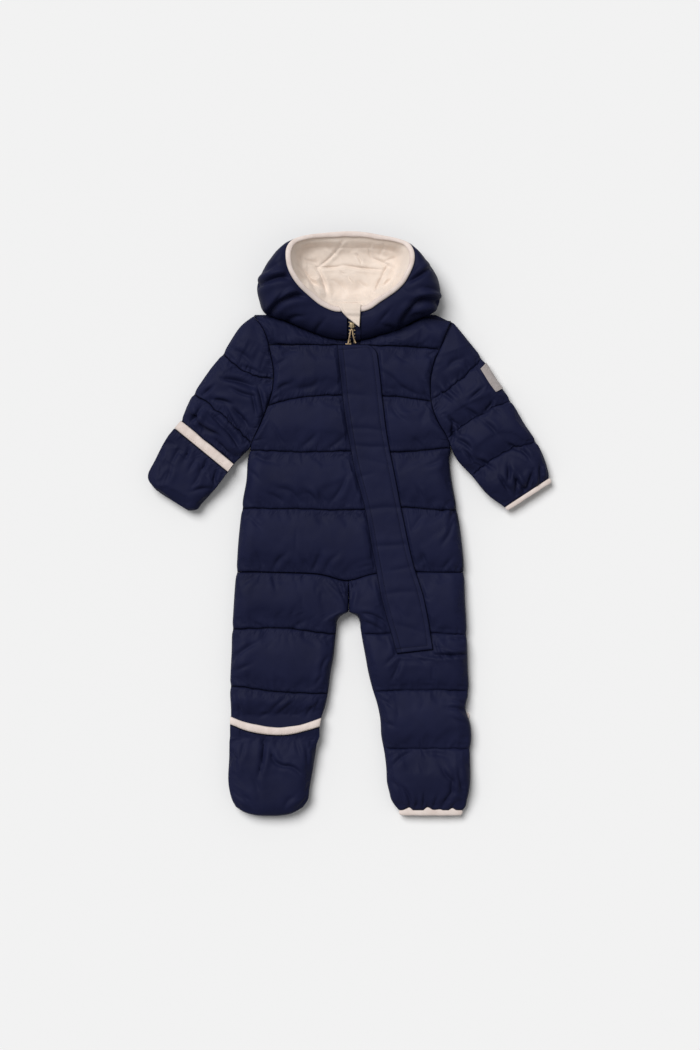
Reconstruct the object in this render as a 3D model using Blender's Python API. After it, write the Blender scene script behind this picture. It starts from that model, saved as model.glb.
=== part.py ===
"""Baby snowsuit laid flat on its back: a quilted, padded shell with a fleece-lined hood, a slanted zip
under a placket, and fold-over covers for the hands and feet.

Every length below is in millimetres on the laid-out garment: x runs to the wearer's left, y to the head
and z up from the floor. Right and left are the wearer's.
"""

import math

import bmesh
import bpy
import numpy as np

MM = 0.001

# ---------------------------------------------------------------- driving sizes

GAP = 0.3  # between pieces that touch
SEAM = 0.6  # between two curved edges sewn together, which are drawn from different points
BACK_TOP = 10.85  # top of the back layer
FRONT_BASE = BACK_TOP + GAP  # underside of the front layer
FOLD_HEIGHT = 11.0  # height of an outline where the front layer turns into the back layer

BODY_CREST = 27.0  # top of a padded channel on the body
LEG_CREST = 26.0
SLEEVE_CREST = 25.0
SIDE_SEAM_HEIGHT = 12.6  # front layer's edge at an open side
JOINED_SEAM_HEIGHT = 14.5  # front layer's edge where another padded piece is sewn on
SIDE_ROUNDING = 20.0  # how far in from an open side the padding reaches its height
SEAM_ROUNDING = 12.0
PUFF = 0.7  # below 1 gives a channel steep flanks and a broad crown
PINCH = 1.3  # how far a stitch line draws an outline in

BACK_ROUNDING = ((7.0, 0.8), (2.6, 3.8), (0.0, 8.5))  # height, inset of the back's lower edge
FOLDED_COVER = 4.0  # a cover folded flat behind its limb
COVER_CLEARANCE = FOLDED_COVER + 0.6
CUTTER_REACH = 30.0  # how far a cutter for that clearance runs past the limb's edges

BACK_NECK_Y = 272.5
ARMHOLE_FOOT_Y = 99.0
CROTCH_Y = -114.0
CENTRE_X = -1.0

PLACKET_THICKNESS = 3.5
PLACKET_BED = 20.0
PLACKET_LIFT = 1.4
PLACKET_TOP_Y = 233.0
PLACKET_CORNER = 14.0
PLACKET_FOOT_SLANT = 5.0  # the foot's free corner lies this much higher
PLACKET_PRESS = 0.1  # share of the padding's relief left under the placket
PRESS_OUTSIDE, PRESS_INSIDE = 7.0, 4.0  # the padding flattens over this strip along the placket's edge
BINDING_WIDTH = 9.0
COVER_CLOTH = 5.0
COVER_GAP = 0.9  # a cover's lip lies this far over the curved top of its limb
BINDING_PROUD = 0.8
BINDING_EDGE = -1.5  # a binding's free edge, below the cover's top
LIP_CLEARANCE = 0.6  # between a covered end and the lip of its cover

# ---------------------------------------------------------------- tables

# Stitch lines of the body, at these distances from the middle, then the height of the stitching
LINE_X = (-120, -70, 0, 70, 120)
BODY_LINES = (
    (233, 233, 233, 231, 227, 19.0),
    (150, 163.5, 168, 165, 158, 19.0),
    (96, 94, 95.3, 94, 99, 19.0),
    (20.5, 20, 18.6, 21.8, 18.6, 19.0),
    (-62, -63.3, -65, -62, -62.7, 17.0),
)
NECK_SEAM_HEIGHT = 15.0
LEG_SEAM_HEIGHT = 17.0
# Columns of a front panel, counted in guide lines
FRONT_RIGHT_COLUMNS = (0, 0.025, 0.09, 0.2, 0.36, 0.54, 0.7, 0.83, 0.93, 1, 1.5, 2, 3, 4)
FRONT_LEFT_COLUMNS = (0, 0.5, 1, 2, 2.12, 2.32, 2.54, 2.74, 2.88, 2.97, 3)
LEFT_LEG_COLUMNS = (0, 0.1, 0.35, 0.7, 1, 2, 2.5, 3, 4, 4.3, 4.62, 4.9, 5)
GATHER_DEPTH = 8.5  # how far the leg seam dips at the middle, where it is gathered
GATHER_HALF_WIDTH = 24.0

# Stitch lines of a leg: y at the outer edge, the middle and the inner edge, height of the stitching
RIGHT_LEG_X = (-147, -85, -24)
RIGHT_LEG_LINES = (
    (-136, -135, -142.6, 18.0),
    (-210.5, -218, -220, 18.0),
    (-275.3, -275.3, -275.3, 14.4),
)
LEFT_LEG_X = (25, 90, 148)
LEFT_LEG_LINES = (
    (-142.6, -141, -143.3, 18.0),
    (-218, -215.4, -216.7, 18.0),
    (-290.8, -291.5, -292, 18.0),
    (-371.5, -371.5, -371.5, 14.6),
)

# Edges, as y and then x
BODY_RIGHT_EDGE = (
    (-80, -148.5), (-59, -147), (-26, -145), (13, -141), (34, -138.4), (55, -134.5), (86, -132),
    (99, -129.4), (132, -115), (180, -99.5), (199, -98.7), (219, -102), (254, -112.5), (271, -124.2),
)
BODY_LEFT_EDGE = (
    (-80, 149.6), (-57, 149), (-26, 146.3), (13, 141), (34, 137.2), (55, 133.3), (76, 130.7),
    (86, 130), (97, 132.5), (113.5, 126.8), (132, 115.8), (154, 107.4), (171, 105.6), (188, 105.6),
    (210, 110.2), (238, 122.3), (263, 131.6),
)
RIGHT_LEG_OUTER = (
    (-280, -155), (-244, -154.1), (-214, -155.4), (-192, -154.7), (-166, -153.4), (-140, -152.8),
    (-119, -151.5), (-98, -150.2), (-78, -148.8), (-59, -147),
)
RIGHT_LEG_INNER = (
    (-280, -41.6), (-275, -41), (-254, -37.1), (-234, -30.6), (-213, -26.7), (-192, -24),
    (-171, -20.2), (-150, -18.2), (-135, -16.6), (-124, -14.8), (-118, -9.5), (-114, -1.6),
)
LEFT_LEG_OUTER = (
    (-372, 146.6), (-368.8, 149.6), (-358, 153), (-348, 155.4), (-338, 156.7), (-306, 156.7),
    (-254, 155.4), (-244, 151.5), (-215, 155.4), (-192, 154.1), (-150, 152.8), (-119, 151.5),
    (-98, 150.2), (-57, 149),
)
LEFT_LEG_INNER = (
    (-372, 64.5), (-368.8, 61.5), (-358, 54), (-348, 51.4), (-338, 48.8), (-317, 47.5), (-296, 44.9),
    (-275, 41), (-254, 39.7), (-234, 35.8), (-213, 29.3), (-192, 24), (-171, 20.2), (-150, 16.3),
    (-135, 13.9), (-124, 12.4), (-118, 8), (-114, -0.4),
)

# The slot that the zip fills: y, its right-hand edge, its left-hand edge
ZIP_SLOT = (
    (-166, 74.7, 82.7), (-111, 59, 67), (-46, 46, 54), (18.6, 34.4, 42.4), (99, 14.9, 22.9),
    (184, 3.8, 11.8), (226, -1, 12), (237, -2, 14), (280, -2, 14),
)
# The placket: y, its sewn edge, its free edge
PLACKET = (
    (-167.5, 61.2, 108.2), (-120.5, 47.8, 101.4), (-98, 42, 96.9), (-46, 31.9, 81.3),
    (18.6, 20.1, 67.6), (81, 4.4, 55.3), (122.6, -3, 47.5), (168, -9.6, 42.3), (184, -11, 40.6),
    (233, -16.2, 34.6),
)

# A sleeve: outer edge x, y; inner edge x, y; how far the row bows to the hand; seam or stitch height.
# Every second row is a stitch line.
SLEEVE_RIGHT = (
    (-124.8, 271.2, -122.0, 267.4, 0, 14.0),
    (-143.7, 255.2, -106.0, 236.0, 2, 14.0),
    (-165.1, 222.0, -97.5, 189.0, 8, 18.0),
    (-182.0, 200.6, -104.0, 156.4, 4, 18.0),
    (-202.8, 170.0, -126.0, 105.7, -3, 18.0),
    (-211.3, 153.8, -138.5, 90.1, -1, 18.0),
    (-219.1, 135.6, -150.2, 78.4, 0, 15.0),
    (-233.4, 114.8, -165.8, 57.6, 0, 15.0),
)
SLEEVE_LEFT = (
    (134.0, 263.8, 131.8, 261.0, 0, 14.0),
    (152.8, 240.9, 121.0, 235.7, 0, 14.0),
    (172.3, 216.2, 104.5, 161.6, 4, 18.0),
    (190.5, 187.6, 113.0, 135.6, 0, 18.0),
    (210.0, 160.9, 127.0, 111.5, -5, 18.0),
    (226.9, 131.7, 139.8, 84.2, -5, 18.0),
    (243.1, 107.6, 159.3, 62.8, -7, 17.0),
    (254.2, 83.6, 178.8, 39.4, -3, 17.0),
    (260.4, 60.7, 201.8, 22.3, 0, 14.6),
)
COVERED_CREST = 15.6  # top of a limb's end inside a cover

# The right hand's cover, from its binding to its end: outer edge x, y; inner edge x, y
MITTEN = (
    (-219.1, 134.3, -150.7, 78.4),
    (-226.9, 125.2, -157.9, 68.7),
    (-239.9, 108.3, -169.7, 51.8),
    (-252.9, 83.6, -184.0, 35.5),
    (-262.0, 64.6, -191.8, 27.1),
    (-258.0, 52.4, -198.3, 19.3),
    (-246.4, 40.7, -209.9, 18.0),
)
# The right foot's cover: y, outer edge x, inner edge x
FOOT = (
    (-368, -147.5, -60.5), (-358, -152.8, -54), (-345, -156.3, -52), (-300, -156.4, -44.5),
    (-275, -155.8, -41), (-254, -155, -37.1), (-240, -154.8, -34),
)
FOOT_MOUTH = ((-155, -248.5), (-98, -263.5), (-37, -252.5))  # x, y of the binding's upper edge
FOOT_TOE = (
    (-147.5, -367.5), (-139, -373.2), (-124, -378), (-106, -379.3), (-90, -378.9), (-75, -376), (-60.5, -368),
)
COVER_COLUMNS = (0, 0.02, 0.06, 0.13, 0.23, 0.36, 0.5, 0.64, 0.77, 0.87, 0.94, 0.98, 1)
FOOT_LEVELS = (0.082, 0.28, 0.4, 0.52, 0.64, 0.75, 0.84, 0.91, 0.96, 0.985, 1.0)  # mouth 0, end 1
FOOT_BAND_LEVELS = (0.0, 0.0385, 0.077)
MITTEN_LEVELS = (1.06, 1.3, 1.53, 2.2, 2.8, 3.4, 4.0, 4.5, 5.0, 5.4, 5.75, 6.0)  # rows of MITTEN
MITTEN_BAND_LEVELS = (0.0, 0.5, 1.02)
FOOT_CREST = 25.0
MITTEN_CREST = 24.0

# The hood, anticlockwise from the right side of the zip round the brim to its left side: rim x, y and
# height, the way the shell faces in degrees, and how far it reaches out from the rim
HOOD = (
    (-3.2, 274.6, 37, 270, 35.4),
    (-20.0, 275.2, 38, 260, 34.0),
    (-38.0, 283.0, 40, 243, 35.3),
    (-53.0, 295.0, 44, 224, 43.5),
    (-65.0, 306.0, 49, 216, 55.0),
    (-74.0, 318.0, 52, 213, 51.3),
    (-80.0, 331.0, 53, 210, 45.8),
    (-82.2, 344.0, 52, 207, 34.0),
    (-81.5, 355.0, 49, 200, 18.0),
    (-77.0, 364.0, 44, 180, 4.5),
    (-69.0, 369.8, 38, 145, 0.0),
    (-51.4, 374.8, 33, 110, -1.0),
    (-25.4, 377.8, 30, 97, -1.0),
    (-2.0, 379.3, 30, 90, -1.0),
    (20.0, 378.0, 31, 84, -1.0),
    (41.0, 374.0, 33, 78, -1.0),
    (60.0, 370.0, 36, 68, -1.0),
    (75.0, 364.3, 40, 32, 0.0),
    (81.5, 356.5, 45, -5, 6.0),
    (84.0, 346.0, 49, -18, 18.0),
    (82.5, 334.0, 52, -25, 35.0),
    (77.0, 321.0, 53, -26, 45.0),
    (70.0, 309.5, 52, -29, 52.0),
    (60.0, 300.0, 49, -29, 54.0),
    (49.0, 292.5, 45, -38, 46.0),
    (38.0, 285.5, 41, -54, 40.5),
    (28.0, 278.6, 38, -73, 34.5),
    (15.0, 274.6, 37, -90, 35.4),
    (-3.2, 274.6, 37, -90, 35.4),
)
BRIM_START, BRIM_END, ZIP_LEFT, ZIP_RIGHT = 10, 17, 27, 28
HOOD_STEP = 1 / 3
BOWL = np.array((0.0, 325.0))  # middle of the hood's floor
RIM_INSET = (1.0, 4.5)  # outer and inner edge of the shell's rim, in from the opening's outline
WALL_FOOT = 16.0  # how far in the wall meets the floor
FLOOR_TOP = 6.7
BELLY_HEIGHT = 24.0  # height of the shell's widest line, off the body
COLLAR_FOOT_HEIGHT = 15.0  # the same where the collar meets the body
CREST_LIFT = 3.5
LINING = 2.0
HOOD_BINDING_WIDTH = 7.3

# Folds of the lining: start x, y; end x, y; height; half width
LINING_FOLDS = (
    (-41, 335, -10, 336, 5.0, 7.0),
    (-10, 336, 42, 331, 5.0, 7.0),
    (-44, 330, -30, 290, 4.0, 6.0),
    (-10, 328, 6, 314, 3.5, 6.0),
    (48, 322, 36, 294, 4.0, 6.0),
    (7, 352, 14, 338, 3.0, 5.0),
)

CHIN_GUARD = ((-10.0, 275.2), (13.2, 275.2), (12.8, 255.0))  # outer corners and tip
CHIN_GUARD_THICKNESS = 2.2
ZIP_SINK = 6.0  # the facing behind the zip lies this far below the collar's outside
ZIP_LIFT = 0.7
ZIP_TAPE = 1.6
ZIP_CHAIN = 1.4
CHAIN_HALF_WIDTH = 1.8
CHAIN_TOP = ZIP_LIFT + ZIP_TAPE + ZIP_CHAIN
SLIDER_Y = 257.0
SLIDER = (6.6, 7.6, 3.6)  # across, along and thick
SLIDER_TAPER = ((-0.5, 0.6), (-0.3, 0.85), (0.2, 1.0), (0.5, 0.8))  # place along it, share of its width
PULLER_RADIUS = 0.8
PULLER_POINTS = 15
PULLER_ROUTE = (  # across from the slider's middle, y, height over the zip
    (-4.5, 235.0, 0.8), (-3.6, 238.4, 0.8), (-2.6, 243.0, 0.8), (-1.6, 248.0, 0.8), (-1.0, 250.9, 1.0),
    (0.0, 251.8, 1.2), (1.0, 250.9, 1.0), (1.4, 248.0, 0.8), (2.4, 243.0, 0.8), (4.0, 238.4, 0.8),
    (5.5, 235.0, 0.8),
)

FOLDED_MITTEN_STATION = 6.3  # the left hand's cover is folded behind the sleeve from here to the cuff
FOLDED_FOOT_Y = -245.0  # the left foot's cover is folded behind the leg from here to the hem
PEEK = 4.4  # how far that cover's binding shows past the leg

LABEL_STATIONS = (2.25, 3.42)
LABEL_PATH = (10.4, 7.5, 5.0, 2.6, 0.9, 0.0)  # in from the sleeve's outer edge, over the top
LABEL_THICKNESS = 0.9
SLIT_END = 4.0  # the folded layers of a sleeve join this far in from its outer edge

CUFF_RING = 5.0
HEM_RING = 6.8
RING_WALL = 5.0
RING_MOUTH = 2.4

NAVY = (0.016, 0.018, 0.048)
CREAM = (0.80, 0.70, 0.58)
BINDING = (0.72, 0.60, 0.55)
GREY = (0.36, 0.33, 0.32)
GOLD = (0.60, 0.42, 0.20)
TAN = (0.60, 0.44, 0.26)


# ---------------------------------------------------------------- curves


def smooth(knots, values, at):
    """A smooth curve through values at rising knots, held level beyond its ends."""
    k = np.asarray(knots, float)
    v = np.asarray(values, float)
    slope = np.gradient(v, k, axis=0)
    at = np.clip(np.asarray(at, float), k[0], k[-1])
    i = np.clip(np.searchsorted(k, at) - 1, 0, len(k) - 2)
    span = k[i + 1] - k[i]
    t = (at - k[i]) / span
    if v.ndim > 1:
        span, t = span[..., None], t[..., None]
    start = (2 * t**3 - 3 * t**2 + 1) * v[i] + (t**3 - 2 * t**2 + t) * span * slope[i]
    end = (3 * t**2 - 2 * t**3) * v[i + 1] + (t**3 - t**2) * span * slope[i + 1]
    return start + end


def curve(table, column=1):
    """The curve of one column of a table against its first."""
    rows = sorted(table)
    return lambda at: smooth([r[0] for r in rows], [r[column] for r in rows], at)


def ease(at, start, end):
    """0 before start, 1 after end, smooth between."""
    t = np.clip((at - start) / (end - start), 0, 1)
    return t * t * (3 - 2 * t)


def rise(share):
    """A quarter circle, from 0 at an edge to 1 inside."""
    return np.sqrt(np.clip(1 - (1 - np.clip(share, 0, 1)) ** 2, 0, 1))


def puff(share):
    """The height of a padded channel across it, 0 at both stitch lines."""
    return np.sin(np.pi * np.clip(share, 0, 1)) ** PUFF


# ---------------------------------------------------------------- hood sections


def hood_station(at):
    """(rim, height, unit vector out, unit vector in, reach) at a place in the hood's table."""
    x, y, height, facing, reach = smooth(range(len(HOOD)), HOOD, at)
    rim = np.array((x, y))
    out = np.array((math.cos(math.radians(facing)), math.sin(math.radians(facing))))
    inward = (BOWL - rim) / np.linalg.norm(BOWL - rim)
    return rim, height, out, inward, reach


def collar_line():
    """Points where the collar meets the body, from right to left."""
    found = []
    for at in np.arange(0, len(HOOD) - 1 + 0.1, 0.5):
        rim, _, out, _, reach = hood_station(at)
        spot = rim + out * reach
        if spot[1] < BACK_NECK_Y:
            found.append(tuple(spot))
    return sorted(set(found))


COLLAR = collar_line()


def neck(x):
    """The neck edge of the body's front."""
    ends = [(-126.0, 271.0), *COLLAR, (133.0, 264.0)]
    y = np.interp(x, [p[0] for p in ends], [p[1] for p in ends])
    return np.minimum(y, BACK_NECK_Y - 0.5) - SEAM


# ---------------------------------------------------------------- panels


def body_line(row):
    level = curve(tuple(zip(LINE_X, row)))
    return lambda x: level(x)


def leg_seam(x):
    """The seam between body and legs, gathered at the middle."""
    dip = GATHER_DEPTH * np.exp(-(((np.asarray(x) + 3) / GATHER_HALF_WIDTH) ** 2))
    return body_line(BODY_LINES[-1])(x) - dip


def shifted(line, by):
    return lambda at: line(at) + by


class Panel:
    """A quilted layer between two edges: its stitch lines, and how high it stands at any place.

    Its columns follow guide lines from the left edge to the right one.
    """

    def __init__(self, lines, heights, guides, crest, sides):
        self.lines, self.heights, self.guides = lines, heights, guides
        self.left, self.right = guides[0], guides[-1]
        self.crest, self.sides = crest, sides

    def spot(self, level, columns):
        """x and y at a place along the panel, counted in channels, for places counted in guides."""
        band = min(int(level), len(self.lines) - 2)
        share = level - band
        cell = np.minimum(columns.astype(int), len(self.guides) - 2)
        inside = columns - cell
        place = np.arange(len(columns))
        x = np.zeros(len(columns))
        for _ in range(12):
            y = self.lines[band](x) * (1 - share) + self.lines[band + 1](x) * share
            at = np.stack([guide(y) for guide in self.guides])
            x = at[cell, place] * (1 - inside) + at[cell + 1, place] * inside
        return x, y

    def height(self, x, y):
        """Top of the layer, from the channel it is in and how near its edges are."""
        rows = np.stack([line(x) for line in self.lines])
        band = np.clip((rows > y).sum(0) - 1, 0, len(self.lines) - 2)
        upper = np.take_along_axis(rows, band[None], 0)[0]
        lower = np.take_along_axis(rows, band[None] + 1, 0)[0]
        share = np.clip((upper - y) / np.maximum(upper - lower, 0.5), 0, 1)
        stitched = np.asarray(self.heights)
        valley = stitched[band] * (1 - share) + stitched[band + 1] * share
        narrow = np.clip((upper - lower) / 35, 0, 1)
        top = valley + (self.crest(y) - valley) * puff(share) * narrow
        for side, distance in zip(self.sides, (x - self.left(y), self.right(y) - x)):
            if side:
                edge, rounding = side(y)
                top = edge + (top - edge) * rise(distance / rounding)
        return top


def body_side(y):
    """An armhole seam above, an open side below."""
    share = ease(y, ARMHOLE_FOOT_Y - 12, ARMHOLE_FOOT_Y + 12)
    edge = SIDE_SEAM_HEIGHT + (JOINED_SEAM_HEIGHT - SIDE_SEAM_HEIGHT) * share
    return edge, SIDE_ROUNDING + (SEAM_ROUNDING - SIDE_ROUNDING) * share


def inner_leg_side(y):
    """A seam to the other leg above the crotch, an open side below."""
    share = ease(y, CROTCH_Y - 20, CROTCH_Y + 6)
    edge = SIDE_SEAM_HEIGHT + (JOINED_SEAM_HEIGHT - SIDE_SEAM_HEIGHT) * share
    return edge, SIDE_ROUNDING + (SEAM_ROUNDING - SIDE_ROUNDING) * share


def open_side(y):
    return SIDE_SEAM_HEIGHT, SIDE_ROUNDING


def pinched(edge, lines, at_x, outward):
    """An edge drawn in where stitch lines meet it."""
    stops = [float(line(at_x)) for line in lines]
    return lambda y: edge(y) - outward * PINCH * sum(np.exp(-(((y - s) / 5.0) ** 2)) for s in stops)


body_lines = [neck, *(body_line(row) for row in BODY_LINES[:-1]), shifted(leg_seam, SEAM / 2)]
body_heights = [NECK_SEAM_HEIGHT, *(row[-1] for row in BODY_LINES)]


def leg_lines(knots, rows):
    return [
        shifted(leg_seam, -SEAM / 2),
        *(curve(tuple(zip(knots, row[:-1]))) for row in rows),
    ]


right_leg_lines = leg_lines(RIGHT_LEG_X, RIGHT_LEG_LINES)
left_leg_lines = leg_lines(LEFT_LEG_X, LEFT_LEG_LINES)

right_edge = pinched(curve(BODY_RIGHT_EDGE), body_lines[3:], -140, -1)
left_edge = pinched(curve(BODY_LEFT_EDGE), body_lines[3:], 140, 1)
right_leg_outer = pinched(curve(RIGHT_LEG_OUTER), right_leg_lines[:3], -147, -1)
left_leg_outer = pinched(curve(LEFT_LEG_OUTER), left_leg_lines[:4], 148, 1)


def leg_inner(table, side):
    """The inside leg, and the seam between the legs above the crotch."""
    open_edge = curve(table)
    return lambda y: np.where(y > CROTCH_Y, CENTRE_X + side * GAP, open_edge(y) + side * GAP)


right_leg_inner = leg_inner(RIGHT_LEG_INNER, -1)
left_leg_inner = leg_inner(LEFT_LEG_INNER, 1)
slot_right = curve(ZIP_SLOT, 1)
slot_left = curve(ZIP_SLOT, 2)
placket_sewn = curve(PLACKET, 1)
placket_free = curve(PLACKET, 2)


def under_placket(x, y):
    """How fully a place lies under the placket, from 0 to 1."""
    inside = np.minimum(x - placket_sewn(y), placket_free(y) - x)
    along = np.minimum(y - PLACKET[0][0], PLACKET_TOP_Y - y)
    return np.clip((np.minimum(inside, along) + PRESS_OUTSIDE) / (PRESS_OUTSIDE + PRESS_INSIDE), 0, 1)


def pressed(panel):
    """A front panel's height, pressed flatter where the placket lies on it."""

    def height(x, y):
        top = panel.height(x, y)
        flat = PLACKET_BED + PLACKET_PRESS * (top - PLACKET_BED)
        return top + (np.minimum(top, flat) - top) * under_placket(x, y)

    return height


def body_crest(y):
    return BODY_CREST


def left_leg_crest(y):
    return LEG_CREST - 4.0 * ease(-y, 300, 371)


def right_leg_crest(y):
    return LEG_CREST + (COVERED_CREST - LEG_CREST) * ease(-y, 222, 250)


def centre_line(y):
    """A column down the middle of the right front, clear of the placket."""
    return np.minimum(placket_sewn(y) - PRESS_OUTSIDE - 1, CENTRE_X)


def below_placket(line):
    """A column that swings to the leg's middle below the placket."""
    return lambda y: line(y) + 24 * ease(-y, 170, 340)


before_placket = shifted(placket_sewn, -PRESS_OUTSIDE)
inside_sewn = shifted(placket_sewn, PRESS_INSIDE)
inside_free = shifted(placket_free, -PRESS_INSIDE)
after_placket = shifted(placket_free, PRESS_OUTSIDE)
front_right = Panel(
    body_lines, body_heights,
    (shifted(right_edge, SEAM / 2), centre_line, before_placket, inside_sewn, shifted(slot_right, -GAP)),
    body_crest, (body_side, None),
)
front_left = Panel(
    body_lines, body_heights,
    (shifted(slot_left, GAP), inside_free, after_placket, shifted(left_edge, -SEAM / 2)),
    body_crest, (None, body_side),
)
leg_right = Panel(
    right_leg_lines, [LEG_SEAM_HEIGHT, *(row[-1] for row in RIGHT_LEG_LINES)],
    (right_leg_outer, right_leg_inner), right_leg_crest, (open_side, inner_leg_side),
)
leg_left = Panel(
    left_leg_lines, [LEG_SEAM_HEIGHT, *(row[-1] for row in LEFT_LEG_LINES)],
    (left_leg_inner, below_placket(before_placket), below_placket(inside_sewn), inside_free, after_placket,
     left_leg_outer),
    left_leg_crest, (inner_leg_side, open_side),
)


def front_height(x, y):
    """Top of the left front and the left leg together, which the placket lies on."""
    edges = (right_edge, left_edge)
    whole_front = Panel(body_lines, body_heights, edges, body_crest, (body_side, body_side))
    upper = pressed(whole_front)(x, y)
    lower = pressed(leg_left)(x, y)
    return np.where(y > leg_seam(x), upper, lower)


# ---------------------------------------------------------------- mesh tools


class Skin:
    """Collects the corners and faces of one closed piece."""

    def __init__(self):
        self.points, self.faces = [], []

    def row(self, points):
        start = len(self.points)
        self.points.extend(tuple(float(c) for c in p) for p in points)
        return list(range(start, len(self.points)))

    def rows(self, grid):
        return [self.row(points) for points in grid]

    def face(self, *corners):
        self.faces.append(corners)

    def strip(self, a, b, closed=False):
        """Four-sided faces between two rows of the same length."""
        count = len(a) if closed else len(a) - 1
        for i in range(count):
            j = (i + 1) % len(a)
            self.face(a[i], a[j], b[j], b[i])

    def cloth(self, rows, closed=False):
        for a, b in zip(rows, rows[1:]):
            self.strip(a, b, closed)

    def finish(self, name, material):
        mesh = bpy.data.meshes.new(name)
        mesh.from_pydata((np.array(self.points) * MM).tolist(), [], self.faces)
        shell = bmesh.new()
        shell.from_mesh(mesh)
        bmesh.ops.recalc_face_normals(shell, faces=shell.faces)
        many_sided = [f for f in shell.faces if len(f.verts) > 4]
        bmesh.ops.triangulate(shell, faces=many_sided, quad_method="BEAUTY", ngon_method="BEAUTY")
        shell.to_mesh(mesh)
        shell.free()
        mesh.shade_smooth()
        mesh.set_sharp_from_angle(angle=math.radians(40))
        obj = bpy.data.objects.new(name, mesh)
        bpy.context.collection.objects.link(obj)
        mesh.materials.append(material)
        return obj


def rim_of(rows):
    """The outline of a grid of corners, once round."""
    top, bottom = rows[0], rows[-1]
    right = [r[-1] for r in rows[1:-1]]
    left = [r[0] for r in rows[1:-1]]
    return [*top, *right, *bottom[::-1], *left[::-1]]


def inset_of(outline):
    """A unit vector to the inside at each corner of a closed outline in x and y."""
    ahead = np.roll(outline, -1, 0) - outline
    ahead /= np.maximum(np.linalg.norm(ahead, axis=1), 1e-9)[:, None]
    along = ahead + np.roll(ahead, 1, 0)
    normal = np.stack([-along[:, 1], along[:, 0]], 1)
    normal /= np.maximum(np.linalg.norm(normal, axis=1), 1e-9)[:, None]
    x, y = outline[:, 0], outline[:, 1]
    area = (x * np.roll(y, -1) - y * np.roll(x, -1)).sum()
    return normal if area > 0 else -normal


def room_inside(outline):
    """How far each corner of a closed outline can move inside before its neighbours cross."""
    ahead = np.roll(outline, -1, 0) - outline
    step = np.maximum(np.linalg.norm(ahead, axis=1), 1e-6)
    ahead /= step[:, None]
    behind = np.roll(ahead, 1, 0)
    turn = np.arccos(np.clip((ahead * behind).sum(1), -1, 1))
    nearest = np.minimum(step, np.roll(step, 1))
    room = 0.7 * nearest / np.maximum(turn, 1e-3)
    for _ in range(3):
        for i in [*range(len(room)), *range(len(room) - 1, -1, -1)]:
            after = (i + 1) % len(room)
            room[i] = min(room[i], room[i - 1] + 0.45 * step[i - 1], room[after] + 0.45 * step[i])
    return room


def join(x, y, z):
    """Corners from separate x, y and z, any of which may be one number."""
    return np.stack(np.broadcast_arrays(x, y, z), -1)


def padded_front(name, panel, height, levels, columns, material):
    """A front layer: a quilted top over a flat underside that lies on the back layer."""
    skin = Skin()
    grid = []
    for level in levels:
        x, y = panel.spot(level, np.array(columns, float))
        grid.append(join(x, y, height(x, y)))
    rows = skin.rows(grid)
    skin.cloth(rows)
    rim = rim_of(rows)
    base = skin.row([(*skin.points[i][:2], FRONT_BASE) for i in rim])
    skin.strip(rim, base, closed=True)
    skin.face(*base)
    return skin.finish(name, material)


def back_plate(name, outline, material):
    """A back layer: flat above and below, with a rounded lower edge."""
    outline = np.asarray(outline, float)
    inward = inset_of(outline)
    room = room_inside(outline)
    skin = Skin()
    ring = skin.row(join(outline[:, 0], outline[:, 1], BACK_TOP))
    skin.face(*ring)
    for height, inset in BACK_ROUNDING:
        spots = outline + inward * np.minimum(inset, room)[:, None]
        below = skin.row(join(spots[:, 0], spots[:, 1], height))
        skin.strip(ring, below, closed=True)
        ring = below
    skin.face(*ring)
    return skin.finish(name, material)


def slab(name, grid, base, top, material):
    """A strip of cloth between two heights given at each corner of a grid in x and y."""
    skin = Skin()
    upper = skin.rows(join(grid[..., 0], grid[..., 1], top))
    lower = skin.rows(join(grid[..., 0], grid[..., 1], base))
    skin.cloth(upper)
    skin.cloth(lower)
    skin.strip(rim_of(upper), rim_of(lower), closed=True)
    return skin.finish(name, material)


def cosine(count):
    """Shares from 0 to 1, close together near both ends."""
    return (1 - np.cos(np.pi * np.arange(count) / (count - 1))) / 2


def channel_levels(count, steps=(0.0, 0.1, 0.28, 0.5, 0.72, 0.9)):
    """Row places through quilted channels, close together near each stitch line."""
    return np.array([band + step for band in range(count) for step in steps] + [count])


# ---------------------------------------------------------------- body and legs


def make_body(material):
    levels = channel_levels(len(body_lines) - 1)
    padded_front("front_right", front_right, pressed(front_right), levels, FRONT_RIGHT_COLUMNS, material)
    padded_front("front_left", front_left, pressed(front_left), levels, FRONT_LEFT_COLUMNS, material)
    y = np.linspace(-56, BACK_NECK_Y, 26)
    right_top = float(curve(BODY_RIGHT_EDGE)(BACK_NECK_Y))
    seam_x = np.linspace(float(right_edge(-62.0)), float(left_edge(-62.7)), 24)
    seam = [(x, float(leg_seam(x)) + SEAM / 2) for x in seam_x]
    left_y = np.linspace(-56, BODY_LEFT_EDGE[-1][0], 26)
    left = [(float(left_edge(v)) - SEAM / 2, v) for v in left_y]
    right = [(float(right_edge(v)) + SEAM / 2, v) for v in y[::-1]]
    neck_line = [(x, BACK_NECK_Y) for x in np.linspace(112, right_top + 24, 8)]
    back_plate("back", [*seam, *left, *neck_line, *right], material)


def leg_outline(panel, end_y):
    """Outline of a leg's back layer, from its seam to the body down and round."""
    x, y = panel.spot(0, np.linspace(0, len(panel.guides) - 1, 12))
    seam = list(zip(x, y - SEAM / 2))
    right_y = np.linspace(y[-1], end_y, 26)[1:]
    left_y = np.linspace(y[0], end_y, 26)[1:]
    right = [(float(panel.right(v)), v) for v in right_y]
    left = [(float(panel.left(v)), v) for v in left_y[::-1]]
    foot = [(v, end_y) for v in np.linspace(right[-1][0], left[0][0], 8)[1:-1]]
    return [*seam, *right, *foot, *left]


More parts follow.
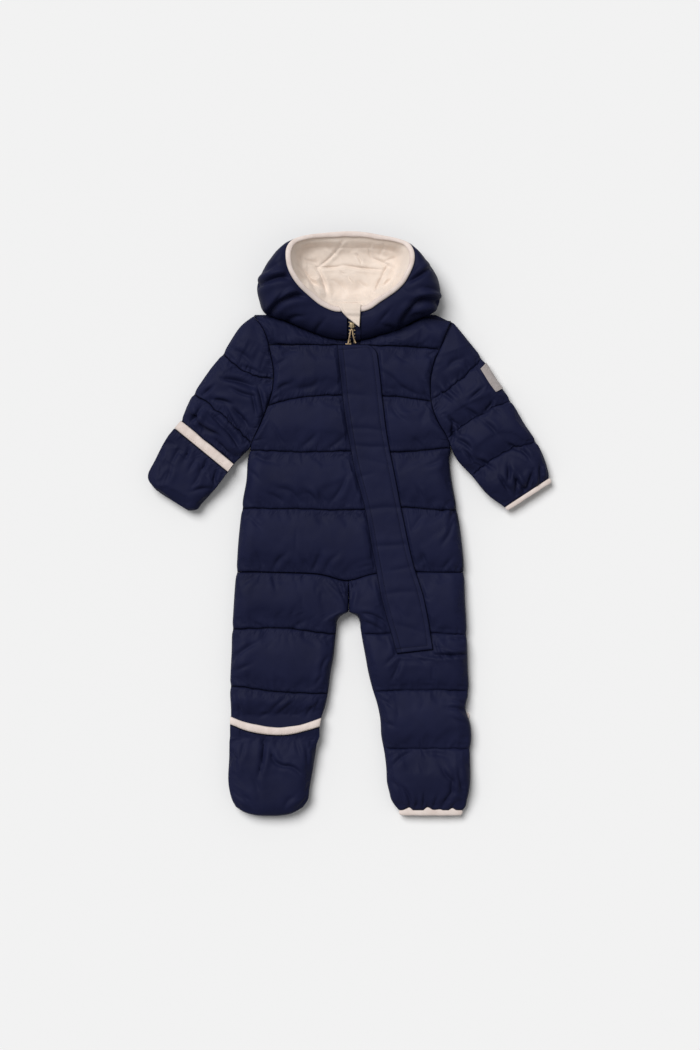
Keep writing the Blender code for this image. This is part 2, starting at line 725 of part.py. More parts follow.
def cut_below(obj, outline, height):
    """Clears the space under a layer, up to a height, inside an outline."""
    skin = Skin()
    low = skin.row([(x, y, -5) for x, y in outline])
    high = skin.row([(x, y, height) for x, y in outline])
    skin.strip(low, high, closed=True)
    skin.face(*low)
    skin.face(*high)
    subtract(obj, skin, obj.name + "_cutter")


def subtract(obj, skin, name):
    cutter = skin.finish(name, obj.data.materials[0])
    cutter.hide_render = True
    cutter.display_type = "WIRE"
    cut = obj.modifiers.new("cut", "BOOLEAN")
    cut.operation = "DIFFERENCE"
    cut.object = cutter
    cut.solver = "EXACT"


def cut_zip_slot(obj):
    """The slot for the zip's lower end."""
    y = np.linspace(-50, ZIP_SLOT[0][0], 14)
    right = [(float(slot_right(v)) - GAP, v) for v in y]
    left = [(float(slot_left(v)) + GAP, v) for v in y[::-1]]
    skin = Skin()
    low = skin.row([(*p, BACK_TOP - 2) for p in right + left])
    high = skin.row([(*p, 2 * LEG_CREST) for p in right + left])
    skin.strip(low, high, closed=True)
    skin.face(*low)
    skin.face(*high)
    subtract(obj, skin, "zip_slot_cutter")


def make_legs(material):
    right_levels = channel_levels(len(right_leg_lines) - 1)
    left_levels = channel_levels(len(left_leg_lines) - 1)
    padded_front("leg_front_right", leg_right, leg_right.height, right_levels, cosine(13), material)
    left = padded_front("leg_front_left", leg_left, pressed(leg_left), left_levels, LEFT_LEG_COLUMNS, material)
    cut_zip_slot(left)
    back_plate("leg_back_right", leg_outline(leg_right, RIGHT_LEG_LINES[-1][0]), material)
    left_back = back_plate("leg_back_left", leg_outline(leg_left, LEFT_LEG_LINES[-1][0]), material)
    cut_below(left_back, [(0, FOLDED_FOOT_Y + 1), (0, -400), (200, -400), (200, FOLDED_FOOT_Y + 1)],
              COVER_CLEARANCE)


# ---------------------------------------------------------------- sleeves


def sleeve_section(outer, inner, stitched, crest, share, edge, seam_rounding):
    """Cross-section of a folded sleeve as (distance in from the outer edge, height), once round."""
    width = float(np.linalg.norm(inner - outer))
    small = min(1.0, width / 45.0)
    distance = cosine(13)[1:] * width
    top = stitched + (crest - stitched) * puff(share) * small
    top = FOLD_HEIGHT + (top - FOLD_HEIGHT) * rise(distance / (SIDE_ROUNDING * small))
    top = edge + (top - edge) * rise((width - distance) / (seam_rounding * small))
    top = np.maximum(top, FRONT_BASE + 0.4)
    slit = min(SLIT_END, 0.3 * width)
    section = [(0.0, FOLD_HEIGHT), *zip(distance, top), (width, FRONT_BASE), (slit, FOLD_HEIGHT)]
    section.append((width, BACK_TOP))
    section += [(width - inset * small, height) for height, inset in BACK_ROUNDING]
    section += [(inset * small, height) for height, inset in BACK_ROUNDING[::-1]]
    return section


def sleeve_rows(table, levels):
    """Outer edge, inner edge, bow and stitch height at places along a sleeve."""
    values = smooth(range(len(table)), table, levels)
    return values[:, 0:2], values[:, 2:4], values[:, 4], values[:, 5]


def placed(outer, inner, bow, section):
    """World corners of a cross-section that runs from the outer edge to the inner edge."""
    width = np.linalg.norm(inner - outer)
    along = (inner - outer) / width
    to_hand = np.array((along[1], -along[0]))
    if to_hand[1] > 0:
        to_hand = -to_hand
    corners = []
    for distance, height in section:
        share = distance / width
        spot = outer + along * distance + to_hand * bow * 4 * share * (1 - share)
        corners.append((*spot, height))
    return corners


def make_sleeve(name, table, armhole, side, crest_of, material):
    """One sleeve, folded along its outer edge; its two layers are free at the cuff and the seam."""
    pairs = (len(table) - 1) / 2
    steps = (0.0, 0.12, 0.3, 0.5, 0.7, 0.88)
    levels = channel_levels(int(math.ceil(pairs)), steps) * 2
    levels = np.array([v for v in levels if v <= len(table) - 1])
    if levels[-1] < len(table) - 1:
        levels = np.append(levels, len(table) - 1)
    outers, inners, bows, stitched = sleeve_rows(table, levels)
    skin = Skin()
    rows = []
    for level, outer, inner, bow, stitch in zip(levels, outers, inners, bows, stitched):
        clear = float(armhole(inner[1])) + side * SEAM / 2
        inner[0] = max(inner[0], clear) if side > 0 else min(inner[0], clear)
        sewn = ease(inner[1], ARMHOLE_FOOT_Y - 14, ARMHOLE_FOOT_Y + 8)
        edge = SIDE_SEAM_HEIGHT + (JOINED_SEAM_HEIGHT - SIDE_SEAM_HEIGHT) * sewn
        rounding = SIDE_ROUNDING + (SEAM_ROUNDING - SIDE_ROUNDING) * sewn
        share = (level / 2) % 1
        section = sleeve_section(outer, inner, stitch, crest_of(level), share, edge, rounding)
        rows.append(skin.row(placed(outer, inner, bow, section)))
    skin.cloth(rows, closed=True)
    skin.face(*rows[0])
    skin.face(*rows[-1])
    return skin.finish(name, material)


def right_sleeve_crest(level):
    return SLEEVE_CREST + (COVERED_CREST - SLEEVE_CREST) * ease(level, 4.9, 5.9)


def left_sleeve_crest(level):
    return SLEEVE_CREST - 5.0 * ease(level, 6.5, 8.0)


def make_sleeves(material):
    make_sleeve("sleeve_right", SLEEVE_RIGHT, right_edge, -1, right_sleeve_crest, material)
    left = make_sleeve("sleeve_left", SLEEVE_LEFT, left_edge, 1, left_sleeve_crest, material)
    mouth = folded_mitten_outline(-1.0)
    cut_below(left, mouth, COVER_CLEARANCE)


def folded_mitten_outline(inset):
    """Outline of the left hand's cover, folded behind the sleeve from its cuff up."""
    levels = np.linspace(FOLDED_MITTEN_STATION, len(SLEEVE_LEFT) - 1, 7)
    outers, inners, _, _ = sleeve_rows(SLEEVE_LEFT, levels)
    along = inners - outers
    along /= np.linalg.norm(along, axis=1)[:, None]
    grow = CUTTER_REACH if inset < 0 else 0.0
    outer = outers + along * (inset - grow)
    inner = inners - along * (inset - grow)
    ahead = outers[-1] - outers[-2]
    ahead /= np.linalg.norm(ahead)
    far = [outer[-1] + ahead * grow, inner[-1] + ahead * grow] if grow else []
    start = -1.0 if grow else 0.0
    outer[0] += ahead * start
    inner[0] += ahead * start
    return [tuple(p) for p in [*outer, *far, *inner[::-1]]]


# ---------------------------------------------------------------- covers


def make_cover(name, grid, top, under, lip, material):
    """A fold-over pocket: a lip that lies on the limb, then a closed end that stands on the floor."""
    skin = Skin()
    upper = skin.rows(join(grid[..., 0], grid[..., 1], top))
    beneath = skin.rows(join(grid[: lip + 1, :, 0], grid[: lip + 1, :, 1], under))
    skin.cloth(upper)
    skin.cloth(beneath)
    skin.strip(upper[0], beneath[0])
    for j in (0, -1):
        skin.strip([row[j] for row in upper[: lip + 1]], [row[j] for row in beneath])
    path = [row[-1] for row in upper[lip:]]
    path += upper[-1][-2:0:-1]
    path += [row[0] for row in upper[lip:]][::-1]
    spots = np.array([skin.points[i][:2] for i in path])
    inward = inset_of(spots)
    room = room_inside(spots)
    room[[0, -1]] = 0.0
    room[[1, -2]] = np.minimum(room[[1, -2]], 3.0)
    above = path
    first, last = [], []
    for height, inset in BACK_ROUNDING:
        at = spots + inward * np.minimum(inset, room)[:, None]
        ring = skin.row(join(at[:, 0], at[:, 1], height))
        if above is path:
            skin.face(above[0], beneath[lip][-1], ring[0], ring[1], above[1])
            skin.face(above[-1], above[-2], ring[-2], ring[-1], beneath[lip][0])
            skin.strip(above[1:-1], ring[1:-1])
        else:
            skin.strip(above, ring)
        first.append(ring[0])
        last.append(ring[-1])
        above = ring
    floor = skin.row([(*skin.points[i][:2], 0.0) for i in beneath[lip][1:-1]])
    skin.face(beneath[lip][0], beneath[lip][1], floor[0], *last[::-1])
    skin.strip(beneath[lip][1:-1], floor)
    skin.face(beneath[lip][-2], beneath[lip][-1], *first, floor[-1])
    skin.face(*above, *floor)
    return skin.finish(name, material)


def foot_grid(levels, across):
    """x and y over the right foot's cover: level 0 is its mouth, 1 its end."""
    mouth, toe = curve(FOOT_MOUTH), curve(FOOT_TOE)
    outer, inner = curve(FOOT, 1), curve(FOOT, 2)
    grid = []
    for level in levels:
        x = np.zeros(len(across))
        for _ in range(12):
            y = mouth(x) * (1 - level) + toe(x) * level
            x = outer(y) * (1 - across) + inner(y) * across
        grid.append(np.stack([x, y], -1))
    return np.array(grid)


def mitten_grid(levels, across):
    values = smooth(range(len(MITTEN)), MITTEN, levels)
    return values[:, None, 0:2] * (1 - across)[:, None] + values[:, None, 2:4] * across[:, None]


def edge_distance(grid):
    """How far each corner of a grid lies from the grid's two sides and its last row."""
    to_left = np.linalg.norm(grid - grid[:, :1], axis=-1)
    to_right = np.linalg.norm(grid - grid[:, -1:], axis=-1)
    to_end = np.linalg.norm(grid - grid[-1:], axis=-1)
    return to_left, to_right, to_end


def cover_heights(grid, under, lip, crest):
    """Top of a cover: its own cloth over the limb, then a rounded pillow."""
    to_left, to_right, to_end = edge_distance(grid)
    edge = SIDE_SEAM_HEIGHT
    pillow = edge + (crest - edge) * rise(to_left / SIDE_ROUNDING) * rise(to_right / SIDE_ROUNDING)
    pillow = edge + (pillow - edge) * rise(to_end / SIDE_ROUNDING)
    top = pillow.copy()
    top[: lip + 1] = under + COVER_CLOTH
    for extra, share in ((1, 0.6), (2, 0.25)):
        top[lip + extra] = top[lip] * share + pillow[lip + extra] * (1 - share)
    return top


def make_foot_cover(navy, pale):
    across = np.array(COVER_COLUMNS)
    step_y = RIGHT_LEG_LINES[-1][0] - GAP
    grid = foot_grid(FOOT_LEVELS, across)
    step = np.stack([grid[0, :, 0], np.full(len(across), step_y)], -1)
    grid = np.concatenate([grid[:1], (grid[:1] + step) / 2, step[None], grid[1:]])
    lip = 2
    under = leg_right.height(grid[: lip + 1, :, 0], grid[: lip + 1, :, 1]) + COVER_GAP
    under = np.maximum(under, SIDE_SEAM_HEIGHT + COVER_GAP)
    make_cover("foot_cover_right", grid, cover_heights(grid, under, lip, FOOT_CREST), under, lip, navy)
    band = foot_grid(FOOT_BAND_LEVELS, across)
    base = leg_right.height(band[..., 0], band[..., 1]) + COVER_GAP
    proud = np.array((BINDING_EDGE, BINDING_PROUD, BINDING_PROUD))[:, None]
    slab("foot_binding_right", band, base, base + COVER_CLOTH + proud, pale)


def make_mitten_cover(navy, pale):
    across = np.array(COVER_COLUMNS)
    grid = mitten_grid(MITTEN_LEVELS, across)
    lip = 2
    outer, inner = (np.array(SLEEVE_RIGHT[-1][i : i + 2]) for i in (0, 2))
    along = (inner - outer) / np.linalg.norm(inner - outer)
    ahead = np.array((along[1], -along[0]))
    ahead = -ahead if ahead[1] > 0 else ahead
    off = (grid[lip] - outer) @ ahead - GAP
    grid[lip] -= off[:, None] * ahead
    under = np.full(grid[: lip + 1].shape[:2], COVERED_CREST + LIP_CLEARANCE)
    top = cover_heights(grid, under, lip, MITTEN_CREST)
    make_cover("mitten_cover_right", grid, top, under, lip, navy)
    band = mitten_grid(MITTEN_BAND_LEVELS, across)
    base = np.full(band.shape[:2], COVERED_CREST + LIP_CLEARANCE)
    proud = np.array((BINDING_EDGE, BINDING_PROUD, BINDING_PROUD))[:, None]
    slab("mitten_binding_right", band, base, base + COVER_CLOTH + proud, pale)


def flat_cover(name, outline, material):
    """A cover folded flat on the floor behind its limb."""
    outline = np.asarray(outline, float)
    inward = inset_of(outline)
    skin = Skin()
    ring = None
    for height, inset in ((FOLDED_COVER, 1.2), (FOLDED_COVER / 2, 0.0), (0.0, 1.2)):
        spots = outline + inward * inset
        below = skin.row(join(spots[:, 0], spots[:, 1], height))
        if ring is None:
            skin.face(*below)
        else:
            skin.strip(ring, below, closed=True)
        ring = below
    skin.face(*ring)
    return skin.finish(name, material)


def make_folded_covers(navy, pale):
    flat_cover("mitten_cover_left", folded_mitten_outline(3.0), navy)
    y = np.linspace(FOLDED_FOOT_Y - BINDING_WIDTH - GAP, LEFT_LEG_LINES[-1][0] + 1, 12)
    outer = [(float(left_leg_outer(v)) - 2.5, v) for v in y]
    inner = [(float(left_leg_inner(v)) + 2.5, v) for v in y[::-1]]
    flat_cover("foot_cover_left", outer + inner, navy)
    peek_x = float(left_leg_outer(FOLDED_FOOT_Y)) + PEEK
    hidden_x = float(left_leg_inner(FOLDED_FOOT_Y)) + 3
    band = [
        (hidden_x, FOLDED_FOOT_Y), (peek_x - 1.0, FOLDED_FOOT_Y),
        (peek_x, FOLDED_FOOT_Y - 2.0), (peek_x, FOLDED_FOOT_Y - BINDING_WIDTH),
        (hidden_x, FOLDED_FOOT_Y - BINDING_WIDTH),
    ]
    flat_cover("foot_binding_left", band, pale)


# ---------------------------------------------------------------- open ends


def make_ring(name, outer, inner, length, base, top, material):
    """A flattened cuff binding: a ring whose mouth is pressed to a slot."""
    outer, inner = np.array(outer, float), np.array(inner, float)
    width = np.linalg.norm(inner - outer)
    along = (inner - outer) / width
    ahead = np.array((along[1], -along[0]))
    ahead = -ahead if ahead[1] > 0 else ahead
    middle = (outer + inner) / 2
    mid_height, half_height = (base + top) / 2, (top - base) / 2
    turns = np.linspace(0, 2 * np.pi, 24, endpoint=False)

    def loop(half_width, half_tall, forward):
        across = half_width * np.sign(np.cos(turns)) * np.abs(np.cos(turns)) ** 0.8
        up = half_tall * np.sign(np.sin(turns)) * np.abs(np.sin(turns)) ** 0.5
        spots = middle + np.outer(across, along) + ahead * forward
        return join(spots[:, 0], spots[:, 1], mid_height + up)

    half = width / 2
    skin = Skin()
    rings = skin.rows([
        loop(half - RING_WALL, RING_MOUTH / 2, GAP),
        loop(half, half_height, GAP),
        loop(half, half_height, GAP + 0.55 * length),
        loop(half - 2.5, half_height - 1.5, GAP + length),
        loop(half - RING_WALL + 1, RING_MOUTH / 2 + 0.5, GAP + length),
    ])
    skin.cloth([*rings, rings[0]], closed=True)
    return skin.finish(name, material)


def make_rings(pale):
    cuff = SLEEVE_LEFT[-1]
    make_ring("cuff_binding_left", cuff[0:2], cuff[2:4], CUFF_RING, COVER_CLEARANCE, 15.0, pale)
    hem_y = LEFT_LEG_LINES[-1][0]
    outer = (float(left_leg_outer(hem_y)), hem_y)
    inner = (float(left_leg_inner(hem_y)), hem_y)
    make_ring("hem_binding_left", outer, inner, HEM_RING, COVER_CLEARANCE, 15.4, pale)


# ---------------------------------------------------------------- hood


def hood_section(at, sink=0.0):
    """Closed cross-section of the hood's shell: over the outside, under it, and up the inside."""
    rim, height, out, inward, reach = hood_station(at)
    wide = max(reach, 0.0)
    meets_body = (rim + out * reach)[1] < BACK_NECK_Y + 0.8
    belly = COLLAR_FOOT_HEIGHT + (BELLY_HEIGHT - COLLAR_FOOT_HEIGHT) * ease(
        (rim + out * reach)[1], 268, 285
    )

    def outer(distance, z):
        return (*(rim + out * distance), z)

    def inner(distance, z):
        return (*(rim + inward * distance), z)

    crest = height + CREST_LIFT * wide / 50
    points = [
        inner(RIM_INSET[1], height),
        inner(RIM_INSET[0], height),
        outer(0.28 * reach, crest - sink),
        outer(0.55 * reach, crest + (belly - crest) * 0.07 - sink),
        outer(0.77 * reach, crest + (belly - crest) * 0.26 - sink),
        outer(0.93 * reach, crest + (belly - crest) * 0.58 - sink),
        outer(reach, max(belly - sink, FRONT_BASE + 0.5)),
    ]
    if meets_body:
        corner = (rim[1] - BACK_NECK_Y - 0.8) / -out[1]
        points += [outer(reach, FRONT_BASE), outer(corner, FRONT_BASE), outer(corner, 0.0)]
    else:
        inset = 3 + 0.14 * wide
        tucked = FRONT_BASE + (4.5 - FRONT_BASE) * ease((rim + out * reach)[1], 276, 292)
        points += [
            outer(reach - 0.25 * inset, FRONT_BASE),
            outer(reach - 0.55 * inset, tucked),
            outer(reach - inset, 0.0),
        ]
    points += [inner(WALL_FOOT, 0.0), inner(WALL_FOOT, FLOOR_TOP), inner(8.5, 0.55 * height)]
    return points


def stations(start, end, trim=0.012):
    count = int(round((end - start) / HOOD_STEP))
    return np.linspace(start + trim, end - trim, count + 1)


def make_hood_wall(name, start, end, material, sink=0.0):
    skin = Skin()
    rows = skin.rows([hood_section(at, sink) for at in stations(start, end)])
    skin.cloth(rows, closed=True)
    skin.face(*rows[0])
    skin.face(*rows[-1])
    return skin.finish(name, material)


def hood_spot(at, distance):
    rim, _, _, inward, _ = hood_station(at)
    return rim + inward * distance


def make_hood_centre(material):
    """The hood's middle panel: its brim stands, and the rest lies on the floor."""
    skin = Skin()
    rows = []
    for at in stations(BRIM_START, BRIM_END):
        rim, height, _, inward, _ = hood_station(at)
        section = (
            (WALL_FOOT, 0.0), (WALL_FOOT, FLOOR_TOP), (8.5, 0.55 * height), (RIM_INSET[1], height),
            (RIM_INSET[0], height), (0.8, 0.5 * height), (1.6, 5.0), (3.6, 0.0),
        )
        rows.append(skin.row([(*(rim + inward * d), z) for d, z in section]))
    walls = [row[1:] for row in rows]
    skin.cloth(walls)
    skin.face(*rows[0])
    skin.face(*rows[-1])
    around = [*np.arange(BRIM_END + 0.4, ZIP_RIGHT, 0.4), *np.arange(0, BRIM_START - 0.2, 0.4)]
    spots = [hood_spot(at, WALL_FOOT + 0.5) for at in around]
    low = skin.row([(*p, 0.0) for p in spots])
    high = skin.row([(*p, FLOOR_TOP) for p in spots])
    skin.strip([rows[-1][0], *low, rows[0][0]], [rows[-1][1], *high, rows[0][1]])
    skin.face(*[row[1] for row in rows], *high)
    skin.face(*[row[-1] for row in rows], rows[-1][0], *low, rows[0][0])
    return skin.finish("hood_centre", material)


def lining_fold(x, y):
    """How far the slack lining stands up in soft ridges."""
    total = np.zeros(np.shape(x))
    for x0, y0, x1, y1, height, half in LINING_FOLDS:
        along = np.array((x1 - x0, y1 - y0), float)
        length = np.linalg.norm(along)
        along /= length
        run = np.clip((x - x0) * along[0] + (y - y0) * along[1], 0, length)
        off = np.hypot(x - x0 - along[0] * run, y - y0 - along[1] * run)
        total = total + height * np.exp(-((off / half) ** 2))
    return total


def make_lining(material):
    """The fleece bowl inside the hood, closed all round."""
    around = np.arange(0, ZIP_RIGHT, 0.5)
    shares = (0.2, 0.42, 0.64, 0.85)
    lip, wall, foot = [], [], []
    lip_in, wall_in, foot_in = [], [], []
    floors = [[] for _ in shares]
    for at in around:
        rim, height, _, inward, _ = hood_station(at)
        far = np.linalg.norm(BOWL - rim)

        def spot(distance, z):
            return (*(rim + inward * distance), z)

        lip.append(spot(RIM_INSET[1] + GAP, height - 0.2))
        wall.append(spot(8.5 + 0.4, 0.55 * height + 0.3))
        foot.append(spot(WALL_FOOT + 0.8, FLOOR_TOP + 0.5))
        lip_in.append(spot(RIM_INSET[1] + GAP + LINING, height - 0.2))
        wall_in.append(spot(11.2, 0.55 * height + 1.5))
        foot_in.append(spot(WALL_FOOT + 6, FLOOR_TOP + 4.5))
        for floor, share in zip(floors, shares):
            distance = WALL_FOOT + 6 + (far - WALL_FOOT - 6) * share
            x, y = rim + inward * distance
            base = FLOOR_TOP + GAP + LINING + 2.0 * (1 - share) ** 2
            floor.append((x, y, base + float(lining_fold(x, y))))
    skin = Skin()
    outside = skin.rows([foot, wall, lip])
    inside = skin.rows([lip_in, wall_in, foot_in, *floors])
    skin.cloth([*outside, *inside], closed=True)
    centre = skin.row([(*BOWL, FLOOR_TOP + GAP + LINING + float(lining_fold(*BOWL)))])[0]
    last = inside[-1]
    for i, corner in enumerate(last):
        skin.face(corner, last[(i + 1) % len(last)], centre)
    skin.face(*outside[0])
    return skin.finish("hood_lining", material)


def make_hood_binding(material):
    """The binding over the edge of the opening, from one side of the zip round to the other."""
    section = ((0.0, 1.2), (0.7, 3.0), (3.6, 3.9), (6.6, 3.0), (HOOD_BINDING_WIDTH, 1.2), (6.9, GAP), (0.4, GAP))
    skin = Skin()
    rows = []
    for at in np.linspace(0.5, ZIP_LEFT, 60):
        rim, height, _, inward, _ = hood_station(at)
        rows.append(skin.row([(*(rim + inward * d), height + z) for d, z in section]))
    skin.cloth(rows, closed=True)
    skin.face(*rows[0])
    skin.face(*rows[-1])
    return skin.finish("hood_binding", material)


def moved_out(path, off):
    """A path in (y, z) moved to its left by a distance, or by one distance for each column."""
    ahead = np.diff(path, axis=0)
    ahead /= np.linalg.norm(ahead, axis=1)[:, None]
    along = np.concatenate([ahead[:1], ahead[:-1] + ahead[1:], ahead[-1:]])
    along /= np.linalg.norm(along, axis=1)[:, None]
    corner = np.concatenate([ahead[:1], ahead])
    mitre = 1 / np.maximum((along * corner).sum(1), 0.6)
    normal = np.stack([-along[:, 1], along[:, 0]], 1) * mitre[:, None]
    return path[:, None] + normal[:, None] * np.atleast_1d(off)[:, None]


def collar_path(sink, off):
    """The collar's outside at the zip as (y, z), from its foot up, moved out by a distance."""
    section = np.array(hood_section((ZIP_LEFT + ZIP_RIGHT) / 2, sink)[1:7])[::-1, 1:]
    return moved_out(section, off)[:, 0]


def collar_top(y, sink=0.0, off=0.0):
    """Height of the collar's outside at the front, under the chin."""
    path = collar_path(sink, off)
    return np.interp(y, path[:, 0], path[:, 1])


def make_hood(navy, fleece, pale):
    make_hood_wall("hood_side_right", 0, BRIM_START, navy)
    make_hood_wall("hood_side_left", BRIM_END, ZIP_LEFT, navy)
    make_hood_centre(navy)
    make_hood_wall("zip_underlap", ZIP_LEFT, ZIP_RIGHT, navy, sink=ZIP_SINK)
    make_lining(fleece)
    make_hood_binding(pale)
    make_chin_guard(fleece)


def make_chin_guard(material):
    """The soft corner that covers the top of the zip."""
    right, left, tip = (np.array(p) for p in CHIN_GUARD)
    down = np.linspace(0, 0.94, 6)[:, None, None]
    over = np.linspace(0, 1, 5)[None, :, None]
    edge_right = right + (tip - right) * down
    edge_left = left + (tip - left) * down
    grid = edge_right * (1 - over) + edge_left * over
    base = collar_top(grid[..., 1]) + 0.9
    slab("chin_guard", grid, base, base + CHIN_GUARD_THICKNESS, material)


# ---------------------------------------------------------------- zip, placket and label


def make_zip(cloth, metal, cord):
    """The zip's tape with its chain, filling the slot between the fronts and crossing the collar."""
    low_y = np.linspace(ZIP_SLOT[0][0] + 1.5, 232, 24)
    up = collar_path(ZIP_SINK, ZIP_LIFT)[:-1]
    up[0] = (up[0, 0], FRONT_BASE + GAP)
    path = np.array([*((y, FRONT_BASE + GAP) for y in low_y), *up])
    y = path[:, 0]
    right, left = slot_right(y) + GAP, slot_left(y) - GAP
    middle = (right + left) / 2 - 3.6 * ease(y, 226, 240)
    foot, crown = CHAIN_HALF_WIDTH + 0.8, CHAIN_HALF_WIDTH
    x = np.stack([right, middle - foot, middle - crown, middle + crown, middle + foot, left], -1)
    thickness = ZIP_TAPE + np.array((0.0, 0.0, ZIP_CHAIN, ZIP_CHAIN, 0.0, 0.0))
    raised = moved_out(path, thickness)
    skin = Skin()
    lower = skin.rows(join(x, y[:, None], path[:, 1:]))
    upper = skin.rows(join(x, raised[..., 0], raised[..., 1]))
    skin.cloth(upper)
    skin.cloth(lower)
    skin.strip(rim_of(upper), rim_of(lower), closed=True)
    skin.finish("zip_tape", cloth)
    make_slider(metal, float(middle[-2]))
    make_puller(cord, float(middle[-2]))


def make_slider(metal, x):
    """The slider, narrower at its lower end, lying along the slope of the collar."""
    wide, long, thick = SLIDER
    skin = Skin()
    rings = []
    for share, scale in SLIDER_TAPER:
        half = wide / 2 * scale
        y = SLIDER_Y + share * long
        z = float(collar_top(y, ZIP_SINK, CHAIN_TOP + 0.7))
        rings.append(skin.row([
            (x - half, y, z), (x + half, y, z),
            (x + half, y, z + 0.6 * thick), (x + 0.6 * half, y, z + thick),
            (x - 0.6 * half, y, z + thick), (x - half, y, z + 0.6 * thick),
        ]))
    skin.cloth(rings, closed=True)
    skin.face(*rings[0])
    skin.face(*rings[-1])
    return skin.finish("zip_slider", metal)


def make_puller(material, x):
    """A short cord looped through the slider; its two ends hang down to the placket."""
    route = np.array([
        (x + across, y, puller_floor(y) + lift + PULLER_RADIUS) for across, y, lift in PULLER_ROUTE
    ])
    knots = np.concatenate([[0], np.cumsum(np.linalg.norm(np.diff(route, axis=0), axis=1))])
    fine = smooth(knots, route, np.linspace(0, knots[-1], PULLER_POINTS))
    path = bpy.data.curves.new("zip_puller", "CURVE")
    path.dimensions = "3D"
    path.bevel_depth = PULLER_RADIUS * MM
    path.bevel_resolution = 2
    path.use_fill_caps = True
    spline = path.splines.new("POLY")
    spline.points.add(len(fine) - 1)
    for point, spot in zip(spline.points, fine):
        point.co = (*(float(c) * MM for c in spot), 1)
    path.materials.append(material)
    puller = bpy.data.objects.new("zip_puller", path)
    bpy.context.collection.objects.link(puller)


def puller_floor(y):
    """Height of what the puller lies on: the zip's chain, then the edge of the body's front."""
    return max(float(collar_top(y, ZIP_SINK, CHAIN_TOP)), PLACKET_BED)


def make_placket(material):
    """The flap over the zip: it follows the front under it and has one rounded upper corner."""
    y = np.concatenate([
        np.linspace(PLACKET[0][0], PLACKET_TOP_Y - PLACKET_CORNER, 30),
        PLACKET_TOP_Y - PLACKET_CORNER * (1 - np.sin(np.linspace(0.2, np.pi / 2, 5))),
    ])
    across = np.array((0, 0.04, 0.26, 0.5, 0.74, 0.96, 1.0))
    above = np.clip((y - (PLACKET_TOP_Y - PLACKET_CORNER)) / PLACKET_CORNER, 0, 1)
    free = placket_free(y) - PLACKET_CORNER * (1 - np.sqrt(1 - np.minimum(above, 0.999) ** 2))
    x = placket_sewn(y)[:, None] * (1 - across) + free[:, None] * across
    slanted = y[:, None] + PLACKET_FOOT_SLANT * across * (1 - ease(y, y[0], y[0] + 60))[:, None]
    grid = np.stack([x, slanted], -1)
    base = np.maximum(front_height(grid[..., 0], grid[..., 1]), PLACKET_BED) + PLACKET_LIFT
    edge = np.minimum(across, 1 - across)
    top = base + PLACKET_THICKNESS - 1.3 * (edge < 0.01)
    slab("placket", grid, base, top, material)


def make_label(material):
    """The patch wrapped round the sleeve's outer edge."""
    levels = np.linspace(*LABEL_STATIONS, 7)
    outers, inners, bows, stitched = sleeve_rows(SLEEVE_LEFT, levels)
    rows_low, rows_high = [], []
    for level, outer, inner, bow, stitch in zip(levels, outers, inners, bows, stitched):
        section = sleeve_section(
            outer, inner, stitch, left_sleeve_crest(level), (level / 2) % 1, JOINED_SEAM_HEIGHT, SEAM_ROUNDING
        )
        top = [p for p in section[1:13]]
        path = [(d, float(np.interp(d, [0, *(p[0] for p in top)], [FOLD_HEIGHT, *(p[1] for p in top)])))
                for d in LABEL_PATH]
        path += [(inset, height) for height, inset in BACK_ROUNDING[:2]]
        path = np.array(path)
        along = np.gradient(path, axis=0)
        normal = np.stack([-along[:, 1], along[:, 0]], 1)
        normal /= np.linalg.norm(normal, axis=1)[:, None]
        normal *= np.where(normal[:1, 1] > 0, 1, -1)
        rows_low.append(placed(outer, inner, bow, path + normal * 0.7))
        rows_high.append(placed(outer, inner, bow, path + normal * (0.7 + LABEL_THICKNESS)))
    skin = Skin()
    low, high = skin.rows(rows_low), skin.rows(rows_high)
    skin.cloth(low)
    skin.cloth(high)
    skin.strip(rim_of(low), rim_of(high), closed=True)
    return skin.finish("sleeve_label", material)


# ---------------------------------------------------------------- materials and assembly


def paint(name, colour, roughness, metallic=0.0):
    material = bpy.data.materials.new(name)
    material.use_nodes = True
    shader = material.node_tree.nodes["Principled BSDF"]
    shader.inputs["Base Color"].default_value = (*colour, 1)
    shader.inputs["Roughness"].default_value = roughness
    shader.inputs["Metallic"].default_value = metallic
    return material


def main():
    for obj in list(bpy.data.objects):
        bpy.data.objects.remove(obj, do_unlink=True)
    navy = paint("navy shell", NAVY, 0.55)
    fleece = paint("fleece", CREAM, 0.95)
    pale = paint("binding", BINDING, 0.8)
    label = paint("label", GREY, 0.8)
    metal = paint("zip metal", GOLD, 0.35, 0.9)
    cord = paint("puller cord", TAN, 0.8)
    make_body(navy)
    make_legs(navy)
    make_sleeves(navy)
    make_foot_cover(navy, pale)
    make_mitten_cover(navy, pale)
    make_folded_covers(navy, pale)
    make_rings(pale)
    make_hood(navy, fleece, pale)
    make_zip(navy, metal, cord)
    make_placket(navy)
    make_label(label)


main()
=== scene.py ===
# %% [markdown]
# # A baby's snowsuit, quilted and laid flat
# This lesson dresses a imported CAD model. The model fixes every size and place, and each cell below
# turns one of its plain solids into cloth: puffed channels, seams, stitches, creases and finishes.
# Lengths are in millimetres, x runs to the wearer's left, y to the head and z up from the floor.

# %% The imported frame
import math

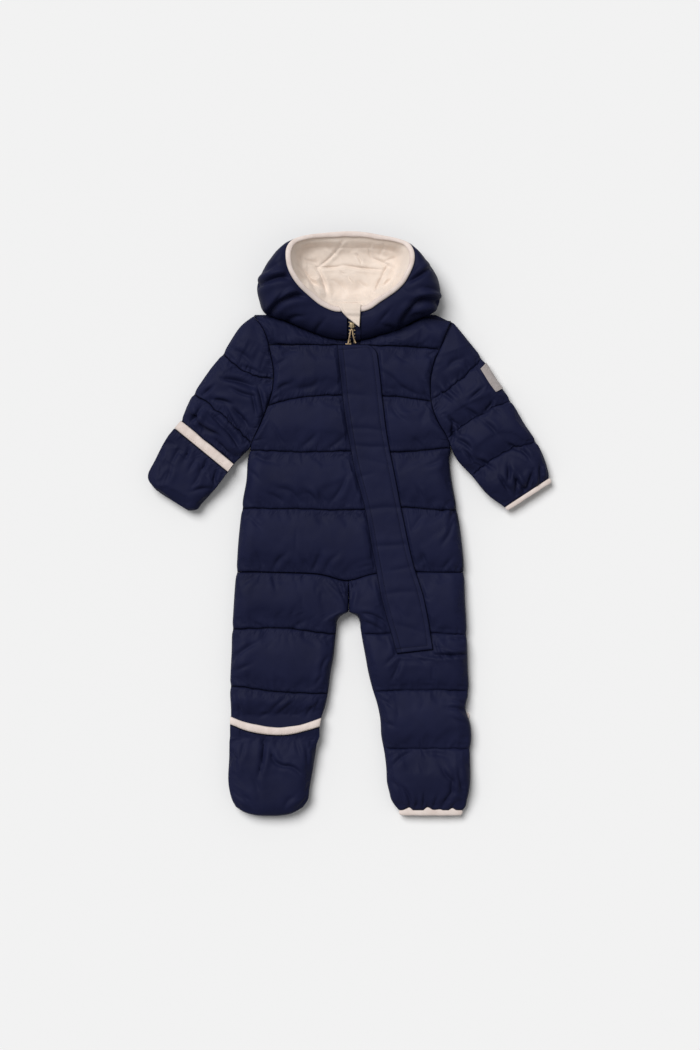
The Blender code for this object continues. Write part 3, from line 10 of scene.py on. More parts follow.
import bmesh
import bpy
import numpy as np
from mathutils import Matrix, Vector


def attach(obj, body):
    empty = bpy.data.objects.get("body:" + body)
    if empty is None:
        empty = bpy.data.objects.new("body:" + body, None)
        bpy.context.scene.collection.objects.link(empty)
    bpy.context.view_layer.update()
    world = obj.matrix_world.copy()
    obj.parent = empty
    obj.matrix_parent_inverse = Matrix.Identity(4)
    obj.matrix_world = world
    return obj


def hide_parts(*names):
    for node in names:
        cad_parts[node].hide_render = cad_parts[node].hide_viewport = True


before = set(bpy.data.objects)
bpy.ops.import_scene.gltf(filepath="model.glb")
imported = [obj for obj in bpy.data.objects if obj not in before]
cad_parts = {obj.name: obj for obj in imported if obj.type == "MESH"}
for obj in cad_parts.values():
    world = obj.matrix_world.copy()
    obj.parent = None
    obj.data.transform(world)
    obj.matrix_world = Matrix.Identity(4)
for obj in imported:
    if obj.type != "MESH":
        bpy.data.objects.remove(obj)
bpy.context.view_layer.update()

MM = 0.001

# %% [markdown]
# The garment lies flat, so the camera looks straight down on it. A long lens this far away keeps the
# sleeves and the feet free of the stretch that a near camera gives. The sensor's long side is the
# picture's height, so the distance follows from the height that has to fit in the frame.

# %% Camera
PICTURE_HEIGHT = 1365.0  # what the frame covers at the height of the quilting
LENS, SENSOR = 100.0, 36.0
QUILT_LEVEL = 14.0
CAMERA_X, CAMERA_Y = 0.65, -0.9
FAR_CLIP = 20
distance = PICTURE_HEIGHT * LENS / SENSOR + QUILT_LEVEL


def put(name, data):
    """A new object in the scene."""
    thing = bpy.data.objects.new(name, data)
    bpy.context.collection.objects.link(thing)
    return thing


optics = bpy.data.cameras.new("camera")
optics.lens, optics.sensor_width, optics.clip_end = LENS, SENSOR, FAR_CLIP
camera = put("camera", optics)
camera.location = (CAMERA_X * MM, CAMERA_Y * MM, distance * MM)
bpy.context.scene.camera = camera
print("camera height in mm", round(distance))

# %% [markdown]
# Soft light is what a studio uses for dark nylon. A broad sun from the upper left models the puffs and
# drops a short, soft shadow to the lower right, evenly over the whole floor, and a white sky opens the
# shadows. The floor is a plain pale sheet, so it is staged. The first helper here makes every finish:
# a number that is the same all over a surface is set on the shader itself.

# %% Light and floor
SKY = 0.30
SUN_STRENGTH, SUN_WIDTH = 2.72, 36.0  # the width in degrees softens its shadows
SUN_FROM = (-0.42, 0.52, 1.0)
FLOOR_SIZE, FLOOR_DROP = 40.0, 0.0004
FLOOR_WHITE = (0.87, 0.87, 0.87)


def new_finish(name, colour, roughness, **constants):
    """A Principled finish with its constant numbers set on the shader."""
    material = bpy.data.materials.new(name)
    material.use_nodes = True
    constants.update(Base_Color=(*colour, 1), Roughness=roughness)
    for label, value in constants.items():
        material.node_tree.nodes["Principled BSDF"].inputs[label.replace("_", " ")].default_value = value
    return material


world = bpy.data.worlds.new("studio")
world.use_nodes = True
world.node_tree.nodes["Background"].inputs["Color"].default_value = (1, 1, 1, 1)
world.node_tree.nodes["Background"].inputs["Strength"].default_value = SKY
bpy.context.scene.world = world
bpy.context.scene.view_settings.view_transform = "Standard"
sun = bpy.data.lights.new("broad sun", "SUN")
sun.energy, sun.angle = SUN_STRENGTH, math.radians(SUN_WIDTH)
put("broad sun", sun).rotation_euler = Vector(SUN_FROM).to_track_quat("Z", "Y").to_euler()
sheet = bpy.data.meshes.new("floor")
corners = [(x * FLOOR_SIZE / 2, y * FLOOR_SIZE / 2, 0) for x, y in ((-1, -1), (1, -1), (1, 1), (-1, 1))]
sheet.from_pydata(corners, [], [(0, 1, 2, 3)])
sheet.materials.append(new_finish("pale floor", FLOOR_WHITE, 1.0, Specular_IOR_Level=0.0))
floor = put("floor", sheet)
floor.location.z = -FLOOR_DROP

# %% [markdown]
# A quilted suit is a sandwich: an outer cloth and a lining with padding between, sewn through along the
# quilt lines. Laid flat it is a front layer on a back layer, both thickest in the middle of a channel.
# These are the heights and distances that every padded piece shares, the same as in the CAD model, so
# each dressed piece lies where its solid is.

# %% Heights and seams
GAP = 0.3  # between pieces that touch
SEAM = 0.2  # between two curved edges sewn together, which are drawn from different points
BACK_TOP = 10.85  # top of the back layer
FRONT_BASE = BACK_TOP + GAP  # underside of the front layer
FOLD_HEIGHT = 11.0  # height of an outline where the front layer turns into the back layer
BODY_CREST, LEG_CREST, SLEEVE_CREST = 27.0, 26.0, 25.0  # tops of padded channels
# The front layer's edge, and how far in from it the padding is full: at an open side, then at a seam
SIDE_SEAM_HEIGHT, SIDE_ROUNDING = 12.6, 20.0
JOINED_SEAM_HEIGHT, SEAM_ROUNDING = 19.5, 9.0
PUFF = 0.7  # below 1 gives a channel steep flanks and a broad crown
PINCH = 1.3  # how far a stitch line draws an outline in
BACK_NECK_Y, ARMHOLE_FOOT_Y, CROTCH_Y, CENTRE_X = 272.5, 99.0, -114.0, -1.0
PLACKET_THICKNESS, PLACKET_BED, PLACKET_LIFT = 3.5, 20.0, 1.4
PLACKET_TOP_Y, PLACKET_CORNER = 233.0, 14.0
PLACKET_FOOT_SLANT = 5.0  # the foot's free corner lies this much higher
PLACKET_PRESS = 0.1  # share of the padding's relief left under the placket
PRESS_OUTSIDE, PRESS_INSIDE = 5.0, 4.0  # the padding flattens over this strip along its edge
COVER_CLEARANCE = 4.6  # room behind a limb for a cover folded flat, 4 mm thick
COVER_CLOTH, BINDING_WIDTH, BINDING_PROUD = 5.0, 9.0, 0.8
COVER_GAP, LIP_CLEARANCE = 0.9, 0.6  # room under a cover's lip: over a curved top, over a covered end
FOLDED_FOOT_Y = -245.0  # the left foot's cover is folded behind the leg from here to the hem
FOLDED_MITTEN_STATION = 6.3  # the left hand's cover is folded behind the sleeve from here to the cuff
print("front layer from", FRONT_BASE, "to", BODY_CREST)

# %% [markdown]
# The pattern is a handful of curves. A quilt line is a row of heights across the body or a leg, an
# outline is a column of places down its edge, and everything between is worked out. Smooth curves
# through few points keep a sewn edge as fair as one cut with shears.

# %% Quilt lines and outlines
LINE_X = (-120, -70, 0, 70, 120)
BODY_LINES = (  # each line's y at those distances from the middle, then the height of the stitching
    (233, 233, 233, 231, 227, 19), (150, 163.5, 168, 165, 158, 19), (96, 94, 95.3, 94, 99, 19),
    (20.5, 20, 18.6, 21.8, 18.6, 19), (-62, -63.3, -65, -62, -62.7, 17),
)
NECK_SEAM_HEIGHT, LEG_SEAM_HEIGHT = 15.0, 17.0
GATHER_DEPTH = 8.5  # how far the leg seam dips at the middle, where it is gathered
GATHER_HALF_WIDTH = 24.0
RIGHT_LEG_X, LEFT_LEG_X = (-147, -85, -24), (25, 90, 148)
RIGHT_LEG_LINES = (
    (-136, -135, -142.6, 18), (-210.5, -218, -220, 18), (-275.3, -275.3, -275.3, 14.4),
)
LEFT_LEG_LINES = (
    (-142.6, -141, -143.3, 18), (-218, -215.4, -216.7, 18), (-290.8, -291.5, -292, 18),
    (-371.5, -371.5, -371.5, 14.6),
)
BODY_RIGHT_EDGE = (  # edges, as y and then x
    (-80, -148.5), (-59, -147), (-26, -145), (13, -141), (34, -138.4), (55, -134.5), (86, -132),
    (99, -129.4), (132, -115), (180, -99.5), (199, -98.7), (219, -102), (254, -112.5), (271, -124.2),
)
BODY_LEFT_EDGE = (
    (-80, 149.6), (-57, 149), (-26, 146.3), (13, 141), (34, 137.2), (55, 133.3), (76, 130.7), (86, 130),
    (97, 132.5), (113.5, 126.8), (132, 115.8), (154, 107.4), (171, 105.6), (188, 105.6), (210, 110.2),
    (238, 122.3), (263, 131.6),
)
RIGHT_LEG_OUTER = (
    (-280, -155), (-244, -154.1), (-214, -155.4), (-192, -154.7), (-166, -153.4), (-140, -152.8),
    (-119, -151.5), (-98, -150.2), (-78, -148.8), (-59, -147),
)
RIGHT_LEG_INNER = (
    (-280, -41.6), (-275, -41), (-254, -37.1), (-234, -30.6), (-213, -26.7), (-192, -24), (-171, -20.2),
    (-150, -18.2), (-135, -16.6), (-124, -14.8), (-118, -9.5), (-114, -1.6),
)
LEFT_LEG_OUTER = (
    (-372, 146.6), (-368.8, 149.6), (-358, 153), (-348, 155.4), (-338, 156.7), (-306, 156.7), (-254, 155.4),
    (-244, 151.5), (-215, 155.4), (-192, 154.1), (-150, 152.8), (-119, 151.5), (-98, 150.2), (-57, 149),
)
LEFT_LEG_INNER = (
    (-372, 64.5), (-368.8, 61.5), (-358, 54), (-348, 51.4), (-338, 48.8), (-317, 47.5), (-296, 44.9),
    (-275, 41), (-254, 39.7), (-234, 35.8), (-213, 29.3), (-192, 24), (-171, 20.2), (-150, 16.3),
    (-135, 13.9), (-124, 12.4), (-118, 8), (-114, -0.4),
)
ZIP_SLOT = (  # the slot that the zip fills: y, its right-hand edge, its left-hand edge
    (-166, 74.7, 82.7), (-111, 59, 67), (-46, 46, 54), (18.6, 34.4, 42.4), (99, 14.9, 22.9),
    (184, 3.8, 11.8), (226, -1, 12), (237, -2, 14), (280, -2, 14),
)
PLACKET = (  # y, its sewn edge, its free edge
    (-167.5, 61.2, 108.2), (-120.5, 47.8, 101.4), (-98, 42, 96.9), (-46, 31.9, 81.3), (18.6, 20.1, 67.6),
    (81, 4.4, 55.3), (122.6, -3, 47.5), (168, -9.6, 42.3), (184, -11, 40.6), (233, -16.2, 34.6),
)
print("quilt lines on the body", len(BODY_LINES), "on the legs", len(RIGHT_LEG_LINES), len(LEFT_LEG_LINES))

# %% [markdown]
# A sleeve is drafted as rows from the shoulder to the hand: where its outer and inner edges lie, how
# far the row bows to the hand, and its height. Every second row is a stitch line. The covers that fold
# over a hand or a foot are drafted in the same way, from their mouth to their end.

# %% Sleeves and fold-over covers
SLEEVE_RIGHT = (  # outer edge x, y; inner edge x, y; bow; seam or stitch height
    (-124.8, 271.2, -122, 267.4, 0, 14), (-143.7, 255.2, -106, 236, 2, 14),
    (-165.1, 222, -97.5, 189, 8, 18), (-182, 200.6, -104, 156.4, 4, 18), (-202.8, 170, -126, 105.7, -3, 18),
    (-211.3, 153.8, -138.5, 90.1, -1, 18), (-219.1, 135.6, -150.2, 78.4, 0, 15),
    (-233.4, 114.8, -165.8, 57.6, 0, 15),
)
SLEEVE_LEFT = (
    (134, 263.8, 131.8, 261, 0, 14), (152.8, 240.9, 121, 235.7, 0, 14), (172.3, 216.2, 104.5, 161.6, 4, 18),
    (190.5, 187.6, 113, 135.6, 0, 18), (210, 160.9, 127, 111.5, -5, 18),
    (226.9, 131.7, 139.8, 84.2, -5, 18), (243.1, 107.6, 159.3, 62.8, -7, 17),
    (254.2, 83.6, 178.8, 39.4, -3, 17), (260.4, 60.7, 201.8, 22.3, 0, 14.6),
)
COVERED_CREST = 15.6  # top of a limb's end inside a cover
MITTEN = (  # the right hand's cover: outer edge x, y; inner edge x, y
    (-219.1, 134.3, -150.7, 78.4), (-226.9, 125.2, -157.9, 68.7), (-239.9, 108.3, -169.7, 51.8),
    (-252.9, 83.6, -184, 35.5), (-262, 64.6, -191.8, 27.1), (-258, 52.4, -198.3, 19.3),
    (-246.4, 40.7, -209.9, 18),
)
FOOT = (  # the right foot's cover: y, outer edge x, inner edge x
    (-368, -147.5, -60.5), (-358, -152.8, -54), (-345, -156.3, -52), (-300, -156.4, -44.5),
    (-275, -155.8, -41), (-254, -155, -37.1), (-240, -154.8, -34),
)
FOOT_MOUTH = (  # x, y of the binding's upper edge
    (-155, -249.5), (-136, -257), (-116, -261.6), (-98, -263.5), (-77, -262.9), (-58, -259), (-37, -252.2),
)
FOOT_TOE = (
    (-147.5, -367.5), (-139, -373.2), (-124, -378), (-106, -379.3), (-90, -378.9), (-75, -376),
    (-60.5, -368),
)
FOOT_CREST, MITTEN_CREST = 25.0, 24.0
print("sleeve rows", len(SLEEVE_RIGHT), len(SLEEVE_LEFT))

# %% [markdown]
# The hood stands up from the floor as a soft bowl. It is described by walking once round its opening,
# from the right side of the zip over the brim to the left side: at each station the rim's place and
# height, the way the padded shell faces in degrees, and how far it reaches out.

# %% The hood's stations
HOOD = (  # rim x, y and height; facing; reach
    (-3.2, 274.6, 37, 270, 35.4), (-20, 275.2, 38, 260, 34), (-38, 283, 40, 243, 35.3),
    (-53, 295, 44, 224, 43.5), (-65, 306, 49, 216, 55), (-74, 318, 52, 213, 51.3),
    (-80, 331, 53, 210, 45.8), (-82.2, 344, 52, 207, 34), (-81.5, 355, 49, 200, 18),
    (-77, 364, 44, 180, 4.5), (-69, 369.8, 38, 145, 0), (-51.4, 374.8, 33, 110, -1),
    (-25.4, 377.8, 30, 97, -1), (-2, 379.3, 30, 90, -1), (20, 378, 31, 84, -1), (41, 374, 33, 78, -1),
    (60, 370, 36, 68, -1), (75, 364.3, 40, 32, 0), (81.5, 356.5, 45, -5, 6), (84, 346, 49, -18, 18),
    (82.5, 334, 52, -25, 35), (77, 321, 53, -26, 45), (70, 309.5, 52, -29, 52), (60, 300, 49, -29, 54),
    (49, 292.5, 45, -38, 46), (38, 285.5, 41, -54, 40.5), (28, 278.6, 38, -73, 34.5),
    (15, 274.6, 37, -90, 35.4), (-3.2, 274.6, 37, -90, 35.4),
)
BRIM_START, BRIM_END, ZIP_LEFT, ZIP_RIGHT = 10, 17, 27, 28
BOWL = np.array((0.0, 325.0))  # middle of the hood's floor
RIM_INSET = (1.0, 4.5)  # outer and inner edge of the shell's rim, in from the opening's outline
WALL_FOOT, FLOOR_TOP = 16.0, 6.7  # how far in the wall meets the floor, and the floor's height
BELLY_HEIGHT, COLLAR_FOOT_HEIGHT = 24.0, 15.0  # the shell's widest line: off the body, and on it
CREST_LIFT, LINING, HOOD_BINDING_WIDTH = 3.5, 2.0, 7.3
print("hood stations", len(HOOD))

# %% [markdown]
# A curve through a few knots is all the drafting that the pattern needs. Hermite pieces with slopes
# taken from the neighbours give the fair line of a flexible ruler, and the small helpers below turn a
# distance into the rounding of a seam or the swell of a padded channel.

# %% Drafting curves
def smooth(knots, values, at):
    """A smooth curve through values at rising knots, held level beyond its ends."""
    k = np.asarray(knots, float)
    v = np.asarray(values, float)
    slope = np.gradient(v, k, axis=0)
    at = np.clip(np.asarray(at, float), k[0], k[-1])
    i = np.clip(np.searchsorted(k, at) - 1, 0, len(k) - 2)
    span = k[i + 1] - k[i]
    t = (at - k[i]) / span
    if v.ndim > 1:
        span, t = span[..., None], t[..., None]
    start = (2 * t**3 - 3 * t**2 + 1) * v[i] + (t**3 - 2 * t**2 + t) * span * slope[i]
    return start + (3 * t**2 - 2 * t**3) * v[i + 1] + (t**3 - t**2) * span * slope[i + 1]


def curve(table, column=1):
    """The curve of one column of a table against its first."""
    rows = sorted(table)
    return lambda at: smooth([r[0] for r in rows], [r[column] for r in rows], at)


def mix(first, last, share):
    return first * (1 - share) + last * share


def ease(at, start, end):
    """0 before start, 1 after end, smooth between."""
    t = np.clip((at - start) / (end - start), 0, 1)
    return t * t * (3 - 2 * t)


def rise(share):
    """A quarter circle, from 0 at an edge to 1 inside."""
    return np.sqrt(np.clip(1 - (1 - np.clip(share, 0, 1)) ** 2, 0, 1))


def puff(share):
    """The height of a padded channel across it, 0 at both stitch lines."""
    return np.sin(np.pi * np.clip(share, 0, 1)) ** PUFF


def bell(distance, width):
    """1 in the middle, fading to both sides."""
    return np.exp(-((distance / width) ** 2))


print("a channel's swell on the way to its middle:", np.round(puff(np.array((0.1, 0.25, 0.5))), 2))

# %% [markdown]
# The rest of the drafting is measuring. Corners are kept as arrays whose last axis is x, y and z, so
# one helper gives the length of every vector at once, and another the distance run along each row.

# %% Measuring lines and grids
def join(x, y, z):
    """Corners from separate x, y and z, any of which may be one number."""
    return np.stack(np.broadcast_arrays(x, y, z), -1)


def length(vectors):
    return np.linalg.norm(vectors, axis=-1)


def unit(vectors):
    return vectors / np.maximum(length(vectors), 1e-9)[..., None]


def run_along(line):
    """Distance from the first point, along a line or along each row of a grid."""
    return np.insert(np.cumsum(length(np.diff(line, axis=-2)), axis=-1), 0, 0, axis=-1)


def points_at(line, at):
    """Points of a line at distances along it."""
    knots = run_along(line)
    return np.stack([np.interp(at, knots, column) for column in line.T], 1)


def faired(knots, line, count):
    """A smooth curve through a line's points, resampled evenly over its knots."""
    return smooth(knots, line, np.linspace(0, knots[-1], count))


def outward(grid, middle=None):
    """A unit normal at each corner of a grid, on its upper side or away from a middle."""
    normal = unit(np.cross(np.gradient(grid, axis=1), np.gradient(grid, axis=0)))
    side = normal[..., 2]
    if middle is not None:
        side = (normal[..., :2] * (grid[..., :2] - middle)).sum(-1) + side * 60
    return normal * (1.0 if side.mean() > 0 else -1.0)


print("runs of a square:", run_along(np.array([(0, 0), (1, 0), (1, 1), (0, 1)])))

# %% [markdown]
# The hood's table gives its rim, and the collar's line follows from it: the lowest reach of the shell
# is where the collar is sewn to the body, and so it is also the neck edge of the front panels.

# %% Stations round the hood
def hood_station(at):
    """(rim, height, unit vector out, unit vector in, reach) at a place in the hood's table."""
    x, y, height, facing, reach = smooth(range(len(HOOD)), HOOD, at)
    rim = np.array((x, y))
    out = np.array((math.cos(math.radians(facing)), math.sin(math.radians(facing))))
    return rim, height, out, unit(BOWL - rim), reach


def collar_line():
    """Points where the collar meets the body, from right to left."""
    found = set()
    for at in np.arange(0, len(HOOD) - 1 + 0.1, 0.5):
        rim, _, out, _, reach = hood_station(at)
        spot = rim + out * reach
        if spot[1] < BACK_NECK_Y:
            found.add(tuple(spot))
    return sorted(found)


COLLAR = collar_line()


def neck(x):
    """The neck edge of the body's front."""
    ends = np.array([(-126.0, 271.0), *COLLAR, (133.0, 264.0)])
    return np.minimum(np.interp(x, ends[:, 0], ends[:, 1]), BACK_NECK_Y - 0.5) - SEAM


print("the collar meets the body at", len(COLLAR), "points")

# %% [markdown]
# A panel knows its quilt lines, its outlines and how high its padding stands. Its mesh is a grid whose
# rows follow the quilt lines and whose columns follow the seams, because folds and puckers in real
# cloth start at the sewing, and a mesh that runs with the sewing bends where the cloth bends.

# %% A quilted panel
STEP = 1.6  # about one mesh square


def even_count(run):
    return max(2, 2 * int(round(run / STEP / 2)))


class Panel:
    """A quilted layer: its stitch lines, and how high it stands at any place.

    Its columns follow guide lines from its left edge to its right one.
    """

    def __init__(self, lines, heights, guides, crest, sides):
        self.lines, self.heights, self.guides = lines, heights, guides
        self.left, self.right = guides[0], guides[-1]
        self.crest, self.sides = crest, sides

    def levels(self, x):
        """Places of the cross rows, counted in channels, and which of them are quilt lines."""
        places, sewn = [0.0], [0]
        for band, (upper, lower) in enumerate(zip(self.lines, self.lines[1:])):
            count = even_count(float(upper(x) - lower(x)))
            places += [band + (k + 1) / count for k in range(count)]
            sewn.append(len(places) - 1)
        return np.array(places), sewn

    def columns(self, y):
        """Places of the columns, counted in guide lines."""
        places = [0.0]
        for cell, width in enumerate(np.diff([float(guide(y)) for guide in self.guides])):
            count = even_count(width)
            places += [cell + (k + 1) / count for k in range(count)]
        return np.array(places)

    def grid(self, levels, columns):
        """x and y where every row crosses every column."""
        band = np.minimum(levels.astype(int), len(self.lines) - 2)
        cell = np.minimum(columns.astype(int), len(self.guides) - 2)
        pick, along = np.arange(len(levels)), np.arange(len(columns))
        x = np.zeros((len(levels), len(columns)))
        for _ in range(12):
            rows = np.stack([line(x) for line in self.lines])
            y = mix(rows[band, pick], rows[band + 1, pick], (levels - band)[:, None])
            stops = np.stack([guide(y) for guide in self.guides])
            x = mix(stops[cell, :, along].T, stops[cell + 1, :, along].T, columns - cell)
        return x, y

    def height(self, x, y):
        """Top of the layer, from the channel it is in and how near its edges are."""
        rows = np.stack([line(x) for line in self.lines])
        band = np.clip((rows > y).sum(0) - 1, 0, len(self.lines) - 2)
        upper = np.take_along_axis(rows, band[None], 0)[0]
        lower = np.take_along_axis(rows, band[None] + 1, 0)[0]
        share = np.clip((upper - y) / np.maximum(upper - lower, 0.5), 0, 1)
        stitched = np.asarray(self.heights)
        valley = mix(stitched[band], stitched[band + 1], share)
        top = valley + (self.crest(y) - valley) * puff(share) * np.clip((upper - lower) / 35, 0, 1)
        for side, distance in zip(self.sides, (x - self.left(y), self.right(y) - x)):
            if side:
                edge, rounding = side(y)
                top = edge + (top - edge) * rise(distance / rounding)
        return top


print("rows in a 70 mm channel:", even_count(70))

# %% [markdown]
# Each edge of a panel is either open, low and broadly rounded, or sewn to another padded piece, higher
# and tighter. One helper runs from the first to the second. Another draws an outline in where a stitch
# line meets it, which gives a quilted garment its scalloped sides.

# %% Edges and seams of the panels
def joined_side(start, end):
    """Height and rounding of a side that is open before start and sewn on after end."""

    def side(y):
        share = ease(y, start, end)
        height = SIDE_SEAM_HEIGHT + (JOINED_SEAM_HEIGHT - SIDE_SEAM_HEIGHT) * share
        return height, SIDE_ROUNDING + (SEAM_ROUNDING - SIDE_ROUNDING) * share

    return side


body_side = joined_side(ARMHOLE_FOOT_Y - 12, ARMHOLE_FOOT_Y + 12)
inner_leg_side = joined_side(CROTCH_Y - 20, CROTCH_Y + 6)


def open_side(y):
    return SIDE_SEAM_HEIGHT, SIDE_ROUNDING


def across(places, row):
    """A quilt line through a row's values at places across."""
    return curve(tuple(zip(places, row)))


def shifted(line, by):
    return lambda at: line(at) + by


def leg_seam(x):
    """The seam between body and legs, gathered at the middle."""
    return across(LINE_X, BODY_LINES[-1])(x) - GATHER_DEPTH * bell(np.asarray(x) + 3, GATHER_HALF_WIDTH)


def leg_lines(places, rows):
    return [shifted(leg_seam, -SEAM / 2), *(across(places, row) for row in rows)]


def pinched(table, lines, at_x, outward_side):
    """An edge drawn in where stitch lines meet it."""
    edge, stops = curve(table), [float(line(at_x)) for line in lines]
    return lambda y: edge(y) - outward_side * PINCH * sum(bell(y - s, 5.0) for s in stops)


def leg_inner(table, side):
    """The inside leg, and the seam between the legs above the crotch."""
    open_edge = curve(table)
    return lambda y: np.where(y > CROTCH_Y, CENTRE_X, open_edge(y)) + side * GAP


body_lines = [neck, *(across(LINE_X, row) for row in BODY_LINES[:-1]), shifted(leg_seam, SEAM / 2)]
right_leg_lines = leg_lines(RIGHT_LEG_X, RIGHT_LEG_LINES)
left_leg_lines = leg_lines(LEFT_LEG_X, LEFT_LEG_LINES)
right_edge = pinched(BODY_RIGHT_EDGE, body_lines[3:], -140, -1)
left_edge = pinched(BODY_LEFT_EDGE, body_lines[3:], 140, 1)
right_leg_outer = pinched(RIGHT_LEG_OUTER, right_leg_lines[:3], -147, -1)
left_leg_outer = pinched(LEFT_LEG_OUTER, left_leg_lines[:4], 148, 1)
right_leg_inner, left_leg_inner = leg_inner(RIGHT_LEG_INNER, -1), leg_inner(LEFT_LEG_INNER, 1)
slot_right, slot_left = curve(ZIP_SLOT, 1), curve(ZIP_SLOT, 2)
placket_sewn, placket_free = curve(PLACKET, 1), curve(PLACKET, 2)
print("the body is", round(float(left_edge(0.0) - right_edge(0.0)), 1), "mm wide at the waist")

# %% [markdown]
# Four panels make the front: two on the body, split by the zip, and two on the legs. Their guide lines
# run beside the placket, so the mesh has a clean step where the padding is pressed flat under it.

# %% The suit's four front panels
COLUMN_SWING = 24  # how far a guide line moves to the leg's middle below the placket
LEFT_HEM_DROP = 4.0


def under_placket(x, y):
    """How fully a place lies under the placket, from 0 to 1."""
    inside = np.minimum(x - placket_sewn(y), placket_free(y) - x)
    along = np.minimum(y - PLACKET[0][0], PLACKET_TOP_Y - y)
    return np.clip((np.minimum(inside, along) + PRESS_OUTSIDE) / (PRESS_OUTSIDE + PRESS_INSIDE), 0, 1)


def pressed(panel):
    """A front panel's height, pressed flatter where the placket lies on it."""

    def height(x, y):
        top = panel.height(x, y)
        flat = PLACKET_BED + PLACKET_PRESS * (top - PLACKET_BED)
        return top + (np.minimum(top, flat) - top) * under_placket(x, y)

    return height


def body_crest(y):
    return BODY_CREST


def below_placket(line):
    return lambda y: line(y) + COLUMN_SWING * ease(-y, 170, 340)


def centre_line(y):
    """A column down the middle of the right front, clear of the placket."""
    return np.minimum(placket_sewn(y) - PRESS_OUTSIDE - 1, CENTRE_X)


before_placket, inside_sewn = shifted(placket_sewn, -PRESS_OUTSIDE), shifted(placket_sewn, PRESS_INSIDE)
inside_free, after_placket = shifted(placket_free, -PRESS_INSIDE), shifted(placket_free, PRESS_OUTSIDE)
body_heights = [NECK_SEAM_HEIGHT, *(row[-1] for row in BODY_LINES)]
front_right = Panel(
    body_lines, body_heights,
    (shifted(right_edge, SEAM / 2), centre_line, before_placket, inside_sewn, shifted(slot_right, -GAP)),
    body_crest, (body_side, None),
)
front_left = Panel(
    body_lines, body_heights,
    (shifted(slot_left, GAP), inside_free, after_placket, shifted(left_edge, -SEAM / 2)),
    body_crest, (None, body_side),
)
leg_right = Panel(
    right_leg_lines, [LEG_SEAM_HEIGHT, *(row[-1] for row in RIGHT_LEG_LINES)],
    (right_leg_outer, right_leg_inner),
    lambda y: LEG_CREST + (COVERED_CREST - LEG_CREST) * ease(-y, 222, 250), (open_side, inner_leg_side),
)
leg_left = Panel(
    left_leg_lines, [LEG_SEAM_HEIGHT, *(row[-1] for row in LEFT_LEG_LINES)],
    (left_leg_inner, below_placket(before_placket), below_placket(inside_sewn), inside_free, after_placket,
     left_leg_outer),
    lambda y: LEG_CREST - LEFT_HEM_DROP * ease(-y, 300, 371), (inner_leg_side, open_side),
)
whole_front = Panel(body_lines, body_heights, (right_edge, left_edge), body_crest, (body_side, body_side))


def front_height(x, y):
    """Top of the body and the left leg together, which the placket lies on."""
    return np.where(y > leg_seam(x), pressed(whole_front)(x, y), pressed(leg_left)(x, y))


chest = float(front_right.height(np.array([-60.0]), np.array([130.0]))[0])
print("height over the middle of the chest", round(chest, 1))

# %% [markdown]
# Cloth never repeats itself, so its unevenness needs chance that comes out the same on every run.
# Random numbers on a small lattice, blended smoothly, give hills of one size. A seed names each field.

# %% Soft random hills
LATTICE = 64


def hills(x, y, size, seed):
    """Smooth random values between about -1 and 1, one hill to each size."""
    table = np.random.default_rng(seed).uniform(-1, 1, (LATTICE, LATTICE))
    u, v = x / size + 7.3, y / size + 3.1
    i, j = np.floor(u).astype(int), np.floor(v).astype(int)
    a, b = u - i, v - j
    a, b = a * a * (3 - 2 * a), b * b * (3 - 2 * b)
    i, j, k, m = i % LATTICE, j % LATTICE, (i + 1) % LATTICE, (j + 1) % LATTICE
    return mix(mix(table[i, j], table[k, j], a), mix(table[i, m], table[k, m], a), b)


print("a row of hills:", np.round(hills(np.arange(0, 50, 10.0), 0, 12, 1), 2))

# %% [markdown]
# Where thread draws the layers together the outer cloth has more length than the seam, and the spare
# length stands in short puckers that run off the seam at a right angle and fade within a few
# centimetres. Each pucker here is a soft trough with its own place, reach, width, slant and depth.
# Geometry carries them and not a bump map, so they also show against the light at the edge.

# %% Puckers at a quilt line
PUCKER_SPACING = 7.5
PUCKER_REACH = (7.0, 24.0)
PUCKER_WIDTH = (1.7, 3.4)
PUCKER_SLANT = 0.45
PUCKER_DEPTH = (0.35, 1.35)
SEWN_SINK = 1.1  # how deep the thread lies between its channels


def puckers(grid, row, seed, strength=1.0, spacing=PUCKER_SPACING):
    """How far the cloth dips beside one sewn row of a grid."""
    chance = np.random.default_rng(seed)
    place = run_along(grid[row])
    dip = np.zeros(grid.shape[:2])
    off = length(grid - grid[row])
    for side in (-1, 1):
        rows = [i for i in range(len(grid)) if (i - row) * side > 0 and off[i].min() < PUCKER_REACH[1]]
        if not rows:
            continue
        near = off[rows]
        for centre in np.arange(chance.uniform(0, spacing), place[-1], spacing):
            middle = centre + chance.uniform(-0.4, 0.4) * spacing
            reach = chance.uniform(*PUCKER_REACH) * chance.uniform(0.5, 1)
            width = chance.uniform(*PUCKER_WIDTH)
            slant = chance.uniform(-PUCKER_SLANT, PUCKER_SLANT)
            depth = chance.uniform(*PUCKER_DEPTH) * (reach / PUCKER_REACH[1]) ** 0.5
            across = (place - middle - slant * near) / (width * (0.6 + near / reach))
            fade = np.clip(1 - near / reach, 0, 1) ** 1.4 * ease(near, 0.0, 3.0)
            dip[rows] += depth * (1 - 0.55 * across**2) * np.exp(-across**2 / 1.3) * fade
    return dip * strength


def side_puckers(grid, column, *settings):
    """The same beside one sewn column."""
    return puckers(grid.swapaxes(0, 1), column, *settings).T


print("deepest of a few puckers in mm:", PUCKER_DEPTH[1])
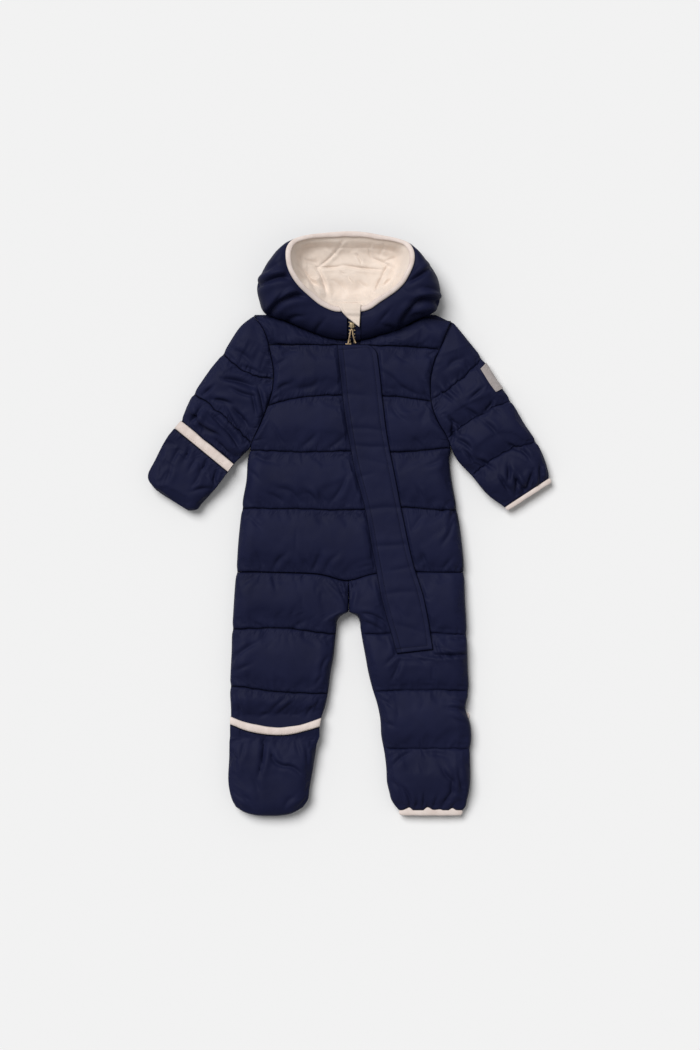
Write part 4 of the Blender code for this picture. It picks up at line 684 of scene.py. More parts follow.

# %% [markdown]
# Longer creases come from how the suit was laid down, and no rule gives them. They are listed,
# a row for each: where it starts and ends, its depth, its half width and how far its middle bows out.
# A crease is a trough with a soft ridge on one side, as cloth that slides over itself makes.

# %% Laid creases
def beside(x, y, x0, y0, x1, y1):
    """A laid line's length, and how far each place lies along it and off it."""
    span = math.hypot(x1 - x0, y1 - y0)
    ux, uy = (x1 - x0) / span, (y1 - y0) / span
    return span, (x - x0) * ux + (y - y0) * uy, (y - y0) * ux - (x - x0) * uy


def crease_relief(x, y, table):
    """Rise and fall of the laid creases at places in x and y."""
    relief = np.zeros(np.shape(x))
    for *ends, depth, half, bow in table:
        span, run, off = beside(x, y, *ends)
        inside = np.clip(run / span, 0, 1)
        off = off - bow * 4 * inside * (1 - inside)
        end = bell(run - inside * span, 1.6 * half) * (0.35 + 0.65 * np.sin(np.pi * inside) ** 0.7)
        trough = bell(off, max(0.62 * half, 0.75 * depth))
        ridge = 0.6 * bell(off - 1.7 * half, 1.2 * half) + 0.25 * bell(off + 2.0 * half, 1.3 * half)
        relief += 1.35 * depth * (ridge - trough) * end
    return relief


def unevenness(grid, creases, seed, broad, broad_size, fine, fine_size):
    """Laid creases and two sizes of hills over a grid."""
    x, y = grid[..., 0], grid[..., 1]
    slow, quick = hills(x, y, broad_size, seed), hills(x, y, fine_size, seed + 1)
    return crease_relief(x, y, creases) + broad * slow + fine * quick


across_it = crease_relief(np.arange(-8, 9, 4.0), np.full(5, 5.0), [(0, 0, 0, 10, 2, 3, 0)])
print("across a crease 2 mm deep:", np.round(across_it, 2))

# %% [markdown]
# Every dressed piece ends as one closed mesh. The collector below gathers corners and faces in
# millimetres, and its last step turns the faces outwards, smooths the shading and gives the piece its
# finish.

# %% Building a piece
SHARP_EDGE = 72.0  # two faces that meet at more than this stay crisp


class Skin:
    """Collects the corners and faces of one closed piece."""

    def __init__(self):
        self.points, self.faces, self.count = [], [], 0

    def row(self, points):
        points = np.asarray(points, float)
        self.points.append(points)
        self.count += len(points)
        return list(range(self.count - len(points), self.count))

    def rows(self, grid):
        return [self.row(points) for points in grid]

    def places(self, corners):
        """x and y of some corners."""
        return np.concatenate(self.points)[corners][:, :2]

    def below(self, corners, height):
        """A row straight below or above some corners."""
        return self.row(at_height(self.places(corners), height))

    def face(self, *corners):
        self.faces.append(corners)

    def strip(self, a, b, closed=False):
        """Four-sided faces between two rows of the same length."""
        a2, b2 = (a[1:] + a[:1], b[1:] + b[:1]) if closed else (a[1:], b[1:])
        self.faces.extend(zip(a, a2, b2, b))

    def cloth(self, rows, closed=False):
        for a, b in zip(rows, rows[1:]):
            self.strip(a, b, closed)

    def loft(self, rings):
        """Cloth over closed rings, with a face at each end."""
        rows = self.rows(rings)
        self.cloth(rows, closed=True)
        self.face(*rows[0])
        self.face(*rows[-1])
        return rows

    def finish(self, name, material, along=None, across=None):
        """The piece, with a UV map of millimetres along and across it where they are given."""
        mesh = bpy.data.meshes.new(name)
        mesh.from_pydata((np.concatenate(self.points) * MM).tolist(), [], self.faces)
        shell = bmesh.new()
        shell.from_mesh(mesh)
        bmesh.ops.recalc_face_normals(shell, faces=shell.faces)
        shell.to_mesh(mesh)
        shell.free()
        mesh.shade_smooth()
        mesh.set_sharp_from_angle(angle=math.radians(SHARP_EDGE))
        mesh.materials.append(material)
        if along is not None:
            places = np.stack(np.broadcast_arrays(along, across), -1).reshape(-1, 2).astype(np.float32)
            corners = np.empty(len(mesh.loops), np.int32)
            mesh.loops.foreach_get("vertex_index", corners)
            mesh.uv_layers.new(name="tape").data.foreach_set("uv", places[corners].ravel())
        return put(name, mesh)


def at_height(grid, height):
    """Corners at the x and y of a grid or a line."""
    return join(grid[..., 0], grid[..., 1], height)


def rim_of(rows):
    """The outline of a grid of corners, once round."""
    return [*rows[0], *(r[-1] for r in rows[1:-1]), *rows[-1][::-1], *(r[0] for r in rows[-2:0:-1])]


def lofted(name, rings, material, *uv):
    skin = Skin()
    skin.loft(rings)
    return skin.finish(name, material, *uv)


def slab(name, upper, lower, material):
    """A strip of cloth between two grids of corners."""
    skin = Skin()
    upper, lower = skin.rows(upper), skin.rows(lower)
    skin.cloth(upper)
    skin.cloth(lower)
    skin.strip(rim_of(upper), rim_of(lower), closed=True)
    return skin.finish(name, material)


print("the rim of three rows:", rim_of([[0, 1, 2], [3, 4, 5], [6, 7, 8]]))

# %% [markdown]
# The finish of a quilted piece has to know where its seams are, for there the cloth is gathered, and
# the finish paints shade along them for the shadow in the fold. Each corner stores three numbers for
# it: how far along its nearest seam it lies, how far off it, and how much it counts. The last helpers
# hand a piece to the frame and swap modifiers for a mesh.

# %% Seams for the finish, and a piece's place
def mark_sewing(piece, rows, grid, sewn, sides=()):
    """Gives a piece's finish, at each corner, the millimetres along and off its nearest seam.

    Sides are columns: which one, how much of it is sewn, and how far in from it the seam shows.
    """
    along = run_along(grid)
    off, sure = np.full(along.shape, 99.0), np.ones(along.shape)
    for row in sewn:
        off = np.minimum(off, length(grid - grid[row]))
    for column, joined, inset in sides:
        near = np.abs(length(grid - grid[:, [column]]) - inset) + 99 * (1 - joined)[:, None]
        sure = sure * ease(np.abs(near - off), 0, 6)
        along = np.where(near < off, run_along(grid.swapaxes(0, 1)).T, along)
        off = np.minimum(off, near)
    mark_line(piece, along, off, 0.02 + 0.98 * sure, rows)


def mark_line(piece, along, off, gathers, rows=None):
    """Stores the two distances and how much the cloth is gathered, which also turns on painted seam shade."""
    rows = np.arange(off.size) if rows is None else np.array(rows).ravel()
    values = np.zeros((len(piece.data.vertices), 3), np.float32)
    values[rows] = np.stack([along.ravel(), off.ravel(), np.broadcast_to(gathers, off.shape).ravel()], -1)
    piece.data.attributes.new("sewing", "FLOAT_VECTOR", "POINT").data.foreach_set("vector", values.ravel())


def stand_for(piece, slot, *nodes):
    """Puts a piece in the place of the CAD nodes that it dresses."""
    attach(piece, "root")
    if nodes:
        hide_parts(*nodes)
    print(piece.name, "faces", len(piece.data.polygons))
    return piece


def stand_padded(fill, *pairs):
    """Puts pieces of the padded shell in the places of their nodes."""
    for piece, node in pairs:
        stand_for(piece, "shell", node)


def settle(piece):
    """Swaps a piece's modifiers for a plain mesh of their result."""
    piece.update_tag()
    whole = bpy.data.meshes.new_from_object(piece.evaluated_get(bpy.context.evaluated_depsgraph_get()))
    piece.modifiers.clear()
    piece.data = whole


def carve(piece, other, operation="DIFFERENCE"):
    """Takes another solid away from a piece, or joins it on with UNION."""
    material = piece.data.materials[0]
    step = piece.modifiers.new("carve", "BOOLEAN")
    step.object, step.operation, step.solver = other, operation, "EXACT"
    settle(piece)
    piece.data.materials.clear()
    piece.data.materials.append(material)
    bpy.data.objects.remove(other, do_unlink=True)


# %% [markdown]
# Padding under tight cloth is what Blender's cloth solver is good at. Every second row and column of a
# panel becomes a coarse cloth, sewn down along its quilt lines and edges, a few per cent larger than
# its place and blown up by a small pressure. It buckles into the folds that filled cloth makes. How
# far a point may move is capped, and only the movement is kept, laid over the fine grid.

# %% Filling the channels
SOLVER_FRAMES = 14
PRESSURE = 1.6
SPARE_CLOTH = 0.02
MOST_MOVE = 1.0


def filled(grid, sewn, held, spare=SPARE_CLOTH):
    """The grid after the cloth solver has filled it; sewn rows and held corners stay."""
    coarse = grid[::2, ::2]
    rows, columns = coarse.shape[:2]
    fixed = held[::2, ::2].copy()
    fixed[[0, -1]] = True
    fixed[:, [0, -1]] = True
    fixed[[row // 2 for row in sewn]] = True
    corner = np.arange(rows * columns).reshape(rows, columns)
    quads = np.stack([corner[:-1, :-1], corner[:-1, 1:], corner[1:, 1:], corner[1:, :-1]], -1).reshape(-1, 4)
    if np.cross(coarse[0, 1] - coarse[0, 0], coarse[1, 0] - coarse[0, 0])[2] < 0:
        quads = quads[:, ::-1]
    mesh = bpy.data.meshes.new("filling")
    mesh.from_pydata((coarse.reshape(-1, 3) * MM).tolist(), [], quads.tolist())
    cloth = put("filling", mesh)
    group = cloth.vertex_groups.new(name="sewn")
    group.add([int(i) for i in np.flatnonzero(fixed.ravel())], 1.0, "REPLACE")
    modifier = cloth.modifiers.new("cloth", "CLOTH")
    settings = modifier.settings
    settings.vertex_group_mass = "sewn"
    settings.effector_weights.gravity = 0
    settings.use_pressure = True
    settings.uniform_pressure_force = PRESSURE
    settings.shrink_min = -spare
    settings.quality = 4
    modifier.point_cache.frame_start = 1
    modifier.point_cache.frame_end = SOLVER_FRAMES
    for frame_number in range(1, SOLVER_FRAMES + 1):
        bpy.context.scene.frame_set(frame_number)
    settled = np.empty(rows * columns * 3, np.float32)
    cloth.evaluated_get(bpy.context.evaluated_depsgraph_get()).data.vertices.foreach_get("co", settled)
    bpy.data.objects.remove(cloth, do_unlink=True)
    bpy.context.scene.frame_set(1)
    move = settled.reshape(rows, columns, 3) / MM - coarse
    size = np.maximum(length(move), 1e-9)[..., None]
    print("cloth", rows, "x", columns, "moved", round(float(size.max()), 2), "mm at most")
    return grid + spread(move * MOST_MOVE * np.tanh(size / MOST_MOVE) / size, grid.shape)


def spread(coarse, shape):
    """Values on every second row and column laid over all of them."""
    rows, columns = shape[:2]
    wide = np.empty((coarse.shape[0], columns, 3))
    wide[:, ::2] = coarse
    wide[:, 1::2] = (coarse[:, :-1] + coarse[:, 1:]) / 2
    full = np.empty((rows, columns, 3))
    full[::2] = wide
    full[1::2] = (wide[:-1] + wide[1:]) / 2
    return full

# %% [markdown]
# Shader effects that several finishes share are node groups. The first is the fine crumple of thin
# cloth: two noises, one for the slack between folds and one for the crisp little dents in it. The
# second is a plain weave, threads over and under, drawn by two rows of waves. The third is mottle: a
# slow change that keeps a dyed cloth from looking like paint.

# %% Shared effects as node groups
def add_node(tree, kind, inputs=None, result=None, **settings):
    """Adds a node, sets or links its inputs by name or number, and gives one of its outputs."""
    made = tree.nodes.new(kind)
    for label, value in settings.items():
        setattr(made, label, value)
    for key, value in (inputs or {}).items():
        socket = made.inputs[key] if isinstance(key, int) else next(
            s for s in made.inputs if s.enabled and s.name == key)
        if isinstance(value, bpy.types.NodeSocket):
            tree.links.new(value, socket)
        else:
            socket.default_value = value
    return next(s for s in made.outputs if s.enabled and result in (None, s.name))


def arithmetic(tree, operation, first, second=0.0):
    return add_node(tree, "ShaderNodeMath", {0: first, 1: second}, operation=operation)


def noise_in(tree, vector, scale, detail, roughness=0.5, distortion=0.0):
    inputs = {
        "Detail": detail, "Roughness": roughness, "Distortion": distortion, "Vector": vector, "Scale": scale,
    }
    return add_node(tree, "ShaderNodeTexNoise", inputs)


def parts_of(tree, vector):
    """x, y and z of a vector."""
    return add_node(tree, "ShaderNodeSeparateXYZ", {0: vector}).node.outputs


def reach_of(tree, value, near, far):
    """1 up to near, 0 from far on, smooth between."""
    ends = {"From Min": near, "From Max": far, "To Min": 1.0, "To Max": 0.0, "Value": value}
    return add_node(tree, "ShaderNodeMapRange", ends, interpolation_type="SMOOTHSTEP")


def effect(name, build, **inputs):
    """A shader node group with a vector and some numbers in and one height or mask out."""
    tree = bpy.data.node_groups.new(name, "ShaderNodeTree")
    tree.interface.new_socket("Vector", in_out="INPUT", socket_type="NodeSocketVector")
    for label, value in inputs.items():
        label = label.replace("_", " ")
        tree.interface.new_socket(label, in_out="INPUT", socket_type="NodeSocketFloat").default_value = value
    tree.interface.new_socket("Value", in_out="OUTPUT", socket_type="NodeSocketFloat")
    given, result = tree.nodes.new("NodeGroupInput"), tree.nodes.new("NodeGroupOutput")
    tree.links.new(build(tree, *list(given.outputs)[:-1]), result.inputs["Value"])
    return tree


def crumple(tree, place, scale, share):
    folds = noise_in(tree, place, scale, 3.0, 0.5, 0.6)
    dents = noise_in(tree, place, arithmetic(tree, "MULTIPLY", scale, 4.5), 2.0, 0.5, 1.2)
    return arithmetic(tree, "ADD", folds, arithmetic(tree, "MULTIPLY", dents, share))


def weave(tree, place, threads):
    turned = arithmetic(tree, "MULTIPLY", threads, math.pi)
    x, y, _ = parts_of(tree, place)
    waves = [arithmetic(tree, "SINE", arithmetic(tree, "MULTIPLY", axis, turned)) for axis in (x, y)]
    return arithmetic(tree, "MULTIPLY", *waves)


def mottle(tree, place, patches):
    return noise_in(tree, place, patches, 4.0, 0.6)


def gathers(tree, seam, folds):
    """Short wrinkles off a seam. The vector holds millimetres along it, off it, and 1 where it counts."""
    along, off, here = parts_of(tree, seam)
    stretched = {0: arithmetic(tree, "MULTIPLY", along, folds), 1: arithmetic(tree, "MULTIPLY", off, 0.05)}
    wrinkles = noise_in(tree, add_node(tree, "ShaderNodeCombineXYZ", stretched), 1.0, 2.0, 0.5, 0.9)
    near = arithmetic(tree, "MULTIPLY", reach_of(tree, off, 1.0, 15.0), here)
    return arithmetic(tree, "MULTIPLY", wrinkles, near)


def painted_seam_shade(tree, seam):
    """A mask for painted shade: 1 on a seam and 0 beside it, from the same vector."""
    _, off, here = parts_of(tree, seam)
    counts = arithmetic(tree, "GREATER_THAN", here, 0.01)
    return arithmetic(tree, "MULTIPLY", reach_of(tree, off, 0.25, 1.7), counts)


CRUMPLE = effect("crumple", crumple, Folds_per_metre=70.0, Dents=0.35)
WEAVE = effect("plain weave", weave, Threads_per_metre=2600.0)
MOTTLE = effect("mottle", mottle, Patches_per_metre=14.0)
GATHERS = effect("gathers", gathers, Folds_per_millimetre=0.14)
SEAM_SHADE = effect("painted seam shade", painted_seam_shade)
print("effects", [g.name for g in bpy.data.node_groups])

# %% [markdown]
# Each finish below is one Principled shader. Numbers that are the same all over are set on the shader,
# and the groups only drive what changes from place to place: colour, roughness and relief. The bumps
# are chained, coarse first, so each keeps its own real height in metres.

# %% How a finish is put together
def place_of(material, kind="Object"):
    """Texture coordinates, from one node that all of a finish's effects share."""
    nodes = material.node_tree.nodes
    return (nodes.get("Texture Coordinate") or nodes.new("ShaderNodeTexCoord")).outputs[kind]


def use_effect(material, group, *numbers, vector=None):
    """One of the shared effects with its numbers set, over the object's own place."""
    inputs = {0: place_of(material) if vector is None else vector, **dict(enumerate(numbers, 1))}
    return add_node(material.node_tree, "ShaderNodeGroup", inputs, node_tree=group)


def add_relief(material, height, depth, strength):
    """Chains one more bump, depth in millimetres, in front of the shader's normal."""
    normal = material.node_tree.nodes["Principled BSDF"].inputs["Normal"]
    inputs = {"Distance": depth * MM, "Strength": strength, "Height": height}
    if normal.is_linked:
        inputs["Normal"] = normal.links[0].from_socket
    material.node_tree.links.new(add_node(material.node_tree, "ShaderNodeBump", inputs), normal)


def vary_colour(material, mask, dark, light, low=0.3, high=0.7):
    """Runs the base colour from dark to light over a mask."""
    tree = material.node_tree
    shade = add_node(tree, "ShaderNodeValToRGB", {"Fac": mask})
    for stop, position, colour in zip(shade.node.color_ramp.elements, (low, high), (dark, light)):
        stop.position, stop.color = position, (*colour, 1)
    tree.links.new(shade, tree.nodes["Principled BSDF"].inputs["Base Color"])


def paint_shade(material, mask, share):
    """Paints shade: takes the base colour down to a share of itself where the mask is 1."""
    tree = material.node_tree
    colour = tree.nodes["Principled BSDF"].inputs["Base Color"]
    inputs = {0: mask, 6: colour.links[0].from_socket, 7: (share, share, share, 1)}
    tree.links.new(add_node(tree, "ShaderNodeMix", inputs, data_type="RGBA", blend_type="MULTIPLY"), colour)


def shades(colour, *shares):
    return [[c * share for c in colour] for share in shares]


def woven(name, colour, roughness, patches, tones, reliefs=(), rough=None, **constants):
    """A finish that drifts between two tones. A relief is an effect, its numbers, a depth, a strength."""
    material = new_finish(name, colour, roughness, **constants)
    mask = use_effect(material, MOTTLE, patches)
    vary_colour(material, mask, *tones)
    if rough:
        spread_out = {"To Min": rough[0], "To Max": rough[1], "Value": mask}
        shader = material.node_tree.nodes["Principled BSDF"]
        material.node_tree.links.new(
            add_node(material.node_tree, "ShaderNodeMapRange", spread_out), shader.inputs["Roughness"])
    for group, numbers, depth, strength in reliefs:
        add_relief(material, use_effect(material, group, *numbers), depth, strength)
    return material


print("darker and lighter grey:", shades((0.5, 0.5, 0.5), 0.8, 1.2))

# %% [markdown]
# The shell is a tightly woven navy nylon with a soft sheen. Its threads are far finer than a pixel, so
# what shows is the crumple of thin cloth over padding and a broad, low highlight, kept faint by a low
# specular level.

# %% Navy nylon shell
NAVY = (0.0094, 0.0110, 0.0345)


def make_nylon():
    crumples = ((CRUMPLE, (60.0, 0.2), 0.35, 0.5),)
    nylon = woven("navy nylon", NAVY, 0.6, 22.0, shades(NAVY, 0.9, 1.1), crumples, (0.50, 0.64),
                  Specular_IOR_Level=0.06)
    seam = add_node(nylon.node_tree, "ShaderNodeAttribute", result="Vector", attribute_name="sewing")
    add_relief(nylon, use_effect(nylon, GATHERS, 0.14, vector=seam), 3.4, 0.8)
    # painted shade: the navy falls to 0.3 of itself along every seam, for the shadow of the fold there
    paint_shade(nylon, use_effect(nylon, SEAM_SHADE, vector=seam), 0.3)
    add_relief(nylon, use_effect(nylon, WEAVE, 2400.0), 0.03, 0.5)
    return nylon


NYLON = make_nylon()
print(NYLON.name, "nodes", len(NYLON.node_tree.nodes))

# %% [markdown]
# The hood is lined with cream fleece: short raised fibres with no shine at all. A faint glow in its
# own colour is painted light that brightens its shaded folds. A fine noise gives the pile and a slower
# one the places where it has been stroked flat.

# %% Cream fleece
CREAM = (0.735, 0.63, 0.548)
CREAM_TONES = ((0.695, 0.59, 0.508), (0.77, 0.668, 0.588))
FLEECE = woven(
    "cream fleece", CREAM, 0.95, 60.0, CREAM_TONES,
    ((CRUMPLE, (120.0, 0.5), 0.5, 0.5), (CRUMPLE, (900.0, 0.6), 0.35, 0.9)),
    # painted light: a faint emission in the fleece's own colour fills its shadows
    Sheen_Weight=0.35, Sheen_Roughness=0.6, Emission_Strength=0.05, Emission_Color=(*CREAM, 1),
)
print(FLEECE.name, "nodes", len(FLEECE.node_tree.nodes))

# %% [markdown]
# A stretch binding is a narrow knit folded over a raw edge. Its ribs run across the tape, so the
# pattern has to follow the tape round every bend: it reads a UV map whose first number counts
# millimetres along the tape and whose second counts them across it.

# %% Pale rib binding
BINDING = (0.74, 0.635, 0.585)
BINDING_TONES = ((0.69, 0.58, 0.53), (0.79, 0.69, 0.64))
RIB_PITCH = 1.1


def make_binding():
    binding = woven(
        "pale rib binding", BINDING, 0.85, 90.0, BINDING_TONES, Sheen_Weight=0.2, Sheen_Roughness=0.5)
    tree = binding.node_tree
    along = parts_of(tree, place_of(binding, "UV"))["X"]
    turned = arithmetic(tree, "MULTIPLY", along, 2 * math.pi / RIB_PITCH)
    add_relief(binding, arithmetic(tree, "SINE", turned), 0.12, 0.7)
    add_relief(binding, use_effect(binding, CRUMPLE, 500.0, 0.5), 0.2, 0.5)
    return binding


RIBBING = make_binding()
print(RIBBING.name, "nodes", len(RIBBING.node_tree.nodes))

# %% [markdown]
# The small things have finishes of their own. Thread is matt and uneven, a woven label shows its coarse
# threads, worn metal is paler and smoother where it rubs, and the cord is a braid: two sets of strands
# that wind round it both ways, read from its UV map.

# %% Small finishes: thread, label, zip and cord
LABEL_GREY = (0.375, 0.335, 0.325)
GOLD, TAN, THREAD_PALE = (0.46, 0.36, 0.22), (0.63, 0.47, 0.29), (0.70, 0.60, 0.54)
STRAND_PITCH, STRANDS = 1.2, 3


def make_thread(name, colour):
    fuzz = ((CRUMPLE, (2500.0, 0.3), 0.05, 0.6),)
    return woven(name, colour, 0.8, 400.0, shades(colour, 0.8, 1.2), fuzz, Specular_IOR_Level=0.1)


def make_cord_cover():
    cord = new_finish("tan braided cord", TAN, 0.75, Sheen_Weight=0.15)
    tree = cord.node_tree
    x, y, _ = parts_of(tree, place_of(cord, "UV"))
    along = arithmetic(tree, "MULTIPLY", x, 2 * math.pi / STRAND_PITCH)
    around = arithmetic(tree, "MULTIPLY", y, 2 * math.pi * STRANDS)
    strands = [arithmetic(tree, "SINE", arithmetic(tree, way, along, around)) for way in ("ADD", "SUBTRACT")]
    braid = arithmetic(tree, "MAXIMUM", *strands)
    # painted shade and light: the colour follows the strands' relief, darker in the grooves, lighter on the
    # tops
    vary_colour(cord, braid, (0.45, 0.28, 0.14), (0.80, 0.60, 0.36), 0.0, 0.9)
    add_relief(cord, braid, 0.15, 0.9)
    return cord


NAVY_THREAD = make_thread("navy thread", [c * 0.8 for c in NAVY])
GREY_THREAD = make_thread("grey thread", [c * 0.92 for c in LABEL_GREY])
PALE_THREAD = make_thread("pale thread", THREAD_PALE)
LABEL_CLOTH = woven(
    "grey woven label", LABEL_GREY, 0.8, 150.0, ((0.335, 0.295, 0.285), (0.415, 0.375, 0.365)),
    ((WEAVE, (1500.0,), 0.1, 0.8),), Sheen_Weight=0.1,
)
METAL = woven(
    "worn gold metal", GOLD, 0.45, 350.0, ((0.30, 0.23, 0.13), (0.62, 0.50, 0.32)),
    ((CRUMPLE, (1500.0, 0.3), 0.03, 0.5),), (0.35, 0.6), Metallic=0.6,
)
TAPE_CLOTH = woven(
    "navy zip tape", NAVY, 0.7, 200.0, shades(NAVY, 0.8, 1.3), ((WEAVE, (1100.0,), 0.12, 0.8),),
    Specular_IOR_Level=0.1,
)
CORD_COVER = make_cord_cover()
print("finishes", len(bpy.data.materials))

# %% [markdown]
# The slider's puller is the one free cord: a short loop knotted through the slider, whose two ends
# hang down to the placket. A cord is settled first, for everything else has to leave room for it. It
# is swept as a tube of rings round its route, so its UV map can carry the braid.

# %% The puller's cord
PULLER_RADIUS, PULLER_FINE = 0.8, 150
PULLER_ROUTE = (  # x, y, height: the same points as in the CAD model
    (-1.88, 235, 21.6), (-1.07, 238.03, 22.83), (-0.53, 240.27, 25.11), (-0.18, 242, 28.09),
    (0.27, 244.21, 30.56), (0.78, 246.79, 32.65), (1.18, 249.58, 34.58), (2.71, 251.79, 36.19),
    (3.98, 249.34, 34.43), (4.26, 246.56, 32.48), (4.78, 244, 30.36), (5.34, 241.85, 27.86),
    (5.92, 240.12, 24.92), (6.84, 237.9, 22.75), (8.12, 235, 21.6),
)


def tube(name, line, radii, material, turns=12):
    """A closed tube round a line of points, with a UV map of millimetres along and share around."""
    ahead = unit(np.gradient(line, axis=0))
    side = unit(np.cross(ahead, (0.0, 0.0, 1.0)))
    up = np.cross(side, ahead)
    turn = np.linspace(0, 2 * np.pi, turns, endpoint=False)[:, None]
    rings = line[:, None] + radii[:, None, None] * (np.cos(turn) * side[:, None] + np.sin(turn) * up[:, None])
    return lofted(name, rings, material, run_along(line)[:, None], np.arange(turns) / turns)


def make_puller():
    route = np.array(PULLER_ROUTE)
    fine = faired(run_along(route), route, PULLER_FINE)
    radii = np.full(PULLER_FINE, PULLER_RADIUS)
    radii[[0, -1]] *= 0.6
    cord = stand_for(tube("zip_puller_cord", fine, radii, CORD_COVER), "cord", "zip_puller")
    run = float(run_along(fine)[-1])
    print("puller's cord", round(run, 1), "mm")


make_puller()

# %% [markdown]
# The front panels come first, since everything else lies on or beside them. A panel's top is its grid
# at the padding's height, filled by the solver, then puckered, creased and made a little uneven. Its
# edges stay where they are sewn. Below the placket the quilting is pressed flat and stays plain.

# %% Creases on the body and the legs
BODY_CREASES = (  # start x, y; end x, y; depth; half width; bow
    (43, 198, 66, 179, 1.3, 4.5, 1), (64, 180, 89, 168, 1.2, 4, -1), (-8, 113, -28, 97, 1.1, 3.2, 1),
    (-5, 60, -22, 31, 1.8, 4.2, 2), (10, 42, 7, 27, 1.2, 3, 0), (4, 16, 20, -4, 1.9, 3.4, 2),
    (27, -45, 13, -66, 1.7, 3, 1), (121, -24, 135, 4, 1.5, 3.6, -2), (88, 48, 94, 35, 1.2, 3, 0),
    (128, -4, 137, 20, 1, 3, 1), (55, 153, 72, 135, 1.2, 4, -2), (-94, 233, -70, 226, 1.4, 4, 0),
    (-88, 219, -72, 226, 1, 3.5, 1), (-98, 205, -82, 214, 1.2, 3.5, 0), (-96, 171, -78, 182, 1.5, 4, 2),
    (-70, 176, -40, 184, 1.3, 6, -3), (-106, 40, -88, 30, 1.3, 4, 1), (-92, 47, -66, 31, 1.4, 5, 4),
    (-58, 42, -44, 29, 1.5, 4.5, 2), (-40, 44, -30, 28, 1.2, 4, -1), (-120, -36, -112, -54, 1.1, 3.5, 0),
    (-84, -40, -98, -58, 1.4, 4, -2), (-62, -44, -54, -60, 1.4, 4, 1), (-38, -38, -48, -60, 1.5, 4.5, 1),
    (-16, -40, -30, -58, 1.2, 4, -2), (-128, 8, -116, -4, 1.2, 3.5, 0), (-130, 70, -118, 58, 1.1, 3.6, 1),
    (-124, 92, -104, 82, 1.3, 4, -2), (118, 84, 100, 76, 1.2, 4, 1), (126, 26, 112, 8, 1.1, 4, 1),
    (96, 12, 84, -4, 1, 3.5, -1), (132, -44, 122, -58, 1.1, 3.2, 0), (92, -36, 100, -56, 1.3, 4, 1),
    (-44, 116, -62, 100, 1.1, 4, 1), (-96, 122, -84, 103, 1.2, 4, -1), (84, 110, 96, 96, 1.1, 3.6, 1),
    (98, 222, 112, 210, 1.2, 4, 1), (60, 222, 74, 212, 1, 4, -1), (92, 186, 100, 168, 1.3, 4, 2),
)
LEG_CREASES = (
    (-21, -72, -9, -92, 1.7, 2.8, 1), (-14, -72, -6, -100, 1.9, 2.4, 0), (-27, -74, -14, -88, 1.2, 2.8, 1),
    (-5, -74, -3.5, -108, 1.8, 2.2, 0), (4, -72, 1.6, -108, 1.8, 2.2, 0), (11, -72, 5, -98, 1.4, 2.6, -1),
    (14, -116, 38, -122, 1.7, 3.2, 2), (36, -121, 51, -136, 1.7, 3.2, 2), (20, -126, 44, -140, 1.1, 3.4, 1),
    (-152, -176, -120, -153, 1.8, 4.2, 2), (-148, -190, -130, -182, 1.1, 3.6, 0),
    (-101, -242, -81, -224, 1.1, 3.2, 1), (-92, -246, -76, -232, 0.9, 3, 0),
    (-140, -80, -122, -66, 1.2, 3.5, 1), (-96, -82, -100, -66, 1.1, 3, 0),
    (-148, -226, -142, -252, 1.6, 3.4, 2), (-140, -224, -134, -246, 1.2, 3.2, -1),
    (-44, -240, -38, -224, 1.4, 3.4, 0), (-56, -250, -46, -236, 1.4, 3.4, 1),
    (-118, -252, -104, -246, 1.5, 3.2, 1), (-36, -190, -30, -174, 1.3, 3.4, 1),
    (-44, -208, -36, -196, 1.1, 3, 0), (-124, -128, -110, -138, 1.3, 4, 1),
    (-60, -126, -74, -138, 1.2, 4, -1), (66, -176, 55, -200, 1.4, 3.6, 1), (60, -170, 48, -180, 1.1, 3, 0),
    (111, -150, 124, -176, 2.2, 3.6, -2), (106, -170, 156, -169, 3, 2.6, 0),
    (118, -160, 138, -176, 1.4, 3, 1), (128, -146, 150, -150, 1.2, 3, 0), (80, -170, 98, -180, 1, 4, 1),
    (128, -238, 153, -244, 2, 3.6, 2), (132, -228, 150, -234, 1.2, 3, 1), (136, -252, 150, -258, 1.1, 3, 0),
    (42, -228, 54, -236, 1.3, 3.6, 1), (44, -256, 58, -262, 1, 3.6, 0), (56, -314, 77, -297, 1.9, 4, 2),
    (50, -304, 64, -296, 1.2, 3, 0), (120, -316, 135, -334, 2, 3.8, -2),
    (135, -330, 133, -350, 2.2, 3.8, -1), (134, -347, 123, -364, 2, 3.6, -1),
    (66, -338, 80, -366, 1.9, 3.6, 3), (58, -334, 70, -360, 1.3, 3, 2), (96, -368, 97, -350, 1.2, 3, 0),
    (110, -370, 114, -354, 1.4, 3, 1), (84, -371, 88, -357, 1.3, 3, -1),
    (142, -318, 147, -346, 1.6, 3.4, -1), (100, -298, 128, -302, 1.1, 5, 2),
)
print("creases on body and legs", len(BODY_CREASES) + len(LEG_CREASES))

# %% [markdown]
# The quilt lines are never quite straight, and relief grows only between the sewing and fades to
# nothing at every edge, where the next piece is sewn on. At the left side the seam itself is rolled to
# the front, and the gathers of the open left hem bulge up over its binding.

# %% The quilted front layer
SIDE_SEAM_ROLL = 4.6
HEM_BULGE = 4.5
QUILT_ROWS = []  # the sewn rows of every panel, which the stitches follow later


def sewn_in(grid, reach=3.5):
    """0 on the outline of a grid, 1 once inside it."""
    edges = (grid[:, :1], grid[:, -1:], grid[:1], grid[-1:])
    return ease(np.min([length((grid - edge)[..., :2]) for edge in edges], axis=0), 0, reach)


def relief_on(grid, sewn, seed, creases, strength, sides):
    """Puckers, laid creases and slow unevenness over one quilted grid, and its sunk rows of thread."""
    relief = unevenness(grid, creases, seed, 0.7, 34, 0.28, 11)
    for row in sewn:
        relief -= puckers(grid, row, seed + row, strength)
    for column, joined, inset in sides:
        if not inset:
            relief -= side_puckers(grid, column, seed + 3, strength, 6.5) * joined[:, None]
    relief[sewn] -= SEWN_SINK
    return relief


